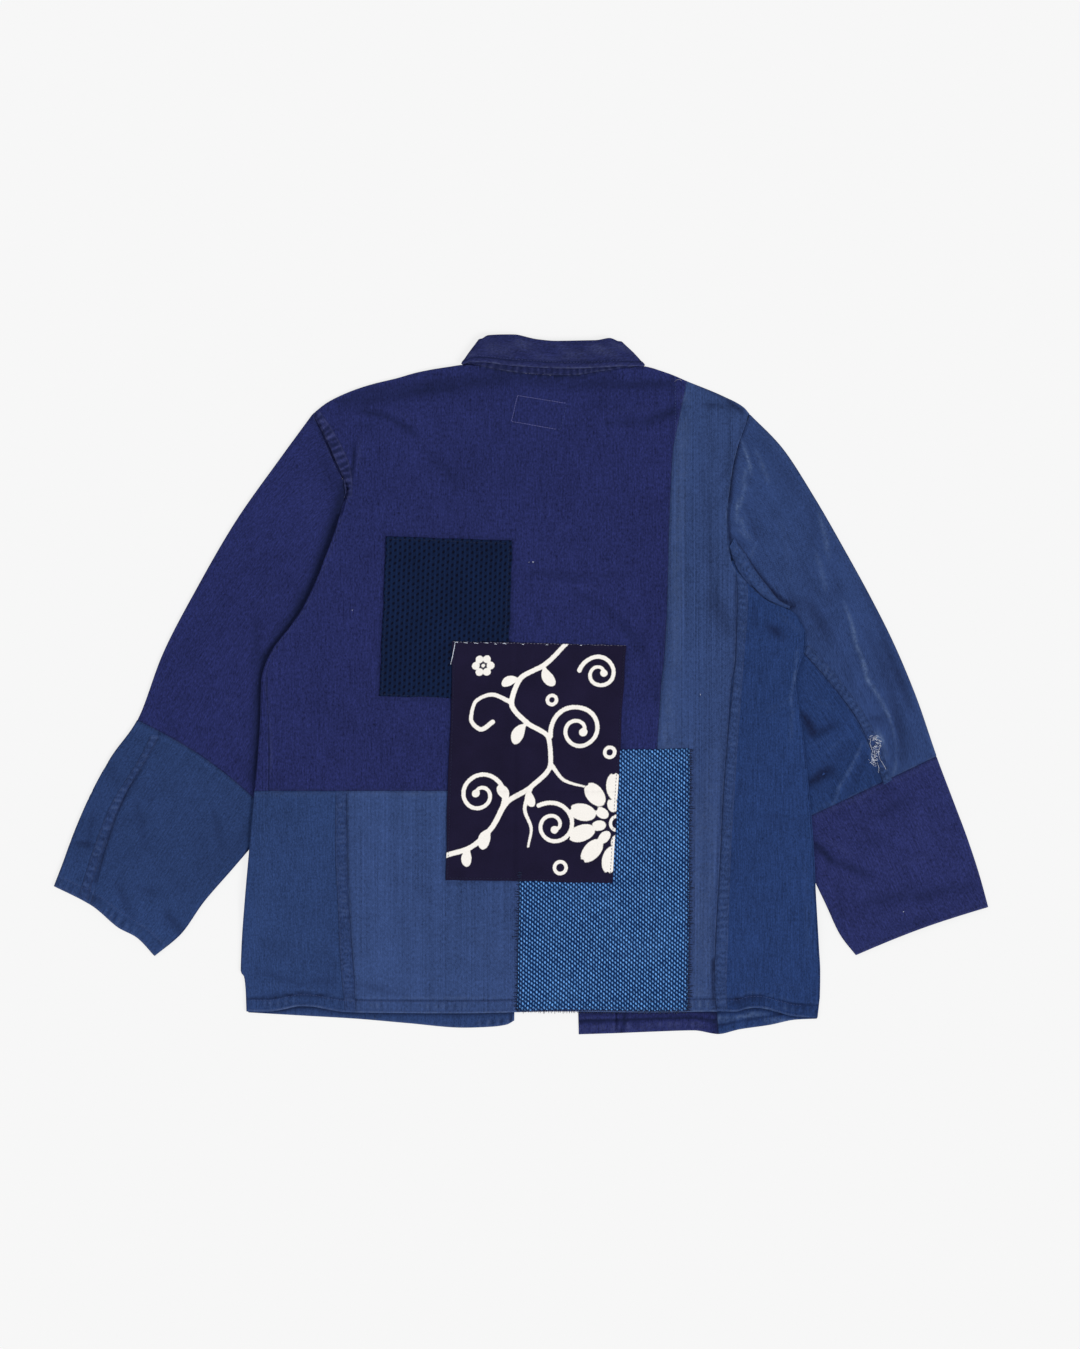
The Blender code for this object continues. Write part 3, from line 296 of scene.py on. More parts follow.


# Painted shadow lines (tint below 0) and painted highlight lines (above 0) that
# follow an edge: surface, layout points, width mm, tint.
SHADOWS = [
    ("left", [(346, 486), (331, 532), (315.5, 579.5), (289, 627), (265, 659), (260, 696), (258, 775)], 8.0, -0.95),
    ("left", [(311, 414), (330, 450), (347, 484)], 2.6, -0.45),
    ("right", [(748, 417), (739, 438), (731.5, 478), (728.5, 518), (730, 540), (735, 556)], 1.9, -0.90),
    ("right", [(747, 560), (755, 570.5), (770, 588.5), (782, 599), (794, 606)], 1.9, -0.80),
    ("right", [(743, 430), (737, 452), (733, 478), (731, 500)], 3.0, -0.45),
    ("right", [(747, 559), (757, 571), (768, 586), (780, 599), (792, 607)], 3.0, -0.55),
    ("right", [(772, 594), (782, 602), (791, 606.5)], 3.4, -0.60),
    ("right", [(866, 588), (878, 618), (890, 652), (902, 684), (910, 706)], 5.0, -0.28),
    ("left", [(158.5, 735), (154.8, 740), (143.8, 760), (132.8, 782), (122.8, 800), (116, 813), (109.5, 833), (104, 851), (98.5, 871), (95, 882)], 2.5, -0.62),
    ("back", [(266.3, 676), (267, 700), (268, 740), (269.3, 788)], 1.4, -0.60),
    ("right", [(745, 505), (752, 522), (757, 540)], 1.6, -0.30), ("right", [(733, 524), (741, 530)], 1.6, -0.3),
    ("right", [(757, 541), (751, 556)], 1.5, 0.30), ("right", [(741, 520), (748, 536)], 2.5, 0.22),
    ("right", [(743, 430), (740, 452), (736.5, 480), (734.5, 505), (735, 528)], 4.5, 0.06),
    ("right", [(748, 470), (745, 500), (746, 520)], 4.0, 0.05),
    ("right", [(731, 536), (744, 546)], 2.2, -0.45), ("right", [(738, 528), (752, 540)], 2.2, 0.25),
    ("back", [(748, 417), (738, 438), (731, 478), (728, 518), (729, 540)], 1.5, -0.25),
    ("back", [(740, 590), (741, 611)], 5.0, -0.35),
    ("back", [(734.8, 574), (735.8, 592), (735.3, 620), (734.3, 652), (731.6, 680), (722.6, 783), (719.0, 852), (714.6, 930), (713.4, 970)], 1.7, -0.55),
    ("back", [(713.8, 960), (712.6, 984), (714, 1000), (718, 1012)], 1.9, -1.00),
    ("back", [(735.5, 995), (737, 1003), (742, 1009)], 1.8, -0.35),
    ("back", [(357, 1011), (356.4, 992), (353.4, 950), (348.8, 874), (347.9, 792.6)], 1.5, -0.35),
    ("back", [(244.5, 800), (243, 860), (240, 920), (239.5, 968)], 2.2, -0.35),
    ("back", [(697, 384), (712, 390), (728, 400), (742, 411)], 2.2, -0.55),
    ("back", [(338, 402), (362, 392), (396, 386), (436, 381), (470, 376)], 3.2, -0.30),
    ("back", [(248, 1010), (300, 1010), (334, 1013)], 2.0, 0.20),
    ("back", [(516, 1000), (515, 889)], 2.0, -0.40),
    ("back", [(520, 879.5), (448, 883.5)], 2.2, -0.35),
    ("back", [(443, 880), (450.5, 700)], 1.8, -0.30),
    ("back", [(690.5, 756), (689, 1010)], 2.6, -0.50),
    ("back", [(624, 751), (690, 752)], 1.8, -0.30),
    ("back", [(627.5, 646), (625, 752)], 2.0, -0.30),
    ("back", [(513.5, 541), (510.5, 641)], 1.8, -0.35),
    ("back", [(386, 534.5), (513, 539.5)], 1.6, -0.30),
    ("back", [(377, 698), (447, 702.5)], 1.8, -0.30),
    ("back", [(385.5, 536), (376.5, 696)], 1.6, -0.30),
]
# Small marks: surface, u, v, radius mm, tint.
SPOTS = [
    ("right", 884, 676, 1.8, -0.40), ("back", 711, 406, 3.6, -0.30),
    ("back", 776, 631, 5.5, -0.22), ("back", 771, 626, 3.5, -0.15), ("back", 770, 819, 9.0, -0.20),
    ("back", 352, 512, 3.0, -0.25), ("back", 611, 452, 2.4, -0.25), ("back", 423, 747, 3.0, -0.22),
    ("back", 560, 528, 2.0, 0.25), ("back", 596, 690, 2.5, -0.25), ("left", 202, 690, 3.0, -0.25),
    ("left", 228, 700, 2.2, 0.2), ("left", 150, 800, 3.5, -0.25), ("right", 906, 850, 4.0, -0.25),
    ("right", 893, 872, 2.5, 0.2), ("back", 402, 920, 4.0, -0.22), ("back", 290, 880, 3.0, -0.25),
    ("back", 468, 842, 3.0, 0.15), ("right", 858, 560, 3.0, 0.25), ("right", 800, 470, 3.0, -0.25),
    ("right", 875, 742, 8.0, 1.2), ("right", 876, 755, 6.0, 1.0), ("right", 880, 762, 3.0, 0.6),
]


# ------------------------------------------------------------------ helpers
def sstep(t):
    t = np.clip(t, 0.0, 1.0)
    return t * t * (3 - 2 * t)


def pchip(xs, ys):
    """Smooth monotone curve through the points, as a function."""
    o = np.argsort(xs)
    xs, ys = np.asarray(xs, float)[o], np.asarray(ys, float)[o]
    h, d = np.diff(xs), np.diff(ys) / np.diff(xs)
    m = np.zeros(len(xs))
    m[0], m[-1] = d[0], d[-1]
    for i in range(1, len(xs) - 1):
        if d[i - 1] * d[i] > 0:
            w1, w2 = 2 * h[i] + h[i - 1], h[i] + 2 * h[i - 1]
            m[i] = (w1 + w2) / (w1 / d[i - 1] + w2 / d[i])

    def f(x):
        x = np.clip(np.asarray(x, float), xs[0], xs[-1])
        k = np.clip(np.searchsorted(xs, x, side="right") - 1, 0, len(xs) - 2)
        t = (x - xs[k]) / h[k]
        return ((1 + 2 * t) * (1 - t) ** 2 * ys[k] + t * (1 - t) ** 2 * h[k] * m[k]
                + t * t * (3 - 2 * t) * ys[k + 1] + t * t * (t - 1) * h[k] * m[k + 1])
    return f


line = {c: pchip(BODY["y"], BODY[c]) for c in BODY if c != "y"}
shoulder = pchip(SHOULDERS["x"], SHOULDERS["y"])
neck_back = pchip(NECK_BACK["x"], NECK_BACK["y"])
neck_front_l = pchip(NECK_FRONT["x"][:4], NECK_FRONT["y"][:4])
neck_front_r = pchip(NECK_FRONT["x"][4:], NECK_FRONT["y"][4:])
hem_back = pchip(HEM_BACK["x"], HEM_BACK["y"])
hem_front_l = pchip(HEM_FRONT["x"][:8], HEM_FRONT["y"][:8])
hem_front_r = pchip(HEM_FRONT["x"][8:], HEM_FRONT["y"][8:])


def line_dist(x, y, pts):
    """Distance to an open line of points."""
    best = np.full(np.shape(x), 1e9)
    for a, b in zip(pts, pts[1:]):
        best = np.minimum(best, seg_dist(x, y, a, b)[0])
    return best


CUFF_WAVE = pchip([0, 0.34, 0.61, 0.81, 1], [0, 2.0, -1.5, 2.8, 0])


def top_back(x):
    return np.where((x >= -62) & (x <= 131), neck_back(x), shoulder(x))


def top_front(x):
    n = np.where(x < 30, neck_front_l(x), neck_front_r(x))
    return np.where((x >= -62) & (x <= 131), n, shoulder(x))


def hem_front(x):
    return np.where(x < 30, hem_front_l(x), hem_front_r(x))


def seg_dist(x, y, a, b):
    dx, dy = b[0] - a[0], b[1] - a[1]
    t = np.clip(((x - a[0]) * dx + (y - a[1]) * dy) / (dx * dx + dy * dy), 0, 1)
    return np.hypot(x - a[0] - t * dx, y - a[1] - t * dy), t


def poly_dist(x, y, poly):
    inside = np.zeros(np.shape(x), bool)
    best = np.full(np.shape(x), 1e9)
    for a, b in zip(poly, poly[1:] + poly[:1]):
        if a[1] != b[1]:
            cross = ((a[1] > y) != (b[1] > y)) & (x < a[0] + (y - a[1]) * (b[0] - a[0]) / (b[1] - a[1]))
            inside ^= cross
        best = np.minimum(best, seg_dist(x, y, a, b)[0])
    return np.where(inside, 0.0, best)


TUCK_L = ([ARMHOLE_L[-1]] + list(zip(LEFT_SLEEVE["in_x"][:8], LEFT_SLEEVE["in_y"][:8]))
          + [(-420, -203), (-420, 186)])
TUCK_R = ([ARMHOLE_R[-1]] + list(zip(RIGHT_SLEEVE["in_x"][:10], RIGHT_SLEEVE["in_y"][:10]))
          + [(420, -238), (420, 136)])
FALL_L = [(-64, 356), (-30, 245), (19, 303), (-36, 382)]
FALL_R = [(132, 352), (92, 245), (39, 303), (103, 381)]


def lift(x, y):
    left = LIFT * (1 - sstep((poly_dist(x, y, TUCK_L) - 26) / 56))
    left = left * (1 - sstep((y - FOLD_TOP_L) / 28))
    right = LIFT * (1 - sstep((poly_dist(x, y, TUCK_R) - 26) / 56))
    right = right * (1 - sstep((y - FOLD_TOP_R) / 28))
    d = np.minimum(poly_dist(x, y, FALL_L), poly_dist(x, y, FALL_R))
    collar = COLLAR_LIFT * (1 - sstep((d - 24) / 36))
    return np.maximum(np.maximum(left, right), collar)


def air(x, y):
    neck = np.minimum(sstep((x + 75) / 20), sstep((145 - x) / 20))
    e = SHOULDER_AIR + (NECK_AIR - SHOULDER_AIR) * neck
    g = e + (AIR - e) * sstep((top_back(x) - y) / 45)
    yy = np.minimum(y, 262)
    d = np.minimum(x - line["left"](yy), line["right"](yy) - x)
    g = np.minimum(g, SIDE_AIR + (AIR - SIDE_AIR) * sstep((d - 4) / 60))
    return np.minimum(g, HEM_AIR + (AIR - HEM_AIR) * sstep((y - hem_back(x)) / 45))


def ripple(x, y, size, seed):
    """Gentle uneven waves, in -1..1."""
    rng = np.random.RandomState(seed)
    z = np.zeros(np.shape(x))
    for k in range(7):
        a, p = rng.uniform(0, math.pi), rng.uniform(0, 6.28)
        f = 2 * math.pi / (size * rng.uniform(0.6, 1.7))
        z = z + np.sin((x * math.cos(a) + y * math.sin(a)) * f + p) * rng.uniform(0.5, 1)
    return z / 4.2


def creases(on, x, y, want="z"):
    """Height of the creases on a surface, or their tint."""
    z = np.zeros(np.shape(x))
    for s, u0, v0, u1, v1, w, h, tint in CREASES:
        if s != on:
            continue
        x0, y0, x1, y1 = (u0 - 521.5) * 1.1, (684.5 - v0) * 1.1, (u1 - 521.5) * 1.1, (684.5 - v1) * 1.1
        m = ((x > min(x0, x1) - 3 * w) & (x < max(x0, x1) + 3 * w)
             & (y > min(y0, y1) - 3 * w) & (y < max(y0, y1) + 3 * w))
        if not m.any():
            continue
        xs, ys = x[m], y[m]
        dx, dy = x1 - x0, y1 - y0
        length = math.hypot(dx, dy)
        t = ((xs - x0) * dx + (ys - y0) * dy) / length ** 2
        # a little bend in each crease, so that none is ruled
        side = ((xs - x0) * dy - (ys - y0) * dx) / length
        side = side + 0.03 * length * np.sin(np.clip(t, 0, 1) * math.pi)
        over = np.maximum(0, np.maximum(-t, t - 1)) * length
        taper = np.clip(np.sin(np.clip(t * 0.88 + 0.06, 0.0, 1.0) * math.pi), 0, 1) ** 0.6
        wide = w * (0.8 + 0.4 * np.clip(t, 0, 1))
        if want == "z":
            z[m] += CREASE_HIGH * h * np.exp(-(side / wide) ** 2 - (over / w) ** 2) * taper
        else:
            k = 0.55 if tint > 0 else 0.95
            z[m] += tint * (0.62 if tint > 0 else 1.0) * np.exp(-(side / (wide * k)) ** 2 - (over / w) ** 2) * taper
    return z


def marks(on, x, y):
    """Tint of the painted shadow and highlight lines and of the spots on a surface."""
    t = np.zeros(np.shape(x))
    for s, pts, w, tint in SHADOWS:
        if s == on:
            q = [((u - 521.5) * 1.1, (684.5 - v) * 1.1) for u, v in pts]
            d = line_dist(x, y, q)
            t += tint * np.exp(-(d / w) ** 2)
    for s, u, v, r, tint in SPOTS:
        if s == on:
            d = np.hypot(x - (u - 521.5) * 1.1, y - (684.5 - v) * 1.1)
            t += tint * np.exp(-(d / r) ** 3)
    return t


# painted light and shade of the creases and edges, with the small marks, as one tint
def tinted(on, x, y):
    return CREASE_TINT * creases(on, x, y, "tint") + marks(on, x, y)


def seam_ridge(d, height, reach):
    """The cloth's rise beside a seam at d = 0, pressed towards +d."""
    groove = -0.35 * np.exp(-(d / 1.6) ** 2)
    rise = height * sstep(d / 1.2) * (1 - sstep((d - reach + 1.5) / 3))
    return groove + rise


def back_detail(x, y):
    """Relief of the back beyond its layer height: creases, seams and hem."""
    z = creases("back", x, y)
    z += 0.32 * ripple(x, y, 95, 3) + 0.10 * ripple(x, y, 26, 4)
    # purple/herringbone seam, allowance pressed to the right
    z += seam_ridge(x - line["strip"](y), 0.45, 9.0) * (y < 345)
    # waist seam, allowance pressed down
    m = sstep((150 - x) / 4)
    z += seam_ridge(WAIST - y, 0.45, 8.0) * m * (x < line["strip"](y))
    # pucker along the waist seam
    z += 0.12 * np.sin(x * 1.05 + 0.6 * np.sin(x * 0.21)) * np.exp(-((y - WAIST) / 6) ** 2) * m
    # hem: double turning below a stitched line
    h = y - hem_back(x)
    z += 0.55 * (1 - sstep((h - 12.5) / 1.6)) - 0.40 * np.exp(-((h - 13.8) / 1.3) ** 2)
    z += 0.22 * np.sin((x + 0.4 * h) * 0.78 + 1.3 * np.sin(x * 0.11)) * np.exp(-((h - 9) / 7) ** 2)
    # neck seam: gathered a little
    n = top_back(x) - y
    inside = (x > -60) & (x < 129)
    z += 0.25 * np.sin(x * 1.15 + np.sin(x * 0.33)) * np.exp(-((n - 3) / 5) ** 2) * inside
    # armholes: cloth eased into the seam
    for path, on in ((ARMHOLE_L, x < 0), (ARMHOLE_R, x > 0)):
        for a, b in zip(path, path[1:]):
            d, t = seg_dist(x, y, a, b)
            along = t * math.hypot(b[0] - a[0], b[1] - a[1])
            z += on * 0.18 * np.sin(along * 1.0) * np.exp(-((d - 9) / 5) ** 2)
    return z


def back_tint(x, y):
    t = tinted("back", x, y)
    # the neck seam is gathered: painted shade along it, darkest in dots at the gathers, softer just below
    n = top_back(x) - y
    inside = (x > -48) & (x < 106)
    t -= inside * (0.35 + 0.8 * np.clip(0.25 + np.cos(x * 0.88 + 0.9 * np.sin(x * 0.13)), 0, 1)) * np.exp(-((n - 0.6) / 2.4) ** 2)
    t -= inside * 0.22 * np.exp(-((n - 6) / 6.0) ** 2)
    # waist seam: painted shade along its upper side, a painted highlight below on the pressed allowance
    m = (x < line["strip"](y)) * 1.0
    t -= 0.35 * m * np.exp(-((y - WAIST - 1.0) / 1.6) ** 2)
    t += 0.14 * m * np.exp(-((WAIST - y - 3.5) / 2.5) ** 2)
    # purple/herringbone seam: the strip is painted paler beside it as a highlight on the pressed allowance,
    # and paler lower down, darker higher up away from it; a painted shade line runs along the seam
    d = x - line["strip"](y)
    on_strip = sstep((d - 1.5) / 3) * (x < line["side"](y) + 1)
    t += on_strip * (0.13 * np.exp(-((d - 9) / 10) ** 2) + 0.10 * (1 - sstep((y + 150) / 140)))
    t -= on_strip * 0.07 * sstep((y - 60) / 120) * sstep((d - 12) / 20)
    t -= 0.30 * np.exp(-((d + 1.2) / 1.5) ** 2) * (y < 345)
    # hem: painted shade in the stitched groove, painted light and shade on the ladder puckers below it, a worn edge
    h = y - hem_back(x)
    t -= 0.62 * np.exp(-((h - 14.0) / 1.2) ** 2)
    t += 0.14 * np.exp(-((h - 16.6) / 1.3) ** 2)
    ladder = np.cos(x * 0.80 + 1.1 * np.sin(x * 0.11)) * (0.75 + 0.45 * np.sin(x * 0.067 + 1.0))
    t += (0.34 * ladder - 0.10) * np.exp(-((h - 8) / 4.6) ** 2)
    t -= 0.20 * np.exp(-((h - 3.2) / 1.0) ** 2)
    t += 0.28 * np.exp(-((h - 0.5) / 1.2) ** 2)
    return t


def back_z(x, y):
    """Middle of the back's wall."""
    return lift(x, y) + WALL + air(x, y) + WALL / 2 + back_detail(x, y)


def front_z(x, y):
    z = lift(x, y) + WALL / 2
    z = z + np.maximum(0, creases("low", x, y)) * 0.5
    d = x - line["front_r"](y)
    ridge = np.clip(np.minimum(d / 8, (42 - d) / 14), 0, 1)
    # the front stands over each button and sinks back between them
    bump = np.zeros(np.shape(x))
    for b in BUTTON_Y:
        bump = np.maximum(bump, 1 - sstep((np.abs(y - b) - 10) / 30))
    run = (1 - sstep((y - 240) / 22)) * sstep((y + 250) / 40)
    z = z + PLACKET * ridge * run * (0.35 + 0.65 * bump)
    h = y - hem_front(x)
    return z + 0.3 * np.exp(-((h - 6) / 6) ** 2)


# -------------------------------------------------------------- mesh making
PIECES = {}


def finish_piece(name, verts, faces, mat, smooth=True, attrs=None, uv=None):
    """Object from millimetre points; faces are triangles or quads."""
    me = bpy.data.meshes.new(name)
    v = np.array(verts, float)
    v[:, 0] -= ORIGIN[0]
    v[:, 1] -= ORIGIN[1]
    v[:, 2] = np.maximum(v[:, 2], 0.0)
    v *= MM
    faces = np.asarray(faces)
    n, k = faces.shape
    me.vertices.add(len(v))
    me.vertices.foreach_set("co", v.astype(np.float32).ravel())
    me.loops.add(n * k)
    me.loops.foreach_set("vertex_index", faces.astype(np.int32).ravel())
    me.polygons.add(n)
    me.polygons.foreach_set("loop_start", np.arange(0, n * k, k, dtype=np.int32))
    me.polygons.foreach_set("loop_total", np.full(n, k, np.int32))
    me.update(calc_edges=True)
    if uv is not None:
        layer = me.uv_layers.new(name="cloth")
        layer.data.foreach_set("uv", np.asarray(uv, np.float32)[faces.ravel()].ravel())
    for key, values in (attrs or {}).items():
        a = me.attributes.new(key, "FLOAT", "POINT")
        a.data.foreach_set("value", np.asarray(values, np.float32))
    me.validate()
    if smooth:
        me.shade_smooth()
    ob = bpy.data.objects.new(name, me)
    bpy.context.collection.objects.link(ob)
    me.materials.append(mat)
    PIECES[name] = (v / MM + np.array([ORIGIN[0], ORIGIN[1], 0]), faces)
    return ob


def shell(name, mid, mat, thick=CLOTH, closed=False, mask=None, uv=None, taper=0.45, tint=None):
    """Closed thin wall on the grid mid[i, j]; attribute rim is mm from an edge."""
    ni, nj = mid.shape[:2]
    cj = nj if closed else nj - 1
    I, J = np.meshgrid(np.arange(ni - 1), np.arange(cj), indexing="ij")
    ok = np.ones(I.shape, bool) if mask is None else mask
    I, J = I[ok], J[ok]
    J1 = (J + 1) % nj
    q = np.stack([I * nj + J, I * nj + J1, (I + 1) * nj + J1, (I + 1) * nj + J], 1)
    P = mid.reshape(-1, 3)
    n = np.cross(P[q[:, 2]] - P[q[:, 0]], P[q[:, 3]] - P[q[:, 1]])
    n /= np.maximum(np.linalg.norm(n, axis=1, keepdims=True), 1e-12)
    N = np.zeros_like(P)
    for k in range(4):
        np.add.at(N, q[:, k], n)
    N /= np.maximum(np.linalg.norm(N, axis=1, keepdims=True), 1e-12)
    # border edges: those with one cell
    e = np.concatenate([np.stack([q[:, k], q[:, (k + 1) % 4]], 1) for k in range(4)])
    key = e[:, 0].astype(np.int64) * len(P) + e[:, 1]
    rev = e[:, 1].astype(np.int64) * len(P) + e[:, 0]
    border = e[~np.isin(key, rev)]
    edge_v = np.zeros(len(P), bool)
    edge_v[border.ravel()] = True
    # distance from the border, walked through the grid
    rim = np.full(len(P), 60.0)
    rim[edge_v] = 0
    G = rim.reshape(ni, nj)
    M = mid
    dj = np.linalg.norm(np.diff(M, axis=1), axis=2)
    di = np.linalg.norm(np.diff(M, axis=0), axis=2)
    for _ in range(2):
        for j in range(1, nj):
            G[:, j] = np.minimum(G[:, j], G[:, j - 1] + dj[:, j - 1])
        for j in range(nj - 2, -1, -1):
            G[:, j] = np.minimum(G[:, j], G[:, j + 1] + dj[:, j])
        for i in range(1, ni):
            G[i] = np.minimum(G[i], G[i - 1] + di[i - 1])
        for i in range(ni - 2, -1, -1):
            G[i] = np.minimum(G[i], G[i + 1] + di[i])
    rim = G.ravel()
    half = np.where(edge_v, thick * taper / 2, thick / 2)[:, None]
    used = np.unique(q)
    remap = -np.ones(len(P), int)
    remap[used] = np.arange(len(used))
    m = len(used)
    top, low = P[used] + N[used] * half[used], P[used] - N[used] * half[used]
    qq, bb = remap[q], remap[border]
    faces = np.concatenate([qq, qq[:, ::-1] + m,
                            np.stack([bb[:, 1], bb[:, 0], bb[:, 0] + m, bb[:, 1] + m], 1)])
    verts = np.concatenate([top, low])
    # outward: the signed volume is positive
    a, b, c, d = (verts[faces[:, k]] for k in range(4))
    vol = np.einsum("ij,ij->i", a, np.cross(b, c)).sum() + np.einsum("ij,ij->i", a, np.cross(c, d)).sum()
    if vol < 0:
        faces = faces[:, ::-1]
    if uv is None:
        uvw = P[:, :2] * MM
    else:
        uvw = uv.reshape(-1, 2) * MM
    attrs = {"rim": np.concatenate([rim[used]] * 2)}
    # tint above 0 lightens, as wear and painted highlight; below 0 darkens, as painted shade and a few stains
    if tint is not None:
        t = np.asarray(tint, float).ravel()[used]
        attrs["wear_and_highlight"] = np.concatenate([np.clip(t, 0, 1)] * 2)
        attrs["dark"] = np.concatenate([np.clip(-t, 0, 1)] * 2)
    ob = finish_piece(name, verts, faces, mat, attrs=attrs,
                      uv=np.concatenate([uvw[used]] * 2))
    area = np.linalg.norm(np.cross(P[q[:, 2]] - P[q[:, 0]], P[q[:, 3]] - P[q[:, 1]]), axis=1).sum() / 2
    ob["cloth_m2"] = float(area * 1e-6)
    return ob


def spaced(a, b, step, fine=0.9):
    """Even stations from a to b, with one just inside each end."""
    n = max(2, int(round(abs(b - a) / step)))
    t = np.linspace(0, 1, n + 1)
    f = min(fine / max(abs(b - a), 1e-6), 0.3 / n)
    t = np.concatenate([[0, f], t[1:-1], [1 - f, 1]])
    return a + (b - a) * t


class Surface:
    """The top of some pieces, read from above."""

    def __init__(self, *names):
        V, F, off = [], [], 0
        for n in names:
            v, f = PIECES[n]
            V.append(v)
            F += [tuple(int(i) + off for i in r) for r in f]
            off += len(v)
        self.tree = BVHTree.FromPolygons([tuple(p) for p in np.concatenate(V)], F)

    def z(self, x, y, default=None):
        hit = self.tree.ray_cast(Vector((x, y, 60.0)), Vector((0, 0, -1)))
        return hit[0].z if hit[0] is not None else default

    def under(self, x, y, default=None):
        hit = self.tree.ray_cast(Vector((x, y, -20.0)), Vector((0, 0, 1)))
        return hit[0].z if hit[0] is not None else default


# ------------------------------------------------------------ the body's grid
COLS = ("left", "seam", "c1", "c2", "c3", "low", "c4", "c5", "neck_l",
        "c7", "c8", "front_l", "front_r", "p1", "p2", "p3", "neck_r", "c9",
        "strip", "c10", "c11", "side", "c12", "c13", "right")
COL = {name: i for i, name in enumerate(COLS)}
SPLITS = (("seam", "low", 3), ("low", "neck_l", 2), ("neck_l", "front_l", 2),
          ("neck_r", "strip", 1), ("strip", "side", 2), ("side", "right", 2))
TOP_X = np.array([-230, -227, -205, -185, -163, -138, -113, -78, -62, -45, -15, 20, 38,
                  46, 66, 84, 131, 160, 182, 203, 228, 251, 251, 251, 251], float)
TOP_X_BACK = TOP_X.copy()
TOP_X_BACK[13:16] = (54, 68, 83)
Y_TOP, Y_LOW = 262.0, -345.0


def columns(y):
    """x of every named column at each y, shape (len(y), 25)."""
    y = np.asarray(y, float)
    x = {c: line[c](y) for c in ("left", "low", "neck_l", "front_l", "front_r", "neck_r",
                                 "strip", "side", "right")}
    x["seam"] = x["left"] + line["inset"](y)
    x["p1"], x["p2"], x["p3"] = (x["front_r"] + d for d in (8, 28, 42))
    for a, b, n in SPLITS:
        for k in range(1, n + 1):
            x[COLS[COL[a] + k]] = x[a] + (x[b] - x[a]) * k / (n + 1)
    return np.stack([x[c] for c in COLS], 1)


def across(X, U):
    """Columns X (ny, 25) read at the fractional column numbers U."""
    k = np.clip(np.floor(U).astype(int), 0, 23)
    t = U - k
    return X[:, k] * (1 - t) + X[:, k + 1] * t


def rows_y(y0, y1, step, top=False, hem=False):
    """Row stations: numbers above Y_TOP or below Y_LOW run to the curves."""
    r = []
    if top:
        n = max(2, int(round(80 / step)))
        r += [("top", t) for t in (1 - spaced(0, 1, 1.0 / n, 0.9 / 80))][:-1]
        y0 = Y_TOP
    lows = y1 if not hem else Y_LOW
    stops = [y0] + [s for s in (FOLD_TOP_L, FOLD_TOP_R, WAIST) if lows < s < y0] + [lows]
    ys = []
    for a, b in zip(stops, stops[1:]):
        n = max(1, int(round((a - b) / step)))
        ys += list(np.linspace(a, b, n + 1)[(0 if not ys else 1):])
    if not top and len(ys) > 1:
        ys = [ys[0], ys[0] - 0.9] + ys[1:]
    if not hem:
        ys = ys[:-1] + [ys[-1] + 0.9, ys[-1]]
    r += [("y", v) for v in ys]
    if hem:
        n = max(3, int(round(32 / min(step, 2.0))))
        r += [("hem", t) for t in spaced(0, 1, 1.0 / n, 0.06)[1:]]
    return r


def plan(layer, R, U):
    """x and y of the body's points at row stations R and columns U."""
    U = np.asarray(U, float)
    X, Y = np.zeros((len(R), len(U))), np.zeros((len(R), len(U)))
    top_cols = TOP_X_BACK if layer == "back" else TOP_X
    curve = top_back if layer == "back" else top_front
    hem = hem_back if layer == "back" else hem_front
    x262, xlow = across(columns([Y_TOP]), U)[0], across(columns([Y_LOW]), U)[0]
    xhem = across(columns([-368.0]), U)[0]
    xtop = across(top_cols[None, :], U)[0]
    for i, (kind, v) in enumerate(R):
        if kind == "top":
            X[i] = x262 + (xtop - x262) * v
            Y[i] = Y_TOP + (curve(xtop) - Y_TOP) * v
        elif kind == "y":
            X[i] = across(columns([v]), U)[0]
            Y[i] = v
        else:
            X[i] = xlow + (xhem - xlow) * v
            Y[i] = Y_LOW + (hem(xhem) - Y_LOW) * v
    return X, Y


def col_range(a, b, step, y=0.0):
    """Fractional column numbers from a to b, `step` mm apart at height y."""
    ia, ib = (COL[c] if isinstance(c, str) else c for c in (a, b))
    x = columns([y])[0]
    sgn = 1 if ib > ia else -1
    U = [float(ia)]
    for k in range(ia, ib, sgn):
        n = max(1, int(round(abs(x[k + sgn] - x[k]) / step)))
        U += [k + sgn * m / n for m in range(1, n + 1)]
    w0, w1 = abs(x[ia + sgn] - x[ia]), abs(x[ib] - x[ib - sgn])
    U = [U[0], U[0] + sgn * min(0.3, 0.9 / w0)] + U[1:-1] + [U[-1] - sgn * min(0.3, 0.9 / w1), U[-1]]
    out = []
    for u in U:
        if not out or abs(u - out[-1]) > 1e-6:
            out.append(u)
    return np.array(sorted(out, reverse=sgn < 0))


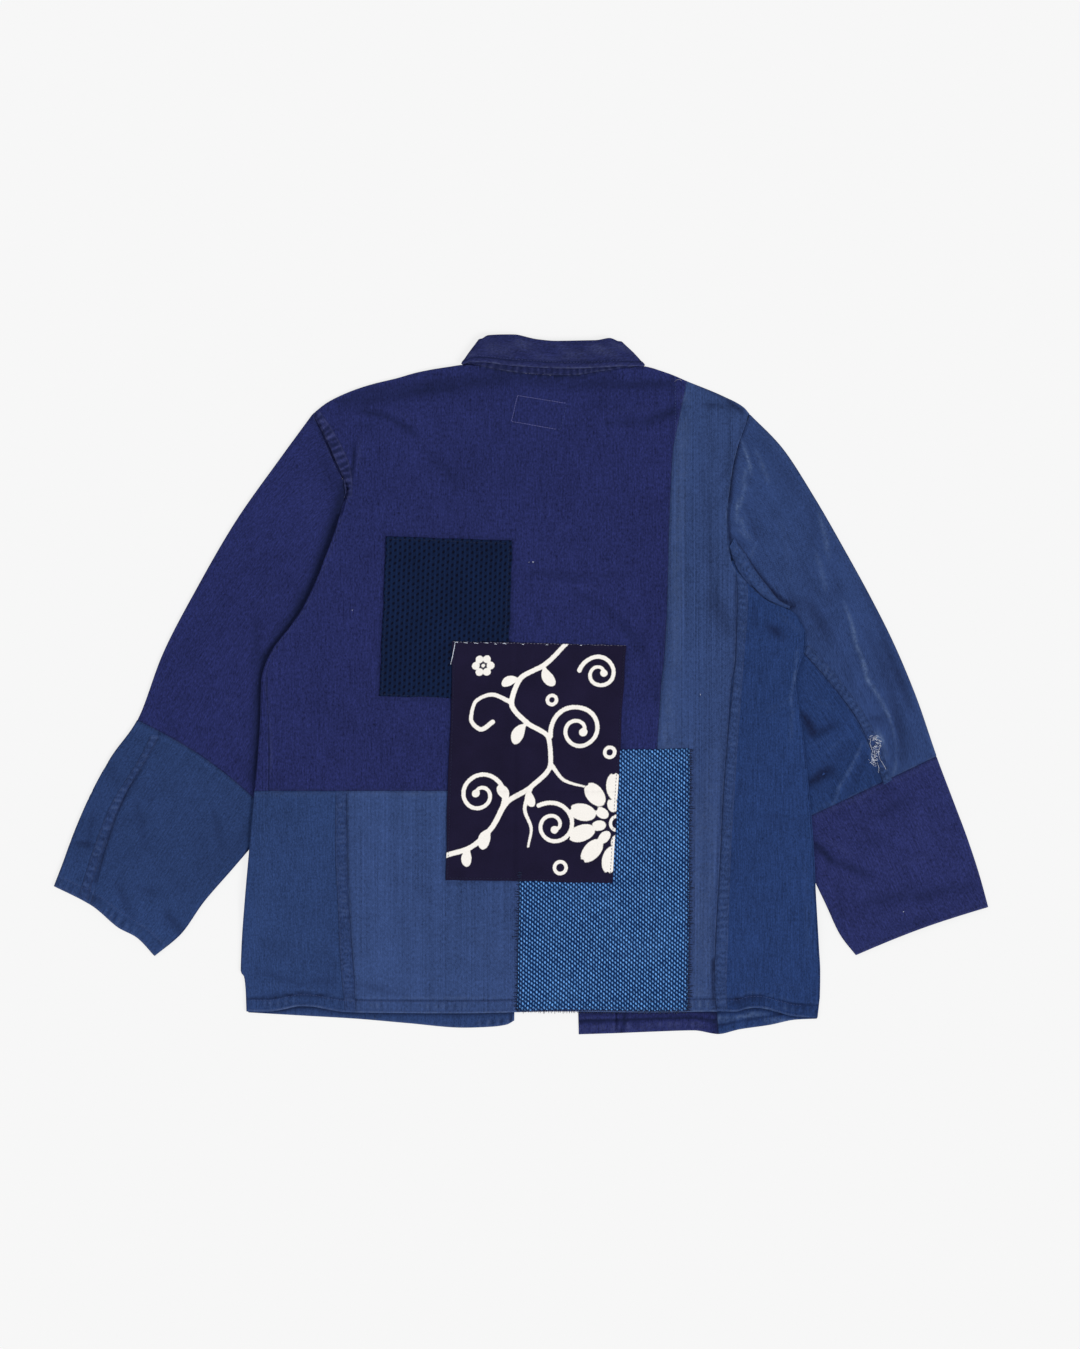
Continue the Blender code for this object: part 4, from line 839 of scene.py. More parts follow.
def front_tint(x, y, panel=False):
    """The fronts show only below the back's hem, darkened there by a painted shadow
    of the hem; painted shade lines mark their stitching grooves and seam edges, and
    their hem puckers carry painted light and shade.  panel is the side panel, whose
    edge lies under the purple front's."""
    h = hem_back(x) - y
    g = y - hem_front(x)
    t = -0.75 * np.exp(-(np.maximum(h, 0) / 3.4) ** 2) * (h > -6)
    t = t + 0.22 * np.exp(-((g - 0.6) / 1.3) ** 2)
    left = 1 - sstep((x - 0) / 10)
    ladder = np.cos(x * 0.70 + 1.2 * np.sin(x * 0.10))
    t = t + left * (0.55 * ladder - 0.16) * (0.55 + 0.65 * sstep((x + 60) / 40)) * np.exp(-((g - 5) / 3.5) ** 2) * sstep((x + 66) / 20)
    t = t + left * 0.12 * ladder * np.exp(-((g - 3) / 3.0) ** 2)
    right = sstep((x - 30) / 10)
    front = 0.0 if panel else 1.0
    t = t - right * front * 1.50 * np.exp(-((g - 14.0) / 1.7) ** 2)
    t = t + right * front * 0.28 * np.exp(-((g - 7.0) / 4.0) ** 2) + right * front * 0.20 * np.exp(-((g - 17.6) / 2.0) ** 2)
    t = t + right * 0.16 * ladder * np.exp(-((g - 6) / 4) ** 2)
    t = t - right * 0.30 * np.exp(-((x - 128.0 + 0.25 * g) / 1.5) ** 2) + right * 0.20 * np.exp(-((x - 118.0) / 3.5) ** 2)
    t = t - front * 1.30 * np.exp(-((x - 216.5) / 3.4) ** 2) - front * 0.30 * np.exp(-((x - 208.0) / 6.0) ** 2)
    t = t - 1.10 * np.exp(-((x - 110.5 - 0.2 * g) / 2.0) ** 2)
    # beyond the seam the side panel's hem turning shows, paler above its stitching, with a painted shade line in the
    # stitching groove
    side = 1.0 - front
    t = t + side * 0.50 * np.exp(-((h - 8) / 5) ** 2) - side * 0.90 * np.exp(-((g - 9.5) / 1.5) ** 2)
    return t * (h > -6)


def tints(grid, on="back"):
    """Tint at a grid's points; only the layer that faces up is tinted."""
    x, y = grid[..., 0], grid[..., 1]
    return back_tint(x, y) if on == "back" else tinted(on, x, y)


def mid_layer(layer, R, U):
    X, Y = plan(layer, R, U)
    Z = back_z(X, Y) if layer == "back" else front_z(X, Y)
    return np.stack([X, Y, Z], 2)


def side_fold(R, which, n):
    """Points of a side fold on each row, from the back layer to the front."""
    col = COL[which]
    X, Y = plan("back", R, [col])
    x, y = X[:, 0], Y[:, 0]
    tx, ty = np.gradient(x), np.gradient(y)
    ln = np.hypot(tx, ty)
    tx, ty = tx / ln, ty / ln
    sgn = -1 if which == "left" else 1
    ox, oy = ty, -tx
    flip = np.where(ox * sgn > 0, 1.0, -1.0)
    ox, oy = ox * flip, oy * flip
    g = air(x, y)
    z0 = lift(x, y) + WALL + g / 2
    rad, reach = (g + WALL) / 2, g / 2 + WALL
    inner = x - sgn * 3.0
    det = back_detail(inner, y)
    pts = []
    for k in range(n + 1):
        a = math.pi * k / n
        s, c = math.sin(a), math.cos(a)
        pts.append(np.stack([x + ox * (rad * s - reach), y + oy * (rad * s - reach),
                             z0 + rad * c + det * (0.5 + 0.5 * c)], 1))
    return np.stack(pts, 1)


def cloth_uv(mid):
    """Lengths along the grid's rows and columns, so that a weave isn't stretched."""
    ni, nj = mid.shape[:2]
    c = nj // 2
    u = np.zeros((ni, nj))
    d = np.linalg.norm(np.diff(mid, axis=1), axis=2)
    u[:, 1:] = np.cumsum(d, axis=1)
    u -= u[:, c:c + 1]
    v = np.zeros((ni, nj))
    d = np.linalg.norm(np.diff(mid, axis=0), axis=2)
    v[1:] = np.cumsum(d, axis=0)
    return np.stack([u, -v], 2)


def build_body(M):
    S, L = STEP, STEP_LOW
    out = {}
    # back
    R = rows_y(Y_TOP, WAIST, S, top=True)
    g = mid_layer("back", R, col_range("seam", "strip", S))
    out["back_main"] = shell("cloth_back_main", g, M["cotton_purple"], tint=tints(g))
    R = rows_y(WAIST, Y_LOW, S, hem=True)
    g = mid_layer("back", R, col_range("low", "strip", S))
    out["back_lower"] = shell("cloth_back_lower", g, M["herringbone_blue"], tint=tints(g))
    R = rows_y(Y_TOP, Y_LOW, S, top=True, hem=True)
    g = mid_layer("back", R, col_range("strip", "side", S))
    out["back_right"] = shell("cloth_back_right", g, M["herringbone_strip"], tint=tints(g))
    # fronts below
    R = rows_y(Y_TOP, Y_LOW, L, top=True, hem=True)
    g = mid_layer("front", R, col_range("front_r", "side", 3.6))
    out["front_right_centre"] = shell("cloth_front_right_centre", g, M["cotton_purple"],
                                      tint=front_tint(g[..., 0], g[..., 1]))
    # left front, upper: wraps round the side fold below y = 186
    R = rows_y(Y_TOP, WAIST, 5.0, top=True)
    Ub = col_range("seam", "left", 1.5)[:-1]
    back = mid_layer("back", R, Ub)
    fold = side_fold(R, "left", 8)
    Uf = col_range("left", "front_l", L)[1:]
    front = mid_layer("front", R, Uf)
    is_fold = np.array([k == "y" and v <= FOLD_TOP_L + 1e-6 for k, v in R])
    start = mid_layer("front", R, [0.0])
    fold[~is_fold] = start[~is_fold]
    grid = np.concatenate([back, fold, front], 1)
    nb = back.shape[1] + 8
    mask = np.ones((len(R) - 1, grid.shape[1] - 1), bool)
    mask[:, :nb] = (is_fold[:-1] & is_fold[1:])[:, None]
    out["front_left_upper"] = shell("cloth_front_left_upper", grid, M["cotton_purple"], mask=mask)
    # left front, lower: from the felled seam on the back round to the front edge
    R = rows_y(WAIST, Y_LOW, S, hem=True)
    back = mid_layer("back", R, col_range("low", "left", S)[:-1])
    fold = side_fold(R, "left", 8)
    front = mid_layer("front", R, col_range("left", "front_l", 4.0)[1:])
    g = np.concatenate([back, fold, front], 1)
    t = tints(g)
    t[:, back.shape[1] + 4:] = front_tint(g[:, back.shape[1] + 4:, 0], g[:, back.shape[1] + 4:, 1])
    out["front_left_lower"] = shell("cloth_front_left_lower", g, M["twill_blue"], tint=t)
    # right side: from the felled seam on the back round to the seam below
    R = rows_y(FOLD_TOP_R, Y_LOW, S, hem=True)
    back = mid_layer("back", R, col_range("side", "right", S, y=-40.0)[:-1])
    fold = side_fold(R, "right", 8)
    front = mid_layer("front", R, col_range("right", "side", 3.8, y=-40.0)[1:])
    g = np.concatenate([back, fold, front], 1)
    t = tints(g)
    t[:, back.shape[1] + 4:] = front_tint(g[:, back.shape[1] + 4:, 0], g[:, back.shape[1] + 4:, 1], panel=True)
    out["front_right_side"] = shell("cloth_front_right_side", g, M["twill_side"], tint=t)
    for k, ob in out.items():
        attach(ob, "root")
        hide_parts(k)
    return out


# ---------------------------------------------------------------- the sleeves
def sleeve_tools(table, path, side):
    n = len(table["out_x"])
    idx = np.arange(n, dtype=float)
    f = {c: pchip(idx, table[c]) for c in table}
    o = np.array([table["out_x"][0], table["out_y"][0]])
    q = np.array([table["in_x"][0], table["in_y"][0]])
    ax = q - o
    # dense armhole path: on the body's own edge
    edge = line["left"] if side == "left" else line["side"]
    y_end = path[-1][1]
    ys = np.linspace(262, y_end, 30)
    pts = [np.array(path[0], float)] + [np.array([float(edge(y)), y]) for y in ys]
    pts = np.array(pts)
    w = (pts - o) @ ax / (ax @ ax)
    w_end = w[-1]
    pts = np.vstack([pts, q])
    w = np.append(w, 1.0)
    return f, o, q, ax, pts, w, w_end


def sleeve(table, path, side, V, W, n_fold=8):
    """Upper layer, folds and lower layer of a sleeve.

    V are row numbers and W(v) the widths across the upper layer from the outer
    fold (0) to the inner fold (1).  Returns a dict of point grids.
    """
    f, o0, q0, ax0, arm, arm_w, w_end = sleeve_tools(table, path, side)
    top, outer, inner, low = [], [], [], []
    tt = {"top": [], "outer": [], "inner": [], "low": []}
    for v in V:
        o = np.array([f["out_x"](v), f["out_y"](v)])
        q = np.array([f["in_x"](v), f["in_y"](v)])
        axis = q - o
        up = np.array([-axis[1], axis[0]]) / np.linalg.norm(axis)
        if up[1] < 0:
            up = -up
        wt, wl = W(v)
        fade = max(0.0, 1 - v)

        def place(w):
            w = np.asarray(w, float)
            p = o + w[:, None] * axis + (f["bow"](v) * np.sin(np.pi * w))[:, None] * up
            if side == "left" and v > 8.6:
                # the left cuff's edge runs in waves
                p = p + (CUFF_WAVE(w) * sstep((v - 8.6) / 1.3))[:, None] * up
            if fade > 0:
                base = o0 + w[:, None] * ax0
                on = np.stack([np.interp(w, arm_w, arm[:, 0]), np.interp(w, arm_w, arm[:, 1])], 1)
                p = p + (on - base) * fade
            return p

        def gap(w):
            w = np.asarray(w, float)
            c = max(float(f["cover"](v)), 0.05)
            span = c - 0.07 if c < 1 else c
            g = 0.8 + f["puff"](v) * np.sin(np.pi * np.clip(w / span, 0, 1))
            if fade > 0:
                first = np.where((w > 0) & (w < w_end - 0.02), SIDE_AIR, 0.8)
                first = np.where(w <= 0, SHOULDER_AIR, first)
                g = g * (1 - fade) + first * fade
            return g

        p = place(wt)
        g = gap(wt)
        z = WALL * 1.5 + g
        cover = float(f["cover"](v))
        open_top = 1 - sstep((wt - (cover - 0.10)) / 0.08) if cover < 0.99 else np.ones(len(wt))
        det = sleeve_detail(side, p[:, 0], p[:, 1], v, wt, f)
        edge = np.minimum(wt, 1 - wt) * np.linalg.norm(axis)
        z = z + det * open_top * sstep((edge + 2) / 8)
        top.append(np.column_stack([p, z]))
        tt["top"].append(sleeve_tint(side, p[:, 0], p[:, 1], v, wt, f))
        tt["low"].append(np.zeros(len(wl)))
        pl = place(wl)
        low.append(np.column_stack([pl, np.full(len(wl), WALL / 2)]))
        for arr, w0, w1, sgn in ((outer, 0.0, 0.01, -1), (inner, 1.0, 0.99, 1)):
            e = place([w0, w1])
            d = e[0] - e[1]
            d = d / np.linalg.norm(d)
            g0 = float(gap([w0])[0])
            rad, reach = (g0 + WALL) / 2, g0 / 2 + WALL
            dz = float(sleeve_detail(side, e[:1, 0], e[:1, 1], v, np.array([w0]), f)[0]) * sstep(2 / 8)
            dz *= float(open_top[0 if w0 == 0 else -1])
            ring = []
            t0 = float(sleeve_tint(side, e[:1, 0], e[:1, 1], v, np.array([w0]), f)[0])
            k_up = np.linspace(0, 1, n_fold + 1) if sgn == -1 else np.linspace(1, 0, n_fold + 1)
            tt["outer" if sgn == -1 else "inner"].append(t0 * k_up)
            for k in range(n_fold + 1):
                a = math.pi * k / n_fold
                b = a if sgn == 1 else math.pi - a
                c = e[0] + d * (rad * math.sin(b) - reach)
                ring.append((c[0], c[1], WALL + g0 / 2 + rad * math.cos(b) + dz * (0.5 + 0.5 * math.cos(b))))
            arr.append(ring)
    # outer runs from below to above, inner from above to below
    return dict(top=np.array(top), outer=np.array(outer), inner=np.array(inner),
                low=np.array(low)[:, ::-1], **{"tint_" + k: np.array(t) for k, t in tt.items()})


def sleeve_detail(side, x, y, v, w, f):
    z = creases(side, x, y)
    z = z + 0.35 * ripple(x, y, 80, 11 if side == "left" else 12) + 0.10 * ripple(x, y, 24, 13)
    n = 10.0 if side == "left" else 11.0
    wide = np.hypot(f["in_x"](v) - f["out_x"](v), f["in_y"](v) - f["out_y"](v))
    s = float(f["seam"](v))
    if (side == "left" and v > 5) or side == "right":
        d = (w - s) * wide
        z = z - 0.3 * np.exp(-(d / 1.8) ** 2)
    # hem at the cuff
    rowlen = 40.0
    h = (n - v) * rowlen
    turn = 15.0 if side == "left" else 5.0
    z = z + 0.5 * (1 - sstep((h - turn) / 1.5)) - 0.35 * np.exp(-((h - turn - 1.2) / 1.2) ** 2)
    # the cloth eased into the armhole
    a = v * 75.0
    z = z + 0.2 * np.sin(w * 270 + 1.2 * np.sin(w * 60)) * np.exp(-((a - 6) / 6) ** 2)
    # panel seam across the sleeve
    e = (v - (5 if side == "left" else 7)) * 50.0
    z = z - 0.32 * np.exp(-(e / 1.7) ** 2) + 0.35 * sstep((e - 0.5) / 1.5) * (1 - sstep((e - 7) / 3))
    return z


def v_stations(v0, v1, step, table):
    """Row numbers from v0 to v1, about `step` mm apart."""
    out = []
    n = len(table["out_x"])
    for k in range(int(v0), int(v1)):
        m = max(1, int(round(np.hypot(
            (table["out_x"][k + 1] - table["out_x"][k] + table["in_x"][k + 1] - table["in_x"][k]) / 2,
            (table["out_y"][k + 1] - table["out_y"][k] + table["in_y"][k + 1] - table["in_y"][k]) / 2) / step)))
        out += [k + j / m for j in range(m)]
    out.append(float(v1))
    return [out[0], out[0] + 0.018] + out[1:-1] + [out[-1] - 0.022, out[-1]]


def sleeve_tint(side, x, y, v, w, f):
    """Worn and painted highlight places, and painted shade, on the upper layer of a sleeve."""
    t = tinted(side, x, y)
    n = 10.0 if side == "left" else 11.0
    wide = np.hypot(f["in_x"](v) - f["out_x"](v), f["in_y"](v) - f["out_y"](v))
    h = (n - v) * 40.0
    turn = 15.0 if side == "left" else 5.0
    along = w * wide
    # painted shade in the cuff hem's stitched groove, painted light and shade on its puckers, paler lines above the
    # groove and at the edge
    t = t - 0.58 * np.exp(-((h - turn - 1.0) / 1.3) ** 2)
    amp = (0.36 if side == "left" else 0.14) * (0.7 + 0.5 * np.sin(along * 0.071 + 2.0))
    t = t + amp * (np.cos(along * 0.76 + 1.7 * np.sin(along * 0.11)) - 0.25) * np.exp(-((h - turn * 0.50) / (turn * 0.42)) ** 2)
    t = t + 0.16 * np.exp(-((h - turn - 3.6) / 1.5) ** 2)
    t = t + 0.28 * np.exp(-((h - 0.4) / 1.2) ** 2)
    # painted shade in the groove of the panel seam across the sleeve, a painted highlight on the rise beside it
    e = (v - (5 if side == "left" else 7)) * 50.0
    t = t - 0.42 * np.exp(-(e / 1.5) ** 2) + 0.14 * np.exp(-((e - 4.5) / 2.5) ** 2)
    if side == "left" and v > 9.2:
        s0 = float(f["seam"](v))
        t = t - 0.5 * np.exp(-((h - turn * 0.7) / 7) ** 2) * np.exp(-((w - s0) * wide / 10) ** 2)
    if side == "left" and v > 5:
        t = t - 0.17 * (1 - sstep((v - 8.0) / 1.6))
    # painted shade along the edge of the felled seam, and a little beyond it
    if side == "right" and v < 7:
        t = t - 0.06 * sstep(((w - float(f["seam"](v))) * wide - 2) / 4)
        s0 = float(f["seam"](v))
        t = t - 0.40 * np.exp(-(((w - s0) * wide - 1.0) / 1.6) ** 2)
    # the outer folds are rubbed
    edge = np.minimum(w, 1 - w) * wide
    t = t + 0.10 * np.exp(-(edge / 2.5) ** 2)
    return t


def ring_shell(name, g, order, side, mat, closed=False):
    grid = np.concatenate([g[k] for k in order], 1)
    return shell(name, grid, mat, closed=closed, uv=cloth_uv(grid),
                 tint=np.concatenate([g["tint_" + k] for k in order], 1))


def build_sleeves(M):
    S, L = STEP, STEP_LOW
    out = {}
    # left, upper: a closed tube
    n_top, n_low = int(270 / S), int(270 / L)
    wt = np.linspace(0, 1, n_top + 1)[1:-1]
    wl = np.linspace(0, 1, n_low + 1)[1:-1]
    g = sleeve(LEFT_SLEEVE, ARMHOLE_L, "left", v_stations(0, 5, S, LEFT_SLEEVE), lambda v: (wt, wl))
    out["sleeve_left_upper"] = ring_shell("cloth_sleeve_left_upper", g, ('outer', 'top', 'inner', 'low'), "left", M["cotton_purple"], closed=True)
    # left, lower: two panels that meet at the felled seam
    seam = pchip(np.arange(11.0), LEFT_SLEEVE["seam"])

    def w_top(v):
        s = float(seam(max(v, 5)))
        return s + (1 - s) * spaced(0, 1, 1 / 55.0, 0.006)[:-1], np.linspace(0.73, 0.97, 9)

    g = sleeve(LEFT_SLEEVE, ARMHOLE_L, "left", v_stations(5, 10, S, LEFT_SLEEVE), w_top)
    out["sleeve_left_lower_top"] = ring_shell("cloth_sleeve_left_lower_top", g, ('top', 'inner', 'low'), "left", M["twill_blue"])

    def w_under(v):
        s = float(seam(max(v, 5)))
        return s * spaced(0, 1, 1 / 22.0, 0.02)[1:], np.linspace(0.02, 0.73, 26)

    g = sleeve(LEFT_SLEEVE, ARMHOLE_L, "left", v_stations(5, 10, S, LEFT_SLEEVE), w_under)
    out["sleeve_left_lower_under"] = ring_shell("cloth_sleeve_left_lower_under", g, ('low', 'outer', 'top'), "left", M["twill_blue"])
    # right: herringbone above the felled seam, twill below it, purple at the end
    seam_r = pchip(np.arange(12.0), RIGHT_SLEEVE["seam"])

    def w_up(v):
        s = float(seam_r(v))
        return s * spaced(0, 1, 1 / 45.0, 0.007)[1:], np.linspace(0.02, 0.60, 22)

    g = sleeve(RIGHT_SLEEVE, ARMHOLE_R, "right", v_stations(0, 7, S, RIGHT_SLEEVE), w_up)
    out["sleeve_right_upper"] = ring_shell("cloth_sleeve_right_upper", g, ('low', 'outer', 'top'), "right", M["herringbone_sleeve"])

    def w_un(v):
        s = float(seam_r(v))
        return s + (1 - s) * spaced(0, 1, 1 / 48.0, 0.006)[:-1], np.linspace(0.60, 0.98, 16)

    g = sleeve(RIGHT_SLEEVE, ARMHOLE_R, "right", v_stations(0, 7, S, RIGHT_SLEEVE), w_un)
    out["sleeve_right_under"] = ring_shell("cloth_sleeve_right_under", g, ('top', 'inner', 'low'), "right", M["twill_side"])
    n_top = int(215 / S)
    wt2 = np.linspace(0, 1, n_top + 1)[1:-1]
    wl2 = np.linspace(0, 1, 31)[1:-1]
    g = sleeve(RIGHT_SLEEVE, ARMHOLE_R, "right", v_stations(7, 11, S, RIGHT_SLEEVE), lambda v: (wt2, wl2))
    out["sleeve_right_cuff"] = ring_shell("cloth_sleeve_right_cuff", g, ('outer', 'top', 'inner', 'low'), "right", M["cuff_purple"], closed=True)
    for k, ob in out.items():
        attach(ob, "root")
        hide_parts(k)
    return out


# ------------------------------------------------------------------ the collar
def build_collar(M):
    low, high, half = 1.4, 5.3, 0.8
    mid_z, radius = (low + high) / 2, (high - low) / 2
    C = COLLAR

    def run(i0, i1):
        P = np.stack([np.stack([C["roll_x"][i0:i1], C["roll_y"][i0:i1]], 1),
                      np.stack([C["edge_x"][i0:i1], C["edge_y"][i0:i1]], 1),
                      np.stack([C["neck_x"][i0:i1], C["neck_y"][i0:i1]], 1)], 1)
        d = np.linalg.norm(np.diff(P.mean(1), axis=0), axis=1)
        t = np.concatenate([[0], np.cumsum(d)])
        n = max(4, int(round(t[-1] / 2.2)))
        T = spaced(0, t[-1], t[-1] / n)
        out = np.zeros((len(T), 3, 2))
        for a in range(3):
            for b in range(2):
                out[:, a, b] = pchip(t, P[:, a, b])(T)
        return out

    stations = []      # roll, edge, neck, z, normal, visible distance along
    sets = [(run(0, 4), low, -1), (run(4, 15), high, 1), (run(15, 19), low, -1)]
    along = 0.0
    for s, (P, z, up) in enumerate(sets):
        for k, (r, e, n) in enumerate(P):
            stations.append((r, e, n, z, np.array([0, 0, float(up)])))
        if s < 2:
            r, e, n = P[-1]
            ln = (r - e) / np.linalg.norm(r - e)
            out = np.array([-ln[1], ln[0]]) if r[0] < 30 else np.array([ln[1], -ln[0]])
            start = math.pi if up < 0 else 0.0
            end = math.pi - start
            for m in range(1, 9):
                t = start + (end - start) * m / 9
                sh = out * radius * math.sin(t)
                pull = ln * 2.8 * math.sin(t)
                stations.append((r + sh - pull, e + sh * 0.6, n + sh * 0.6, mid_z + radius * math.cos(t),
                                 np.array([out[0] * math.sin(t), out[1] * math.sin(t), math.cos(t)])))
    fall, stand, tint, tint_low = [], [], [], []
    s_along = 0.0
    last = None
    for r, e, n, z, nrm in stations:
        c3 = np.array([(r[0] + e[0]) / 2, (r[1] + e[1]) / 2, z])
        if last is not None:
            s_along += float(np.linalg.norm(c3 - last))
        last = c3
        o = (r - e) / np.linalg.norm(r - e)
        o3 = np.array([o[0], o[1], 0.0])
        R3, E3, K3 = (np.array([p[0], p[1], z]) for p in (r, e, n))
        L = np.linalg.norm(R3 - E3)
        row, shade = [], []
        for t in spaced(0, 1, 1 / 17.0, 0.025):
            d = t * L                        # in from the fall's edge
            # colour of the fall: a worn pale edge, painted shade in the stitch groove and next to the roll
            q = 0.26 * math.exp(-((d - 0.5) / 1.3) ** 2) - 0.90 * math.exp(-((d - 6.6) / 1.25) ** 2)
            q += 0.10 * math.sin(s_along * 0.85 + 0.7 * math.sin(s_along * 0.2)) * math.exp(-((d - 3.5) / 2.6) ** 2)
            q += (0.10 + 0.14 * math.sin(s_along * 0.11 + 2.0) * math.sin(d * 0.23 + s_along * 0.05)) * (d > 7.5)
            q -= 0.22 * math.exp(-((L - d) / 2.5) ** 2)
            shade.append(q * (1 if nrm[2] > 0.5 else 0.3))
            up = half + 0.28 * (1 - sstep((d - 5.2) / 1.2)) * sstep(d / 1.5)
            up -= 0.30 * math.exp(-((d - 6.0) / 0.9) ** 2)
            up += 0.10 * math.sin(s_along * 0.9 + 0.5 * math.sin(s_along * 0.23)) * math.exp(-((d - 4) / 3) ** 2)
            up += 0.55 * math.sin(math.pi * min(1, d / L)) ** 2 * (0.6 + 0.4 * math.sin(s_along * 0.045 + 1.0))
            row.append(E3 + (R3 - E3) * t + nrm * up)
        for k in range(1, 8):
            a = math.pi * k / 7
            row.append(R3 + nrm * half * math.cos(a) + o3 * half * math.sin(a))
            # painted highlight over the roll
            shade.append(0.12 * math.sin(a))
        inside = R3 - o3 * 3 - nrm * half
        row.append(inside)
        shade.append(0.0)
        fall.append(row)
        tint.append(shade)
        kk = K3 - nrm * half
        stand.append([inside + (kk - inside) * t for t in np.linspace(0, 1, 13)])
        # painted light and shade on the stand's puckers, where it faces up
        pk = math.cos(s_along * 0.93 + 0.9 * math.sin(s_along * 0.13))
        tint_low.append([(0.52 * pk - 0.30) * float(sstep((t - 0.5) / 0.2)) if nrm[2] > 0.5 else 0.0
                         for t in np.linspace(0, 1, 13)])
    fall, stand = np.array(fall), np.array(stand)
    a = shell("cloth_collar_fall", fall, M["collar_purple"], thick=1.15, uv=cloth_uv(fall),
              tint=np.array(tint))
    b = shell("cloth_collar_stand", stand, M["collar_purple"], thick=1.1, uv=cloth_uv(stand),
              tint=np.array(tint_low))
    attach(a, "root")
    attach(b, "root")
    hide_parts("collar_fall")
    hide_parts("collar_stand")
    return {"collar_fall": a, "collar_stand": b}


# ----------------------------------------------------------------- the patches
def quad_dist(x, y, quad):
    """Signed distance past the quad's edges, below 0 inside."""
    cx, cy = sum(p[0] for p in quad) / 4, sum(p[1] for p in quad) / 4
    best = np.full(np.shape(x), -1e9)
    for a, b in zip(quad, quad[1:] + quad[:1]):
        nx, ny = b[1] - a[1], -(b[0] - a[0])
        ln = math.hypot(nx, ny)
        nx, ny = nx / ln, ny / ln
        if (cx - a[0]) * nx + (cy - a[1]) * ny > 0:
            nx, ny = -nx, -ny
        best = np.maximum(best, (x - a[0]) * nx + (y - a[1]) * ny)
    return best


def patch_plan(quad, step, bulge=None):
    """A quad's plan grid; bulge(s, t) moves points, in mm."""
    a, b, c, d = (np.array(p, float) for p in quad)
    wide = (np.linalg.norm(b - a) + np.linalg.norm(c - d)) / 2
    tall = (np.linalg.norm(d - a) + np.linalg.norm(c - b)) / 2
    s = spaced(0, 1, step / wide, 0.7 / wide)
    t = spaced(0, 1, step / tall, 0.7 / tall)
    T, S = np.meshgrid(t, s, indexing="ij")
    P = ((1 - T)[..., None] * ((1 - S)[..., None] * a + S[..., None] * b)
         + T[..., None] * ((1 - S)[..., None] * d + S[..., None] * c))
    if bulge is not None:
        P = P + bulge(S, T)
    return P[..., 0], P[..., 1], S * wide, T * tall, wide, tall


def patch_z(x, y, over=(), flat=0.25):
    """Middle of a patch's wall on the back, rising over other patches."""
    z = back_z(x, y) + WALL / 2 + flat + PATCH / 2
    up = np.zeros(np.shape(x))
    for o in over:
        up = np.maximum(up, (PATCH + flat) * sstep((9.0 - quad_dist(x, y, o)) / 7.5))
    return z + up


def wobble(s, amp, seed):
    """An uneven edge: a slow bend and a short one."""
    rng = np.random.RandomState(seed)
    z = np.zeros(np.shape(s))
    for k in range(1, 7):
        z = z + rng.uniform(-1, 1) * np.sin(s * math.pi * 2 * k * rng.uniform(0.8, 1.3)
                                            + rng.uniform(0, 6.28)) / k ** 0.7
    return amp * z


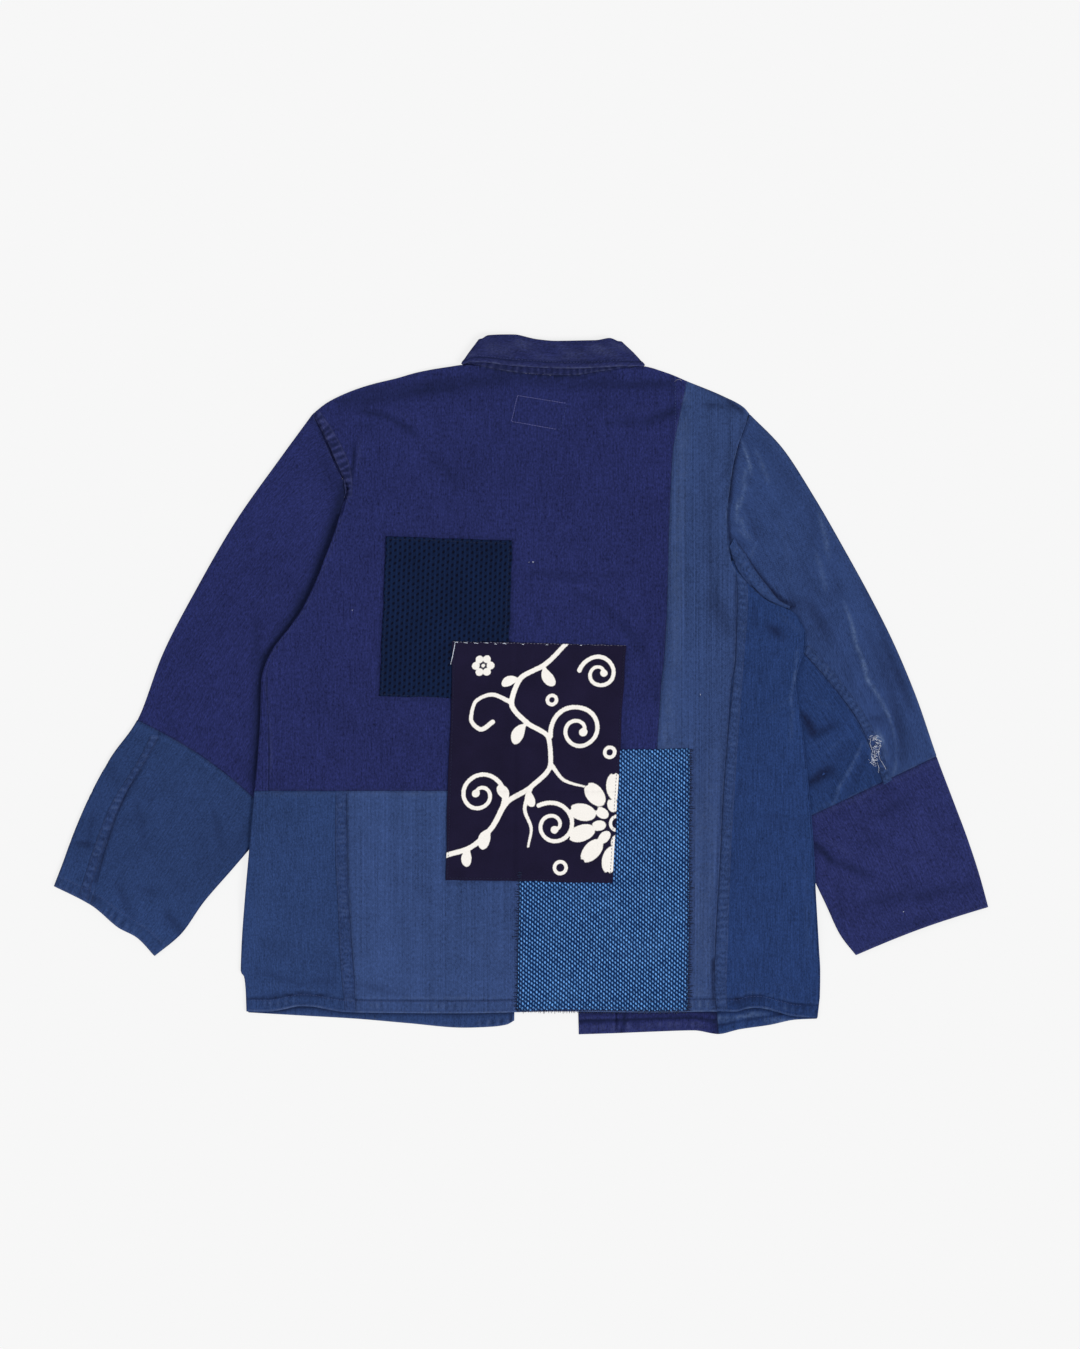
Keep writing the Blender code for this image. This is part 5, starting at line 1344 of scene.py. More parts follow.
def build_patches(M):
    out = {}
    # knit: rows of small pits, each a real dip
    def edge_knit(S, T):
        dx = wobble(T, 0.7, 1) * (1 - S) + wobble(T, 0.7, 2) * S
        dy = wobble(S, 0.7, 3) * (1 - T) + wobble(S, 0.6, 4) * T
        return np.stack([dx, dy], 2)

    X, Y, U, V, wide, tall = patch_plan(KNIT, 1.35, edge_knit)
    pit = knit_pits(U, V)
    edge = np.minimum(np.minimum(U, wide - U), np.minimum(V, tall - V))
    Z = patch_z(X, Y) - 0.42 * pit * sstep((edge - 2) / 2)
    Z -= 0.3 * np.exp(-((edge - 3.2) / 0.9) ** 2)
    Z += 0.12 * np.sin((U + V) * 1.3) * np.exp(-((edge - 1.5) / 1.5) ** 2)
    g = np.stack([X, Y, Z], 2)
    out["patch_knit"] = shell("cloth_patch_knit", g, M["knit_navy"], thick=1.0,
                              uv=np.stack([U, -V], 2), taper=0.4)
    add_attr(out["patch_knit"], "pit", pit)
    # basket weave: a thin patch with uneven edges and a gentle ripple; its thread floats are drawn by its material
    def edge_basket(S, T):
        dx = wobble(T, 0.6, 5) * (1 - S) + wobble(T, 0.5, 6) * S
        dy = wobble(S, 0.5, 7) * (1 - T) + wobble(S, 0.7, 8) * T
        # the lower edge is higher in the middle
        dy = dy + T * (1.3 * np.exp(-((S - 0.3) / 0.2) ** 2) + 1.2 * np.exp(-((S - 0.6) / 0.2) ** 2))
        return np.stack([dx, dy], 2)

    X, Y, U, V, wide, tall = patch_plan(BASKET, 1.6, edge_basket)
    edge = np.minimum(np.minimum(U, wide - U), np.minimum(V, tall - V))
    Z = patch_z(X, Y) + 0.12 * ripple(X, Y, 14, 31)
    Z -= 0.3 * np.exp(-((edge - 3.0) / 0.9) ** 2) * (V > 3)
    g = np.stack([X, Y, Z], 2)
    out["patch_basket"] = shell("cloth_patch_basket", g, M["basket_indigo"], thick=0.9,
                                uv=np.stack([U, -V], 2), taper=0.4)
    # print
    def edge_print(S, T):
        dx = wobble(T, 0.6, 9) * (1 - S) + wobble(T, 0.5, 10) * S
        dy = wobble(S, 0.6, 11) * (1 - T) + wobble(S, 0.5, 12) * T
        return np.stack([dx, dy], 2)

    X, Y, U, V, wide, tall = patch_plan(PRINT, 1.3, edge_print)
    edge = np.minimum(np.minimum(U, wide - U), np.minimum(V, tall - V))
    Z = patch_z(X, Y, over=(KNIT, BASKET)) + 0.10 * ripple(X, Y, 60, 21)
    Z -= 0.3 * np.exp(-((edge - 3.0) / 0.9) ** 2)
    Z += 0.10 * np.sin((U - V) * 1.1 + np.sin(U * 0.3)) * np.exp(-((edge - 1.5) / 2) ** 2)
    g = np.stack([X, Y, Z], 2)
    out["patch_print"] = shell("cloth_patch_print", g, M["print_navy"], thick=0.95,
                               uv=np.stack([U, -V], 2), taper=0.4)
    add_attr(out["patch_print"], "ink", motif(U, V, wide, tall))
    for k, ob in out.items():
        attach(ob, "root")
        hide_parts(k)
    return out


def add_attr(ob, name, grid):
    """A value per grid point, for the top and the underside alike."""
    me = ob.data
    v = np.asarray(grid, np.float32).ravel()
    assert len(me.vertices) == 2 * len(v), (ob.name, len(me.vertices), len(v))
    a = me.attributes.new(name, "FLOAT", "POINT")
    a.data.foreach_set("value", np.concatenate([v, v]))


def knit_pits(u, v):
    """1 in each dark pit of the knit, 0 between them; columns 5.3 mm apart."""
    col = u / 5.3
    z = np.zeros(np.shape(u))
    for shift in (0, 1):
        k = np.floor(col + shift * 0 + 0.5 * 0) + shift
        cu = (k + 0.0) * 5.3
        pitch = 7.3
        off = 0.5 * (k % 2)
        r = np.round(v / pitch - off)
        cv = (r + off) * pitch
        j = np.sin(k * 12.9898 + r * 78.233) * 43758.5453
        j = j - np.floor(j)
        du, dv = u - cu - 0.25 * (v - cv) + (j - 0.5) * 0.5, v - cv + (j - 0.5) * 0.7
        z = np.maximum(z, np.exp(-((du / 1.35) ** 2 + (dv / 1.7) ** 2) ** 1.3) * (0.75 + 0.35 * j))
    return z


def curl(cx, cy, r0, r1, start, turns, w0, w1, ball=0.0):
    """A spiral stroke as points with radii, from outside to its middle."""
    n = int(60 * abs(turns)) + 8
    t = np.linspace(0, 1, n)
    a = math.radians(start) + 2 * math.pi * turns * t
    r = r0 + (r1 - r0) * t ** 0.85
    pts = np.stack([cx + r * np.cos(a), cy + r * np.sin(a), w0 + (w1 - w0) * t], 1)
    if ball:
        pts = np.vstack([pts, [pts[-1, 0], pts[-1, 1], ball]])
    return pts


def stroke(points, widths):
    """A smooth stroke through the points."""
    P = np.array(points, float)
    t = np.concatenate([[0], np.cumsum(np.hypot(*np.diff(P, axis=0).T))])
    T = np.linspace(0, t[-1], max(12, int(t[-1] / 1.2)))
    return np.stack([pchip(t, P[:, 0])(T), pchip(t, P[:, 1])(T),
                     np.interp(T / t[-1], np.linspace(0, 1, len(widths)), widths)], 1)


def leaf(x, y, angle, length, width):
    """A drop that is round at the far end and pointed at (x, y)."""
    t = np.linspace(0, 1, 26)
    a = math.radians(angle)
    w = width / 2 * np.sin(math.pi * np.clip(t, 0, 1) ** 1.5) ** 0.8 + 0.2
    bend = 0.12 * length * np.sin(math.pi * t)
    return np.stack([x + math.cos(a) * length * t - math.sin(a) * bend,
                     y + math.sin(a) * length * t + math.cos(a) * bend, w], 1)


def motif(u, v, wide, tall):
    """A traditional vine scroll with a half flower: mm outside its pale shapes.

    u runs right and v down the patch.  Below 0 is pale, above 0 is dark.
    """
    S = []
    # the vine
    S.append(stroke([(-4, 236), (26, 226), (50, 204), (66, 176), (92, 158), (112, 132),
                     (108, 104), (84, 88), (66, 66), (74, 40), (100, 24), (126, -4)],
                    (2.7, 2.9, 2.5, 2.8, 2.4)))
    # curls that leave it on alternate sides
    S.append(curl(36, 168, 29, 5, 38, -1.55, 2.5, 1.9, 4.3))
    S.append(curl(140, 94, 31, 6, 165, 1.6, 2.6, 1.9, 4.6))
    S.append(curl(118, 200, 27, 5, -128, 1.55, 2.5, 1.8, 4.2))
    S.append(curl(160, 32, 22, 5, 190, 1.45, 2.4, 1.7, 4.0))
    # short tendrils
    S.append(stroke([(92, 158), (86, 182), (94, 206), (91, 224)], (2.3, 1.9, 1.3)))
    S.append(stroke([(66, 66), (44, 58), (26, 66), (22, 84), (34, 96), (46, 88)], (2.4, 1.9, 2.6)))
    S.append(stroke([(112, 132), (128, 150), (150, 156)], (2.3, 1.2)))
    # leaves beside the vine
    for x, y, a, l, w in ((50, 204, 112, 25, 13), (26, 226, 96, 20, 11), (66, 176, -122, 20, 11),
                          (84, 88, 118, 26, 13), (74, 40, 158, 20, 10),
                          (100, 24, 62, 24, 12), (90, 160, 74, 20, 10)):
        S.append(leaf(x, y, a, l, w))
    pts = np.vstack(S)
    d = np.full(u.size, 1e9)
    uu, vv = u.ravel(), v.ravel()
    for k in range(0, len(pts), 200):
        q = pts[k:k + 200]
        e = np.hypot(uu[:, None] - q[None, :, 0], vv[:, None] - q[None, :, 1]) - q[None, :, 2]
        d = np.minimum(d, e.min(1))
    # half flower on the right edge: two rounds of petals and a ringed middle
    fx, fy = wide + 2.0, 196.0
    du, dv = uu - fx, vv - fy
    r, a = np.hypot(du, dv), np.arctan2(dv, du)
    for n, mid, rx, ry, turn in ((11, 41.0, 15.0, 9.2, 0.0), (9, 21.0, 8.0, 5.6, 0.2)):
        k = np.round((a - turn) / (2 * math.pi / n)) * (2 * math.pi / n) + turn
        lx, ly = r * np.cos(a - k) - mid, r * np.sin(a - k)
        e = (np.hypot(lx / rx, ly / ry) - 1) * min(rx, ry)
        # a notch at each petal's tip
        e = np.maximum(e, 2.4 - np.hypot(lx - rx - 0.6, ly))
        d = np.minimum(d, e)
    d = np.minimum(d, np.abs(r - 8.0) - 1.7)
    # a small round flower high on the left and three rings
    for fx, fy, m, rr, n in ((34, 26, 8.0, 4.2, 6),):
        du, dv = uu - fx, vv - fy
        r, a = np.hypot(du, dv), np.arctan2(dv, du)
        k = np.round(a / (2 * math.pi / n)) * (2 * math.pi / n)
        e = np.hypot(r * np.cos(a - k) - m, r * np.sin(a - k)) - rr
        d = np.minimum(d, e)
        d = np.minimum(d, r - 2.0)
    for fx, fy, m in ((128, 246, 6.5), (176, 118, 5.5), (110, 62, 5.0)):
        d = np.minimum(d, np.abs(np.hypot(uu - fx, vv - fy) - m) - 1.9)
    return np.clip(d, -3, 3).reshape(u.shape)


# --------------------------------------------------------- bands and stitching
def px(u, v):
    """Plan point of a place on the 1.1 mm layout grid of the design."""
    return ((u - 521.5) * 1.1, (684.5 - v) * 1.1)


def smooth_path(points, step):
    P = np.array(points, float)
    t = np.concatenate([[0], np.cumsum(np.hypot(*np.diff(P[:, :2], axis=0).T))])
    n = max(2, int(round(t[-1] / step)))
    T = spaced(0, t[-1], step, 0.7)
    return np.stack([pchip(t, P[:, k])(T) for k in range(P.shape[1])], 1), T


def puckers(T, seed, lo=5.5, hi=13.0):
    """Uneven ladder of small cross ridges along a seam, 0..1, with its slants."""
    rng = np.random.RandomState(seed)
    at_, ridges = -3.0, []
    while at_ < T[-1] + 6:
        ridges.append((at_, rng.uniform(1.1, 2.2), rng.uniform(0.30, 1.0), rng.uniform(-0.30, 0.40)))
        at_ += rng.uniform(lo, hi)
    return ridges


def band(name, left, right, surf, mat, seed, height=0.9, pucker=0.75, crown=0.35, thick=0.8,
         lo=5.5, hi=9.0, sink=0.0, taper_ends=(3.0, 3.0), wear_and_highlight=0.30, ladder=0.40,
         edge_dark=(0.5, 0.5), edge_light=(0.0, 0.0)):
    """A felled strip between two edge paths, laid on the surface below it."""
    A, T = smooth_path(left, 1.1)
    k = np.linspace(0, 1, len(T))
    B0, T2 = smooth_path(right, 1.1)
    B = np.stack([np.interp(k, np.linspace(0, 1, len(T2)), B0[:, c]) for c in range(2)], 1)
    wide = float(np.mean(np.hypot(*(B - A).T)))
    Q = np.linspace(0, 1, max(8, int(round(wide / 0.95))) + 1)
    Q = np.concatenate([[0, 0.06], Q[1:-1], [0.94, 1]])
    ridges = puckers(T, seed, lo, hi)
    X = A[:, None, 0] * (1 - Q) + B[:, None, 0] * Q
    Y = A[:, None, 1] * (1 - Q) + B[:, None, 1] * Q
    base = np.zeros(X.shape)
    prev = 5.0
    for i in range(X.shape[0]):
        for j in range(X.shape[1]):
            z = surf.z(X[i, j], Y[i, j])
            if z is None:
                z = prev
            base[i, j] = prev = z
    # a band bridges small dips in the cloth below
    for _ in range(2):
        base[1:-1] = np.maximum(base[1:-1], (base[:-2] + base[2:]) / 2)
    pk = np.zeros(X.shape)
    for c, w, h, slant in ridges:
        d = T[:, None] - c - slant * (Q[None, :] - 0.5) * wide
        pk = np.maximum(pk, h * np.exp(-(d / w) ** 2))
    arch = np.sqrt(np.clip(1 - (2 * Q - 1) ** 2, 0, 1))
    ends = sstep(T / taper_ends[0]) * sstep((T[-1] - T) / taper_ends[1])
    stitch = np.exp(-((Q - 0.17) * wide / 0.75) ** 2) + np.exp(-((Q - 0.83) * wide / 0.75) ** 2)
    H = (height - 0.25 * sstep((0.12 - Q) / 0.12) - 0.25 * sstep((Q - 0.88) / 0.12)
         + crown * arch)[None, :] + pucker * (pk - 0.35) * arch[None, :]
    H = H - 0.16 * stitch[None, :]
    H = H * (0.45 + 0.55 * ends)[:, None]
    mid = np.stack([X, Y, base + H - thick / 2 - sink], 2)
    ob = shell(name, mid, mat, thick=thick, uv=np.stack([np.broadcast_to(Q * wide, X.shape),
                                                         -np.broadcast_to(T[:, None], X.shape)], 2))
    # pucker crests are painted lighter as wear and highlight, edges rubbed pale; painted shade fills the troughs
    # between puckers, painted shadow runs along the band's edges and stitching
    inner = np.clip(1 - np.abs(2 * Q - 1) ** 3, 0, 1)[None, :]
    rubbed = (np.exp(-((Q * wide - 1.1) / 0.8) ** 2) * edge_light[0]
              + np.exp(-(((1 - Q) * wide - 1.1) / 0.8) ** 2) * edge_light[1])
    add_attr(ob, "wear_and_highlight", np.clip(wear_and_highlight * pk * inner + rubbed[None, :], 0, 1) * ends[:, None])
    edges = np.exp(-(Q * wide / 0.9) ** 2) * edge_dark[0] + np.exp(-((1 - Q) * wide / 0.9) ** 2) * edge_dark[1]
    dark = ladder * np.clip((0.45 - pk) / 0.45, 0, 1) * inner + edges[None, :] + 0.22 * stitch[None, :]
    add_attr(ob, "dark", np.clip(dark, 0, 1) * ends[:, None])
    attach(ob, "root")
    return ob


def stitches(name, paths, surf, mat, length=2.2, gap=1.0, radius=0.28, lift_up=0.12, seed=1,
             wander=0.12, under=False):
    """A row of thread stitches as one mesh of small rounded bars."""
    rng = np.random.RandomState(seed)
    V, F = [], []
    for points in paths:
        P = np.array(points, float)
        t = np.concatenate([[0], np.cumsum(np.hypot(*np.diff(P, axis=0).T))])
        fx, fy = pchip(t, P[:, 0]), pchip(t, P[:, 1])
        s = 0.3
        while s + length < t[-1]:
            ln = length * rng.uniform(0.85, 1.12)
            a, b = s, min(s + ln, t[-1])
            ring_at = np.linspace(a, b, 5)
            c = np.stack([fx(ring_at), fy(ring_at)], 1)
            d = c[-1] - c[0]
            d = d / max(np.linalg.norm(d), 1e-9)
            n = np.array([-d[1], d[0]])
            c = c + n * rng.uniform(-wander, wander)
            base = len(V)
            ok = True
            zs = []
            for p in c:
                z = surf.under(p[0], p[1]) if under else surf.z(p[0], p[1])
                if z is None:
                    ok = False
                    break
                zs.append(z)
            if ok:
                sgn = -1 if under else 1
                for m, p in enumerate(c):
                    q = m / 4.0
                    r = radius * (0.55 + 0.45 * math.sin(math.pi * q))
                    zc = zs[m] + sgn * (lift_up * math.sin(math.pi * q) + 0.10 - 0.22 * (1 - math.sin(math.pi * q)))
                    for k in range(6):
                        an = 2 * math.pi * k / 6
                        V.append((p[0] + n[0] * r * math.cos(an), p[1] + n[1] * r * math.cos(an),
                                  zc + r * math.sin(an)))
                for m in range(4):
                    for k in range(6):
                        k2 = (k + 1) % 6
                        F.append((base + m * 6 + k, base + m * 6 + k2, base + (m + 1) * 6 + k2,
                                  base + (m + 1) * 6 + k))
                F.append((base, base + 3, base + 2, base + 1))
                F.append((base, base + 5, base + 4, base + 3))
                e = base + 24
                F.append((e, e + 1, e + 2, e + 3))
                F.append((e, e + 3, e + 4, e + 5))
            s = s + ln + gap * rng.uniform(0.8, 1.25)
    ob = finish_piece(name, V, F, mat)
    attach(ob, "root")
    return ob


def threads(name, lines, mat, radius=0.25, sides=5):
    """Loose thread ends: tubes through given points, joined as one mesh."""
    V, F4 = [], []
    for pts in lines:
        P = np.array(pts, float)
        n = len(P)
        T = np.gradient(P, axis=0)
        T /= np.maximum(np.linalg.norm(T, axis=1, keepdims=True), 1e-9)
        base = len(V)
        for i in range(n):
            s = np.cross(T[i], (0, 0, 1.0))
            if np.linalg.norm(s) < 1e-6:
                s = np.array([1.0, 0, 0])
            s /= np.linalg.norm(s)
            w = np.cross(s, T[i])
            r = radius * (1.0 if 0 < i < n - 1 else 0.5)
            for k in range(sides):
                a = 2 * math.pi * k / sides
                V.append(tuple(P[i] + s * r * math.cos(a) + w * r * math.sin(a)))
        for i in range(n - 1):
            for k in range(sides):
                k2 = (k + 1) % sides
                F4.append((base + i * sides + k, base + i * sides + k2,
                           base + (i + 1) * sides + k2, base + (i + 1) * sides + k))
        # caps, as fans of quads round a doubled centre would waste faces
        for e in (base, base + (n - 1) * sides):
            ring = [e + k for k in range(sides)]
            if e != base:
                ring = ring[::-1]
            c = len(V)
            V.append(tuple(P[0] if e == base else P[-1]))
            for k in range(sides):
                F4.append((ring[(k + 1) % sides], ring[k], c, c))
    V = np.array(V)
    tri = [f for f in F4 if f[2] == f[3]]
    quad = [f for f in F4 if f[2] != f[3]]
    faces = [(a, b, c) for a, b, c, d in tri]
    for a, b, c, d in quad:
        faces += [(a, b, c), (a, c, d)]
    ob = finish_piece(name, V, np.array(faces), mat)
    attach(ob, "root")
    return ob


def build_details(M, pieces):
    T = {}
    body = Surface("cloth_back_main", "cloth_back_lower", "cloth_back_right",
                   "cloth_front_left_upper", "cloth_front_left_lower", "cloth_front_right_side")
    arm_l = Surface("cloth_sleeve_left_upper", "cloth_sleeve_left_lower_top",
                    "cloth_sleeve_left_lower_under")
    arm_r = Surface("cloth_sleeve_right_upper", "cloth_sleeve_right_under", "cloth_sleeve_right_cuff")
    everything = Surface(*[n for n in PIECES])
    left_front = Surface("cloth_front_left_upper", "cloth_front_left_lower")
    # felled seams
    T["armhole_l"] = band("felled_armhole_left", [px(312.8, 415), px(324, 436.5), px(335.2, 461), px(343.4, 482), px(345.6, 498)],
                          [px(319, 410), px(331, 427.3), px(342.2, 447), px(350.3, 467), px(352.2, 484), px(352, 497)],
                          body, M["band_purple"], 11, height=0.55, pucker=0.35, crown=0.25, lo=5.5, hi=8,
                          wear_and_highlight=0.70, ladder=0.75, edge_dark=(1.0, 0.5), edge_light=(0.85, 0.45))
    T["lower_left"] = band("felled_lower_left",
                           [px(336, 793), px(335, 836), px(338, 912), px(340.7, 970), px(345, 1011)],
                           [px(346.5, 792.6), px(347.4, 874), px(352, 950), px(355, 992), px(355.5, 1011)],
                           body, M["band_blue"], 12, height=0.5, pucker=0.30, crown=0.15, lo=4.2, hi=7.5,
                           wear_and_highlight=0.26, ladder=0.18, edge_dark=(0.45, 0.80), edge_light=(0.12, 0.0))
    T["right_side"] = band("felled_right_side",
                           [px(735.7, 572), px(737, 590), px(736.6, 620), px(735.7, 652), px(733, 680),
                            px(723.8, 783), px(720.4, 852), px(716, 930), px(714, 984), px(716.5, 1011)],
                           [px(744, 576), px(748, 590), px(747, 620), px(745.5, 638), px(743.8, 660),
                            px(735, 783), px(731, 852), px(728.4, 930), px(726.6, 992), px(727.5, 1011)],
                           body, M["band_side"], 13, height=0.5, pucker=0.30, crown=0.15, lo=5.5, hi=9.5,
                           wear_and_highlight=0.24, ladder=0.24, edge_dark=(0.95, 0.45))
    T["sleeve_l"] = band("felled_sleeve_left",
                         [px(151, 735), px(138, 760), px(110, 806), px(96.6, 839), px(84.4, 876), px(78, 896)],
                         [px(160, 735), px(148, 757), px(124.5, 795), px(112, 824), px(100, 858), px(91, 888),
                          px(88, 902)],
                         arm_l, M["band_blue"], 14, height=0.5, pucker=0.32, crown=0.15, lo=6, hi=11,
                         wear_and_highlight=0.42, ladder=0.30, edge_dark=(0.5, 0.75), edge_light=(0.12, 0.12))
    T["sleeve_r"] = band("felled_sleeve_right",
                         [px(803, 652), px(830, 683), px(858, 721), px(870, 747), px(884, 785)],
                         [px(809.5, 644), px(836, 675), px(866, 716), px(879, 743), px(892, 780)],
                         arm_r, M["band_side"], 15, height=0.5, pucker=0.32, crown=0.15, lo=5, hi=8.5,
                         wear_and_highlight=0.34, ladder=0.34, edge_dark=(0.95, 0.40))
    # the rolled strip above the lower right armhole
    T["roll_r"] = band("rolled_armhole_right",
                       [px(729.5, 547), px(735.7, 567), px(750, 585.5), px(762.5, 596.5), px(780, 606), px(789, 608.6)],
                       [px(734, 538), px(745.5, 553), px(755, 569), px(769, 587.5), px(779.5, 600.5), px(790.5, 606.5)],
                       everything, M["band_side"], 16, height=1.3, pucker=0.06, crown=1.5, thick=1.0,
                       taper_ends=(9, 16), wear_and_highlight=0.22, ladder=0.04, edge_dark=(0.6, 1.0))
    top = Surface(*[n for n in PIECES])
    # label stitching, only its thread shows
    quad = [px(517.5, 395.5), px(567, 403.5), px(560, 430), px(511.5, 421.5)]
    T["label"] = stitches("label_stitches", [[quad[0], quad[1]], [quad[3], quad[0]],
                                             [px(556, 429.2), quad[3]]], top, M["thread_pale"],
                          length=1.9, gap=0.8, radius=0.26, seed=5)
    T["label_faint"] = stitches("label_stitches_faint", [[quad[1], quad[2]], [quad[2], px(557, 429.4)]], top,
                                M["thread_blue"], length=1.7, gap=1.6, radius=0.22, seed=6)
    # sewing thread of the seams and hems: one joined mesh for each colour
    hem = [(x, float(hem_back(x)) + 12.6) for x in np.arange(-302, 322, 12.0)]
    hem2 = [(x, float(hem_back(x)) + 1.8) for x in np.arange(-300, 322, 12.0)]
    waist = [(x, WAIST - 2.2) for x in np.arange(-284, -88, 10.0)]
    strip = [(float(line["strip"](y)) + 2.2, y) for y in np.arange(338, -70, -12.0)]
    T["sewing"] = stitches("sewing_thread", [hem, hem2, waist, strip], top, M["thread_blue"],
                           length=2.3, gap=1.1, radius=0.26, lift_up=0.05, seed=8)
    cuff_l = [px(64, 879), px(93.6, 893), px(124, 914), px(150, 932), px(161, 942)]
    cuff_l2 = [px(56, 884.5), px(91, 902.5), px(116, 924), px(137, 936), px(153, 953)]
    cuff_r = [px(985, 905), px(927, 924.5), px(858, 951.5)]
    T["cuff_l"] = stitches("cuff_thread_left", [cuff_l, cuff_l2], top, M["thread_blue"], length=2.3, gap=1.1,
                           radius=0.26, lift_up=0.05, seed=9)
    T["cuff_r"] = stitches("cuff_thread_right", [cuff_r], top, M["thread_violet"], length=2.3, gap=1.1,
                           radius=0.26, lift_up=0.05, seed=10)
    T["collar_row"] = stitches("collar_thread",
                               [[px(473, 354.8), px(500, 357.8), px(528, 360.2), px(569, 362.4), px(635, 359.8)],
                                [px(471, 350), px(478, 341), px(484, 331)],
                                [px(636, 357), px(630, 346), px(622, 336)]], top, M["thread_violet"],
                               length=2.2, gap=1.1, radius=0.24, lift_up=0.05, seed=11)
    # stitches that hold the patches
    def round_quad(q, d, sides=(0, 1, 2, 3)):
        cx, cy = sum(p[0] for p in q) / 4, sum(p[1] for p in q) / 4
        k = [(p[0] + math.copysign(d, cx - p[0]), p[1] + math.copysign(d, cy - p[1])) for p in q]
        return [[k[i], k[(i + 1) % 4]] for i in sides]

    knit = round_quad(KNIT, 3.0, (0, 3)) + [[px(509.4, 543.5), px(504.6, 638)], [px(380.2, 693.8), px(443, 697.6)]]
    basket = [[px(631, 756.2), px(686, 757.6)], round_quad(BASKET, 3.4, (1,))[0],
              [px(684.5, 1009), px(626, 1008), px(573, 1007), px(521, 1009)], [px(520.4, 1008), px(526.0, 887)]]
    T["knit_row"] = stitches("knit_thread", knit, top, M["thread_navy"],
                             length=2.4, gap=1.3, radius=0.27, seed=12)
    T["basket_row"] = stitches("basket_thread", basket, top, M["thread_blue"],
                               length=2.4, gap=1.3, radius=0.27, seed=13)
    T["print_row"] = stitches("print_thread", round_quad(PRINT, 2.4, (1, 2, 3)), top, M["thread_navy"],
                              length=2.4, gap=1.3, radius=0.25, seed=14)
    rng = np.random.RandomState(77)

    def on_top(points, lift_by=0.22, surf=top):
        out = []
        for x, y in points:
            z = surf.z(x, y)
            if z is None:
                z = surf.z(x + 1.0, y) or surf.z(x - 1.0, y) or surf.z(x, y + 2.0) or 4.0
            out.append((x, y, z + lift_by))
        return out

    # the print's raw top edge, turned pale, with bright stitches at its left
    q0, q1 = PRINT[0], PRINT[1]
    edge = []
    for t0 in np.linspace(0.004, 0.985, 52):
        ln = rng.uniform(0.010, 0.016)
        pts = [(q0[0] + (q1[0] - q0[0]) * t, q0[1] + (q1[1] - q0[1]) * t - 0.3 + 0.25 * math.sin(t * 90))
               for t in np.linspace(t0, min(t0 + ln, 0.997), 4)]
        edge.append(on_top(pts, 0.12))
    T["print_edge"] = threads("print_edge_thread", edge, M["thread_grey"], radius=0.20)
    bright = []
    for u, v, du, dv in ((456.5, 642.5, 3.4, 0.5), (465.5, 643.0, 4.4, 0.4), (476, 643.4, 4.2, 0.5),
                         (486.5, 643.2, 3.8, 0.3), (495.5, 644.2, 2.6, 0.6), (504.5, 643.8, 4.0, 0.4),
                         (523, 644.6, 2.2, 0.3), (547, 645.0, 2.0, 0.2), (581, 645.6, 2.0, 0.3)):
        bright.append(on_top([px(u - du / 2, v - dv / 2), px(u, v - 0.4), px(u + du / 2, v + dv / 2)], 0.34))
    side_line = [(455.2, 641.5), (454.6, 646), (453.4, 652), (452.2, 658), (450.6, 664.5)]
    bright.append(on_top([px(u, v) for u, v in side_line], 0.30))
    T["print_white"] = threads("print_white_thread", bright, M["thread_white"], radius=0.42)
    # frayed threads of the basket cloth
    fray = []
    for side, n, sgn in ((0, 100, -1), (1, 120, 1)):
        for t in (np.arange(n) + rng.uniform(0.2, 0.8, n)) / n:
            a, b = ((BASKET[0], BASKET[3]) if side == 0 else (BASKET[1], BASKET[2]))
            if side == 0 and t < 0.46:
                continue
            x, y = a[0] + (b[0] - a[0]) * t, a[1] + (b[1] - a[1]) * t
            ln = rng.uniform(1.8, 5.2) * (1.5 if rng.rand() < 0.12 else 1.0)
            bend = rng.uniform(-1.3, 1.3)
            fray.append(on_top([(x - sgn * 1.6, y), (x + sgn * 0.3, y + 0.1 * bend), (x + sgn * ln * 0.6, y + 0.5 * bend),
                                (x + sgn * ln, y + bend)], 0.25))
    for t in (np.arange(84) + rng.uniform(0.2, 0.8, 84)) / 84:
        x, y = BASKET[3][0] + (BASKET[2][0] - BASKET[3][0]) * t, BASKET[3][1] + (BASKET[2][1] - BASKET[3][1]) * t
        ln = rng.uniform(1.0, 3.2)
        fray.append(on_top([(x, y + 1.6), (x + 0.1, y + 0.4), (x + rng.uniform(-0.6, 0.6), y - ln)], 0.22))
    T["basket_fray"] = threads("basket_fray", fray, M["thread_basket"], radius=0.50)
    loops = []
    for t in (np.arange(60) + rng.uniform(0.2, 0.8, 60)) / 60:
        for a, b in ((BASKET[0], BASKET[3]), (BASKET[1], BASKET[2])):
            if a is BASKET[0] and t < 0.46:
                continue
            x, y = a[0] + (b[0] - a[0]) * t, a[1] + (b[1] - a[1]) * t
            sgn = -1 if a is BASKET[0] else 1
            loops.append(on_top([(x - sgn * 2.2, y + 1.0), (x + sgn * 0.5, y + 0.5), (x + sgn * 0.5, y - 0.6),
                                 (x - sgn * 2.2, y - 1.1)], 0.35))
    T["basket_loops"] = threads("basket_edge_loops", loops, M["thread_navy"], radius=0.36)
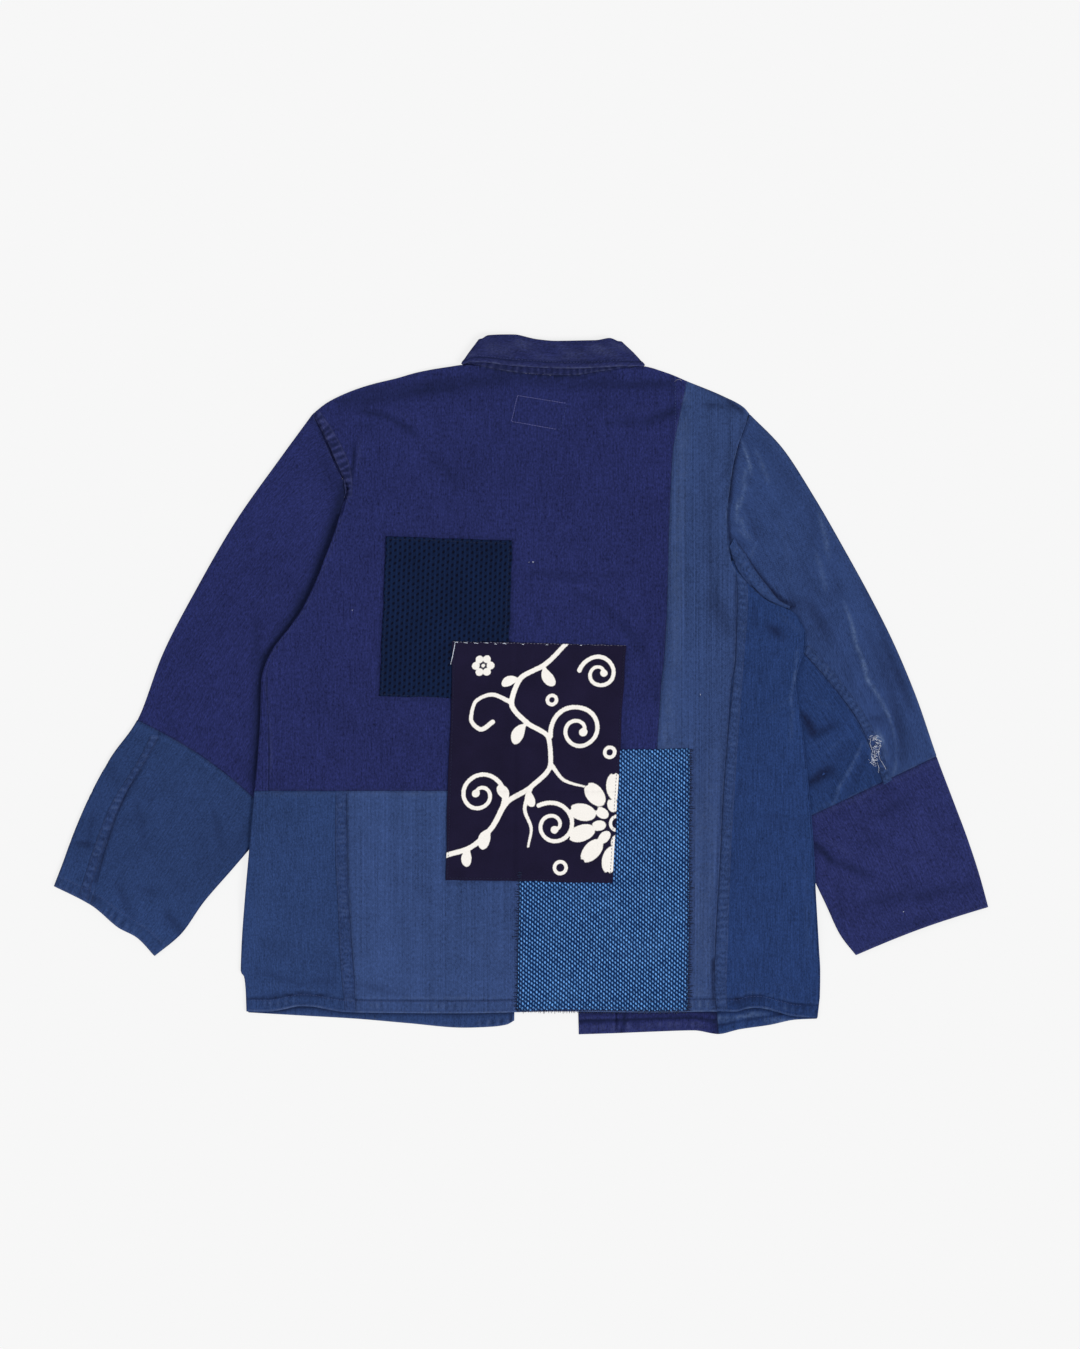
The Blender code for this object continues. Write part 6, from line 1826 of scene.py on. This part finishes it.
    # worn place on the right sleeve: broken weft threads, white where the dye is gone
    worn = []
    for k in range(95):
        t = rng.uniform(0, 1)
        u = 875.2 + rng.normal(0, 1.9) + 2.0 * math.sin(t * 5)
        v = 737 + 28 * t + rng.normal(0, 1.2)
        a = rng.uniform(-0.9, 0.9) + (0.4 if t > 0.5 else 0)
        ln = rng.uniform(1.2, 3.6) * (1.25 - 0.6 * t)
        dx, dy = math.cos(a) * ln / 2, math.sin(a) * ln / 2
        worn.append(on_top([px(u - dx, v - dy), px(u + dy * 0.2, v + dx * 0.2), px(u + dx, v + dy)],
                           rng.uniform(0.15, 0.55)))
    for pts in ([(871, 737), (870, 744), (872.5, 751), (871.5, 757), (875, 763)],
                [(879, 739), (880.5, 746), (878, 752), (880, 759)],
                [(873, 736.5), (877, 735.5), (881, 738)],
                [(879, 758), (882.5, 763), (886, 769.5)], [(877, 762), (879, 768), (878.5, 773)]):
        worn.append(on_top([px(u, v) for u, v in pts], 0.40))
    T["worn_threads"] = threads("worn_threads", worn, M["thread_white"], radius=0.20)
    # buttonholes of the hidden left front: worked round with thread on both faces
    holes = []
    for y in BUTTON_Y:
        x0 = float(line["front_l"](y)) - 13.0
        for side in (0, 1):
            for k in range(22):
                x = x0 - 11.0 + k * 1.0
                zt = left_front.z(x, y) if side == 0 else left_front.under(x, y)
                if zt is None:
                    continue
                z = zt + (0.12 if side == 0 else -0.12)
                if side == 1:
                    z = max(z, 0.25)
                for sg in (-1, 1):
                    holes.append([(x, y + sg * 0.25, z), (x, y + sg * 1.2, z), (x, y + sg * 2.1, z)])
            for x in (x0 - 11.8, x0 + 10.8):
                zt = left_front.z(x, y) if side == 0 else left_front.under(x, y)
                if zt is not None:
                    z = zt + 0.14 if side == 0 else max(zt - 0.14, 0.25)
                    holes.append([(x, y - 2.1, z), (x, y, z), (x, y + 2.1, z)])
    T["holes"] = threads("buttonhole_thread", holes, M["thread_violet"], radius=0.42)
    # lint and one loose end
    lint = [on_top([px(532.2, 561.5), px(533, 562.2), px(534, 562.0)], 0.35),
            on_top([px(528.6, 562.4), px(529.3, 562)], 0.2),
            on_top([px(700, 694), px(700.8, 695)], 0.2), on_top([px(352, 610), px(352.9, 610.4)], 0.2),
            on_top([px(903, 912), px(904, 911.4)], 0.2)]
    T["lint"] = threads("lint", lint, M["thread_white"], radius=0.45)
    T["loose"] = threads("loose_thread", [on_top([px(674.5, 381.5), px(677, 379.6), px(680, 379.2), px(682, 381)],
                                                 0.5)], M["thread_grey"], radius=0.28)
    return T


# --------------------------------------------------------------------- materials
class Nodes:
    """Short calls for building a material's node tree."""

    def __init__(self, name, rough=0.9, sheen=0.0, sheen_tint=None):
        self.m = bpy.data.materials.new(name)
        self.m.use_nodes = True
        self.t = self.m.node_tree
        self.b = self.t.nodes["Principled BSDF"]
        self.b.inputs["Roughness"].default_value = rough
        self.b.inputs["Specular IOR Level"].default_value = 0.08
        self.b.inputs["Sheen Weight"].default_value = sheen
        self.b.inputs["Sheen Roughness"].default_value = 0.5
        if sheen_tint:
            self.b.inputs["Sheen Tint"].default_value = (*sheen_tint, 1)

    def _in(self, node, key, v):
        s = node.inputs[key]
        if isinstance(v, bpy.types.NodeSocket):
            self.t.links.new(v, s)
        elif isinstance(v, (tuple, list)) and len(v) == 3 and s.type == "RGBA":
            s.default_value = (*v, 1)
        else:
            s.default_value = v

    def add(self, kind, **kw):
        n = self.t.nodes.new(kind)
        for k, v in kw.items():
            setattr(n, k, v)
        return n

    def coord(self, uv=False):
        if uv:
            n = self.add("ShaderNodeUVMap")
            n.uv_map = "cloth"
            return n.outputs["UV"]
        return self.add("ShaderNodeTexCoord").outputs["Object"]

    def mapping(self, v, scale=(1, 1, 1), rot=(0, 0, 0), loc=(0, 0, 0)):
        n = self.add("ShaderNodeMapping")
        self._in(n, "Vector", v)
        n.inputs["Scale"].default_value = scale
        n.inputs["Rotation"].default_value = rot
        n.inputs["Location"].default_value = loc
        return n.outputs["Vector"]

    def noise(self, v, scale, detail=3, rough=0.5, distort=0.0):
        n = self.add("ShaderNodeTexNoise")
        self._in(n, "Vector", v)
        for k, x in (("Scale", scale), ("Detail", detail), ("Roughness", rough), ("Distortion", distort)):
            n.inputs[k].default_value = x
        return n.outputs["Fac"]

    def wave(self, v, scale, axis="X", profile="SIN", distort=0.0, detail=0.0, dscale=1.0):
        n = self.add("ShaderNodeTexWave", wave_type="BANDS", bands_direction=axis, wave_profile=profile)
        self._in(n, "Vector", v)
        for k, x in (("Scale", scale), ("Distortion", distort), ("Detail", detail), ("Detail Scale", dscale)):
            n.inputs[k].default_value = x
        return n.outputs["Fac"]

    def voronoi(self, v, scale, feature="F1", rand=1.0):
        n = self.add("ShaderNodeTexVoronoi", feature=feature)
        self._in(n, "Vector", v)
        n.inputs["Scale"].default_value = scale
        n.inputs["Randomness"].default_value = rand
        return n.outputs["Distance"]

    def math(self, op, a, b=0.0, c=0.0, clamp=False):
        n = self.add("ShaderNodeMath", operation=op, use_clamp=clamp)
        for k, x in ((0, a), (1, b), (2, c)):
            if k < len(n.inputs):
                self._in(n, k, x)
        return n.outputs[0]

    def range(self, v, a, b, c=0.0, d=1.0, smooth=True):
        n = self.add("ShaderNodeMapRange")
        n.interpolation_type = "SMOOTHSTEP" if smooth else "LINEAR"
        self._in(n, "Value", v)
        for k, x in ((1, a), (2, b), (3, c), (4, d)):
            self._in(n, k, x)
        return n.outputs[0]

    def mix(self, f, a, b):
        n = self.add("ShaderNodeMix", data_type="RGBA", blend_type="MIX")
        self._in(n, 0, f)
        self._in(n, 6, a)
        self._in(n, 7, b)
        return n.outputs[2]

    def mult(self, a, b, f=1.0):
        n = self.add("ShaderNodeMix", data_type="RGBA", blend_type="MULTIPLY")
        self._in(n, 0, f)
        self._in(n, 6, a)
        self._in(n, 7, b)
        return n.outputs[2]

    def scale_by(self, colour, value):
        """Colour times a plain value."""
        n = self.add("ShaderNodeVectorMath", operation="SCALE")
        self._in(n, 0, colour)
        self._in(n, "Scale", value)
        return n.outputs[0]

    def attr(self, name):
        n = self.add("ShaderNodeAttribute", attribute_name=name)
        return n.outputs["Fac"]

    def sep(self, v):
        n = self.add("ShaderNodeSeparateXYZ")
        self._in(n, 0, v)
        return n.outputs

    def spots(self, v, px, py, rx, ry, slant=0.0, edge=(0.55, 1.25)):
        """1 on each ellipse of a staggered lattice (px, py), 0 between, in metres."""
        s = self.sep(v)
        y = s[1]
        best = None
        for ox, oy in ((0.0, 0.0), (px / 2, py / 2)):
            dv = self.math("WRAP", self.math("ADD", y, oy), py / 2, -py / 2)
            du = self.math("WRAP", self.math("ADD", s[0], ox), px / 2, -px / 2)
            du = self.math("MULTIPLY_ADD", dv, slant, du)
            a = self.math("POWER", self.math("DIVIDE", du, rx), 2.0)
            b = self.math("POWER", self.math("DIVIDE", dv, ry), 2.0)
            d = self.math("SQRT", self.math("ADD", a, b))
            g = self.range(d, edge[0], edge[1], 1.0, 0.0)
            best = g if best is None else self.math("MAXIMUM", best, g)
        return best

    def jitter(self, v, scale, amount):
        """The coordinates, moved a little by noise."""
        n = self.add("ShaderNodeTexNoise")
        self._in(n, "Vector", v)
        n.inputs["Scale"].default_value = scale
        n.inputs["Detail"].default_value = 2
        c = self.add("ShaderNodeVectorMath", operation="SUBTRACT")
        self._in(c, 0, n.outputs["Color"])
        c.inputs[1].default_value = (0.5, 0.5, 0.5)
        m = self.add("ShaderNodeVectorMath", operation="MULTIPLY_ADD")
        self._in(m, 0, c.outputs[0])
        m.inputs[1].default_value = (amount, amount, 0)
        self._in(m, 2, v)
        return m.outputs[0]

    def bump(self, height, dist, strength=1.0, normal=None):
        n = self.add("ShaderNodeBump")
        n.inputs["Distance"].default_value = dist
        n.inputs["Strength"].default_value = strength
        self._in(n, "Height", height)
        if normal is not None:
            self._in(n, "Normal", normal)
        return n.outputs["Normal"]

    def out(self, colour, normal=None):
        self._in(self.b, "Base Color", colour)
        if normal is not None:
            self._in(self.b, "Normal", normal)
        return self.m


def paint_wear_and_shade(N, c, light, band=False):
    """Lighter places, worn and painted as highlight, and darker ones painted as shade with a few stains, from the
    mesh's own values.
    """
    p = N.coord()
    w = N.math("MULTIPLY", N.attr("wear_and_highlight"), N.range(N.noise(p, 420.0, 3, 0.6), 0.35, 0.62, 0.30, 1.05))
    w = N.math("MULTIPLY", w, N.range(N.noise(p, 85.0, 2, 0.5), 0.34, 0.60, 0.45, 1.15))
    c = N.mix(N.math("MULTIPLY", w, 0.80, clamp=True), c, light)
    # painted shade: the darker places are mixed towards a deep navy
    d = N.math("MULTIPLY", N.attr("dark"), N.range(N.noise(p, 300.0, 3, 0.6), 0.30, 0.60, 0.75, 1.05))
    return N.mix(N.math("MULTIPLY", d, 0.85, clamp=True), c, (0.0045, 0.0075, 0.028))


def plain_cloth(name, colour, light, streak=0.25, sheen=0.03, worn=0.12, coarse=1.7, mottling=0.58):
    """Washed cotton twill: fine diagonal ribs, mottling and worn edges."""
    N = Nodes(name, rough=0.92, sheen=sheen, sheen_tint=tuple(min(1, c * 3 + 0.25) for c in colour))
    uv = N.coord(uv=True)
    p = N.coord()
    rib = N.wave(N.mapping(uv, rot=(0, 0, math.radians(32))), 520.0, "X", distort=1.2, detail=1, dscale=3)
    fine = N.noise(N.mapping(uv, scale=(1, 0.55, 1)), 900.0, 3, 0.6)
    mottle = N.noise(p, 75.0, 4, 0.65)
    cloud = N.noise(p, 9.0, 3, 0.5)
    slub = N.noise(N.mapping(uv, scale=(1, 0.06, 1)), 560.0, 3, 0.65)
    grain = N.noise(N.mapping(uv, scale=(1, 0.50, 1)), 560.0, 2, 0.6)
    f = N.math("MULTIPLY_ADD", N.math("SUBTRACT", fine, 0.5), 1.2, 1.0)
    f = N.math("MULTIPLY_ADD", N.math("SUBTRACT", grain, 0.5), coarse, f)
    f = N.math("MULTIPLY_ADD", N.math("SUBTRACT", mottle, 0.5), mottling, f)
    f = N.math("MULTIPLY_ADD", N.math("SUBTRACT", cloud, 0.5), 0.35, f)
    f = N.math("MULTIPLY_ADD", N.math("SUBTRACT", slub, 0.5), streak, f)
    f = N.math("MULTIPLY_ADD", N.math("SUBTRACT", rib, 0.5), 0.14, f)
    c = N.scale_by(colour, f)
    rim = N.attr("rim")
    edge = N.math("MULTIPLY", N.range(rim, 0.6, 2.6, 1.0, 0.0), N.range(N.noise(p, 160.0, 3, 0.6), 0.42, 0.62))
    c = N.mix(N.math("MULTIPLY", edge, worn), c, light)
    c = paint_wear_and_shade(N, c, light)
    h = N.math("MULTIPLY_ADD", fine, 0.6, N.math("MULTIPLY", rib, 0.4))
    n1 = N.bump(mottle, 0.0011, 0.35)
    n2 = N.bump(h, 0.00035, 0.6, n1)
    return N.out(c, n2)


def herringbone(name, colour, light, worn=0.12, streaky=1.1):
    """Blue herringbone: narrow zigzag columns, worn to light and dark streaks."""
    N = Nodes(name, rough=0.92, sheen=0.03, sheen_tint=(0.3, 0.38, 0.6))
    uv, p = N.coord(uv=True), N.coord()
    s = N.sep(uv)
    # zigzag: the twill's slope turns every 4 mm
    tri = N.math("PINGPONG", s[0], 0.0042)
    zig = N.math("SINE", N.math("MULTIPLY", N.math("MULTIPLY_ADD", tri, 1.15, s[1]), 2 * math.pi / 0.0019))
    streak = N.noise(N.mapping(uv, scale=(1, 0.006, 1)), 520.0, 4, 0.7)
    band = N.noise(N.mapping(uv, scale=(1, 0.03, 1)), 75.0, 2, 0.5)
    fine = N.noise(N.mapping(uv, scale=(1, 0.5, 1)), 950.0, 3, 0.6)
    mottle = N.noise(p, 50.0, 4, 0.62)
    cloud = N.noise(p, 9.0, 3, 0.5)
    f = N.math("MULTIPLY_ADD", N.math("SUBTRACT", streak, 0.5), streaky, 1.0)
    f = N.math("MULTIPLY_ADD", N.math("SUBTRACT", band, 0.5), 0.34, f)
    grain = N.noise(N.mapping(uv, scale=(1, 0.6, 1)), 450.0, 2, 0.6)
    f = N.math("MULTIPLY_ADD", N.math("SUBTRACT", fine, 0.5), 1.2, f)
    f = N.math("MULTIPLY_ADD", N.math("SUBTRACT", grain, 0.5), 1.1, f)
    f = N.math("MULTIPLY_ADD", N.math("SUBTRACT", mottle, 0.5), 0.45, f)
    f = N.math("MULTIPLY_ADD", N.math("SUBTRACT", cloud, 0.5), 0.35, f)
    f = N.math("MULTIPLY_ADD", zig, 0.10, f)
    c = N.scale_by(colour, f)
    rim = N.attr("rim")
    edge = N.math("MULTIPLY", N.range(rim, 0.6, 2.4, 1.0, 0.0), N.range(N.noise(p, 170.0, 3, 0.6), 0.42, 0.62))
    c = N.mix(N.math("MULTIPLY", edge, worn), c, light)
    c = paint_wear_and_shade(N, c, light)
    h = N.math("MULTIPLY_ADD", N.math("MULTIPLY_ADD", zig, 0.5, 0.5), 0.5, N.math("MULTIPLY", streak, 0.5))
    n1 = N.bump(mottle, 0.0011, 0.35)
    n2 = N.bump(h, 0.00035, 0.6, n1)
    return N.out(c, n2)


def knit_material():
    N = Nodes("knit_navy", rough=0.95, sheen=0.02, sheen_tint=(0.2, 0.3, 0.5))
    uv, p = N.coord(uv=True), N.coord()
    v = N.jitter(uv, 160.0, 0.0016)
    pit = N.spots(v, 0.0106, 0.0073, 0.00135, 0.0018, slant=-0.25, edge=(0.5, 1.35))
    rib = N.math("PINGPONG", N.math("ADD", N.sep(uv)[0], 0.00265), 0.00265)
    fine = N.noise(N.mapping(uv, scale=(1, 0.5, 1)), 800.0, 3, 0.6)
    cloud = N.noise(p, 30.0, 3, 0.6)
    f = N.math("MULTIPLY_ADD", N.math("SUBTRACT", fine, 0.5), 0.8, 1.05)
    f = N.math("MULTIPLY_ADD", N.math("SUBTRACT", cloud, 0.5), 0.7, f)
    f = N.math("MULTIPLY_ADD", N.range(rib, 0.0, 0.0016, 0.30, 0.0), 1.0, f)
    c = N.scale_by(KNIT_BASE, f)
    c = N.mix(N.math("MULTIPLY", pit, 0.92, clamp=True), c, (0.0016, 0.0018, 0.0085))
    n1 = N.bump(N.math("SUBTRACT", 1.0, pit), 0.0008, 0.7)
    return N.out(c, N.bump(fine, 0.0005, 0.5, n1))


def basket_material():
    N = Nodes("basket_indigo", rough=0.95, sheen=0.02, sheen_tint=(0.4, 0.5, 0.7))
    uv, p = N.coord(uv=True), N.coord()
    v = N.jitter(uv, 110.0, 0.0022)
    dot = N.spots(v, 0.0059, 0.0050, 0.00100, 0.00160, slant=0.22, edge=(0.35, 1.35))
    each = N.noise(N.mapping(uv, scale=(1, 0.6, 1)), 210.0, 1, 0.5)
    cloud = N.noise(p, 22.0, 4, 0.6)
    fine = N.noise(uv, 900.0, 2, 0.5)
    tone = N.math("MULTIPLY", dot, N.range(each, 0.28, 0.68, 0.50, 1.1, smooth=False))
    tone = N.math("MULTIPLY_ADD", N.math("SUBTRACT", cloud, 0.5), 0.12, tone)
    c = N.mix(N.range(tone, 0.0, 1.0, 0.0, 1.0, smooth=False), BASKET_DARK, BASKET_LIGHT)
    c = N.scale_by(c, N.math("MULTIPLY_ADD", N.math("SUBTRACT", fine, 0.5), 0.5, 1.0))
    n1 = N.bump(dot, 0.0007, 0.8)
    return N.out(c, N.bump(fine, 0.0004, 0.4, n1))


def print_material():
    N = Nodes("print_navy", rough=0.9, sheen=0.03, sheen_tint=(0.3, 0.3, 0.4))
    uv, p = N.coord(uv=True), N.coord()
    ink = N.attr("ink")
    fine = N.noise(uv, 850.0, 3, 0.6)
    cloud = N.noise(p, 24.0, 4, 0.6)
    f = N.math("MULTIPLY_ADD", N.math("SUBTRACT", fine, 0.5), 0.9, 1.0)
    f = N.math("MULTIPLY_ADD", N.math("SUBTRACT", cloud, 0.5), 0.8, f)
    dark = N.scale_by((0.0088, 0.0068, 0.0245), f)
    pale = N.scale_by((0.80, 0.77, 0.73), N.math("MULTIPLY_ADD", N.math("SUBTRACT", fine, 0.5), 0.25, 1.0))
    rough = N.math("MULTIPLY_ADD", N.math("SUBTRACT", N.noise(p, 520.0, 3, 0.6), 0.5), 1.1, ink)
    c = N.mix(N.range(rough, -0.45, 0.45, 1.0, 0.0), dark, pale)
    return N.out(c, N.bump(fine, 0.0004, 0.6))


def thread_material(name, colour, rough=0.7):
    N = Nodes(name, rough=rough, sheen=0.2, sheen_tint=(0.6, 0.6, 0.7))
    p = N.coord()
    f = N.math("MULTIPLY_ADD", N.math("SUBTRACT", N.noise(p, 700.0, 2, 0.6), 0.5), 0.8, 1.0)
    return N.out(N.scale_by(colour, f), N.bump(N.wave(N.mapping(p, rot=(0, 0, 0.6)), 900.0), 0.0002, 0.5))


def button_material():
    N = Nodes("button_navy", rough=0.42)
    p = N.coord()
    f = N.math("MULTIPLY_ADD", N.math("SUBTRACT", N.noise(p, 260.0, 3, 0.55), 0.5), 0.7, 1.0)
    return N.out(N.scale_by((0.012, 0.015, 0.040), f), N.bump(N.noise(p, 420.0, 3, 0.6), 0.0002, 0.4))


# ------------------------------------------------------------ light and camera
def floor_and_light():
    sc = bpy.context.scene
    sc.view_settings.view_transform = "Standard"
    sc.view_settings.look = "None"
    sc.view_settings.exposure = 0.0
    sc.view_settings.gamma = 1.0
    me = bpy.data.meshes.new("floor")
    s = 6.0
    me.from_pydata([(-s, -s, -0.0002), (s, -s, -0.0002), (s, s, -0.0002), (-s, s, -0.0002)], [], [(0, 1, 2, 3)])
    ob = bpy.data.objects.new("floor", me)
    bpy.context.collection.objects.link(ob)
    m = bpy.data.materials.new("floor_pale")
    m.use_nodes = True
    b = m.node_tree.nodes["Principled BSDF"]
    b.inputs["Base Color"].default_value = (FLOOR, FLOOR, FLOOR, 1)
    b.inputs["Emission Color"].default_value = (1, 1, 1, 1)
    b.inputs["Emission Strength"].default_value = FLOOR_GLOW
    b.inputs["Roughness"].default_value = 0.95
    b.inputs["Specular IOR Level"].default_value = 0.0
    me.materials.append(m)
    w = bpy.data.worlds.new("studio")
    w.use_nodes = True
    w.node_tree.nodes["Background"].inputs[0].default_value = (1, 1, 1, 1)
    w.node_tree.nodes["Background"].inputs[1].default_value = WORLD
    sc.world = w

    for name, heading, tilt, strength, soft in LIGHTS:
        l = bpy.data.lights.new(name, "SUN")
        l.energy = strength
        l.angle = math.radians(soft)
        o = bpy.data.objects.new(name, l)
        a, t = math.radians(heading), math.radians(tilt)
        d = Vector((math.cos(a) * math.sin(t), math.sin(a) * math.sin(t), math.cos(t)))
        o.location = d * 3
        o.rotation_euler = (-d).to_track_quat("-Z", "Y").to_euler()
        bpy.context.collection.objects.link(o)
    cam = bpy.data.cameras.new("camera")
    cam.sensor_fit = "VERTICAL"
    cam.sensor_height = 36.0
    cam.lens = 96.9
    cam.clip_end = 50
    o = bpy.data.objects.new("camera", cam)
    o.location = (0.02095, 0.0114, 4.0)
    o.rotation_euler = (0, 0, 0)
    bpy.context.collection.objects.link(o)
    sc.camera = o


# base colours of the patches, linear
KNIT_BASE = (0.0030, 0.0086, 0.0320)
BASKET_DARK = (0.0018, 0.0140, 0.0660)
BASKET_LIGHT = (0.1370, 0.3600, 0.7800)

WORLD = 0.56
FLOOR, FLOOR_GLOW = 0.13, 0.777
# name, heading of the light in plan, tilt from straight above, strength, softness
LIGHTS = [
    ("key", -28.0, 52.0, 2.35, 24.0),
    ("fill", 150.0, 48.0, 0.75, 40.0),
]


def main():
    floor_and_light()
    M = {
        "cotton_purple": plain_cloth("cotton_purple", (0.0147, 0.0196, 0.0890), (0.070, 0.085, 0.21), streak=1.2,
                                     coarse=1.9, mottling=0.42),
        "cuff_purple": plain_cloth("cuff_purple", (0.0176, 0.0233, 0.0975), (0.070, 0.085, 0.21), streak=1.2),
        "collar_purple": plain_cloth("collar_purple", (0.0147, 0.0188, 0.0765), (0.085, 0.100, 0.20),
                                     streak=1.0, worn=0.3),
        "twill_blue": plain_cloth("twill_blue", (0.0196, 0.0414, 0.1250), (0.09, 0.13, 0.26), streak=0.9,
                                  coarse=1.1, mottling=0.40),
        "twill_side": plain_cloth("twill_side", (0.0145, 0.0345, 0.1170), (0.10, 0.155, 0.30), streak=1.3,
                                  coarse=1.2, mottling=0.48),
        "herringbone_sleeve": herringbone("herringbone_sleeve", (0.0225, 0.0440, 0.1320), (0.14, 0.21, 0.37),
                                          streaky=0.6),
        "herringbone_blue": herringbone("herringbone_blue", (0.0295, 0.0555, 0.1550), (0.12, 0.17, 0.30),
                                        streaky=1.2),
        "herringbone_strip": herringbone("herringbone_strip", (0.0262, 0.0490, 0.1380), (0.12, 0.17, 0.30),
                                         streaky=1.8),
        "band_purple": plain_cloth("band_purple", (0.0165, 0.0215, 0.0910), (0.065, 0.075, 0.20)),
        "band_blue": plain_cloth("band_blue", (0.0200, 0.0400, 0.1220), (0.085, 0.125, 0.26)),
        "band_side": plain_cloth("band_side", (0.0225, 0.0450, 0.1330), (0.085, 0.125, 0.26)),
        "thread_pale": thread_material("thread_pale", (0.150, 0.155, 0.36)),
        "thread_blue": thread_material("thread_blue", (0.030, 0.050, 0.150)),
        "thread_violet": thread_material("thread_violet", (0.026, 0.034, 0.120)),
        "thread_navy": thread_material("thread_navy", (0.006, 0.011, 0.036)),
        "thread_basket": thread_material("thread_basket", (0.0045, 0.012, 0.044)),
        "thread_grey": thread_material("thread_grey", (0.22, 0.22, 0.30)),
        "thread_white": thread_material("thread_white", (0.62, 0.66, 0.78)),
        "knit_navy": knit_material(),
        "print_navy": print_material(),
        "basket_indigo": basket_material(),
        "button_navy": button_material(),
    }
    pieces = {}
    pieces.update(build_body(M))
    pieces.update(build_sleeves(M))
    pieces.update(build_collar(M))
    pieces.update(build_patches(M))
    trim = build_details(M, pieces)
    for ob in bpy.data.objects:
        if ob.name.startswith("button_") and ob.type == "MESH":
            for s in ob.material_slots:
                s.material = M["button_navy"]
    count = {o.name: sum(len(p.vertices) - 2 for p in o.data.polygons)
             for o in list(pieces.values()) + list(trim.values())}
    print("TRIANGLES", sum(count.values()), count)


main()
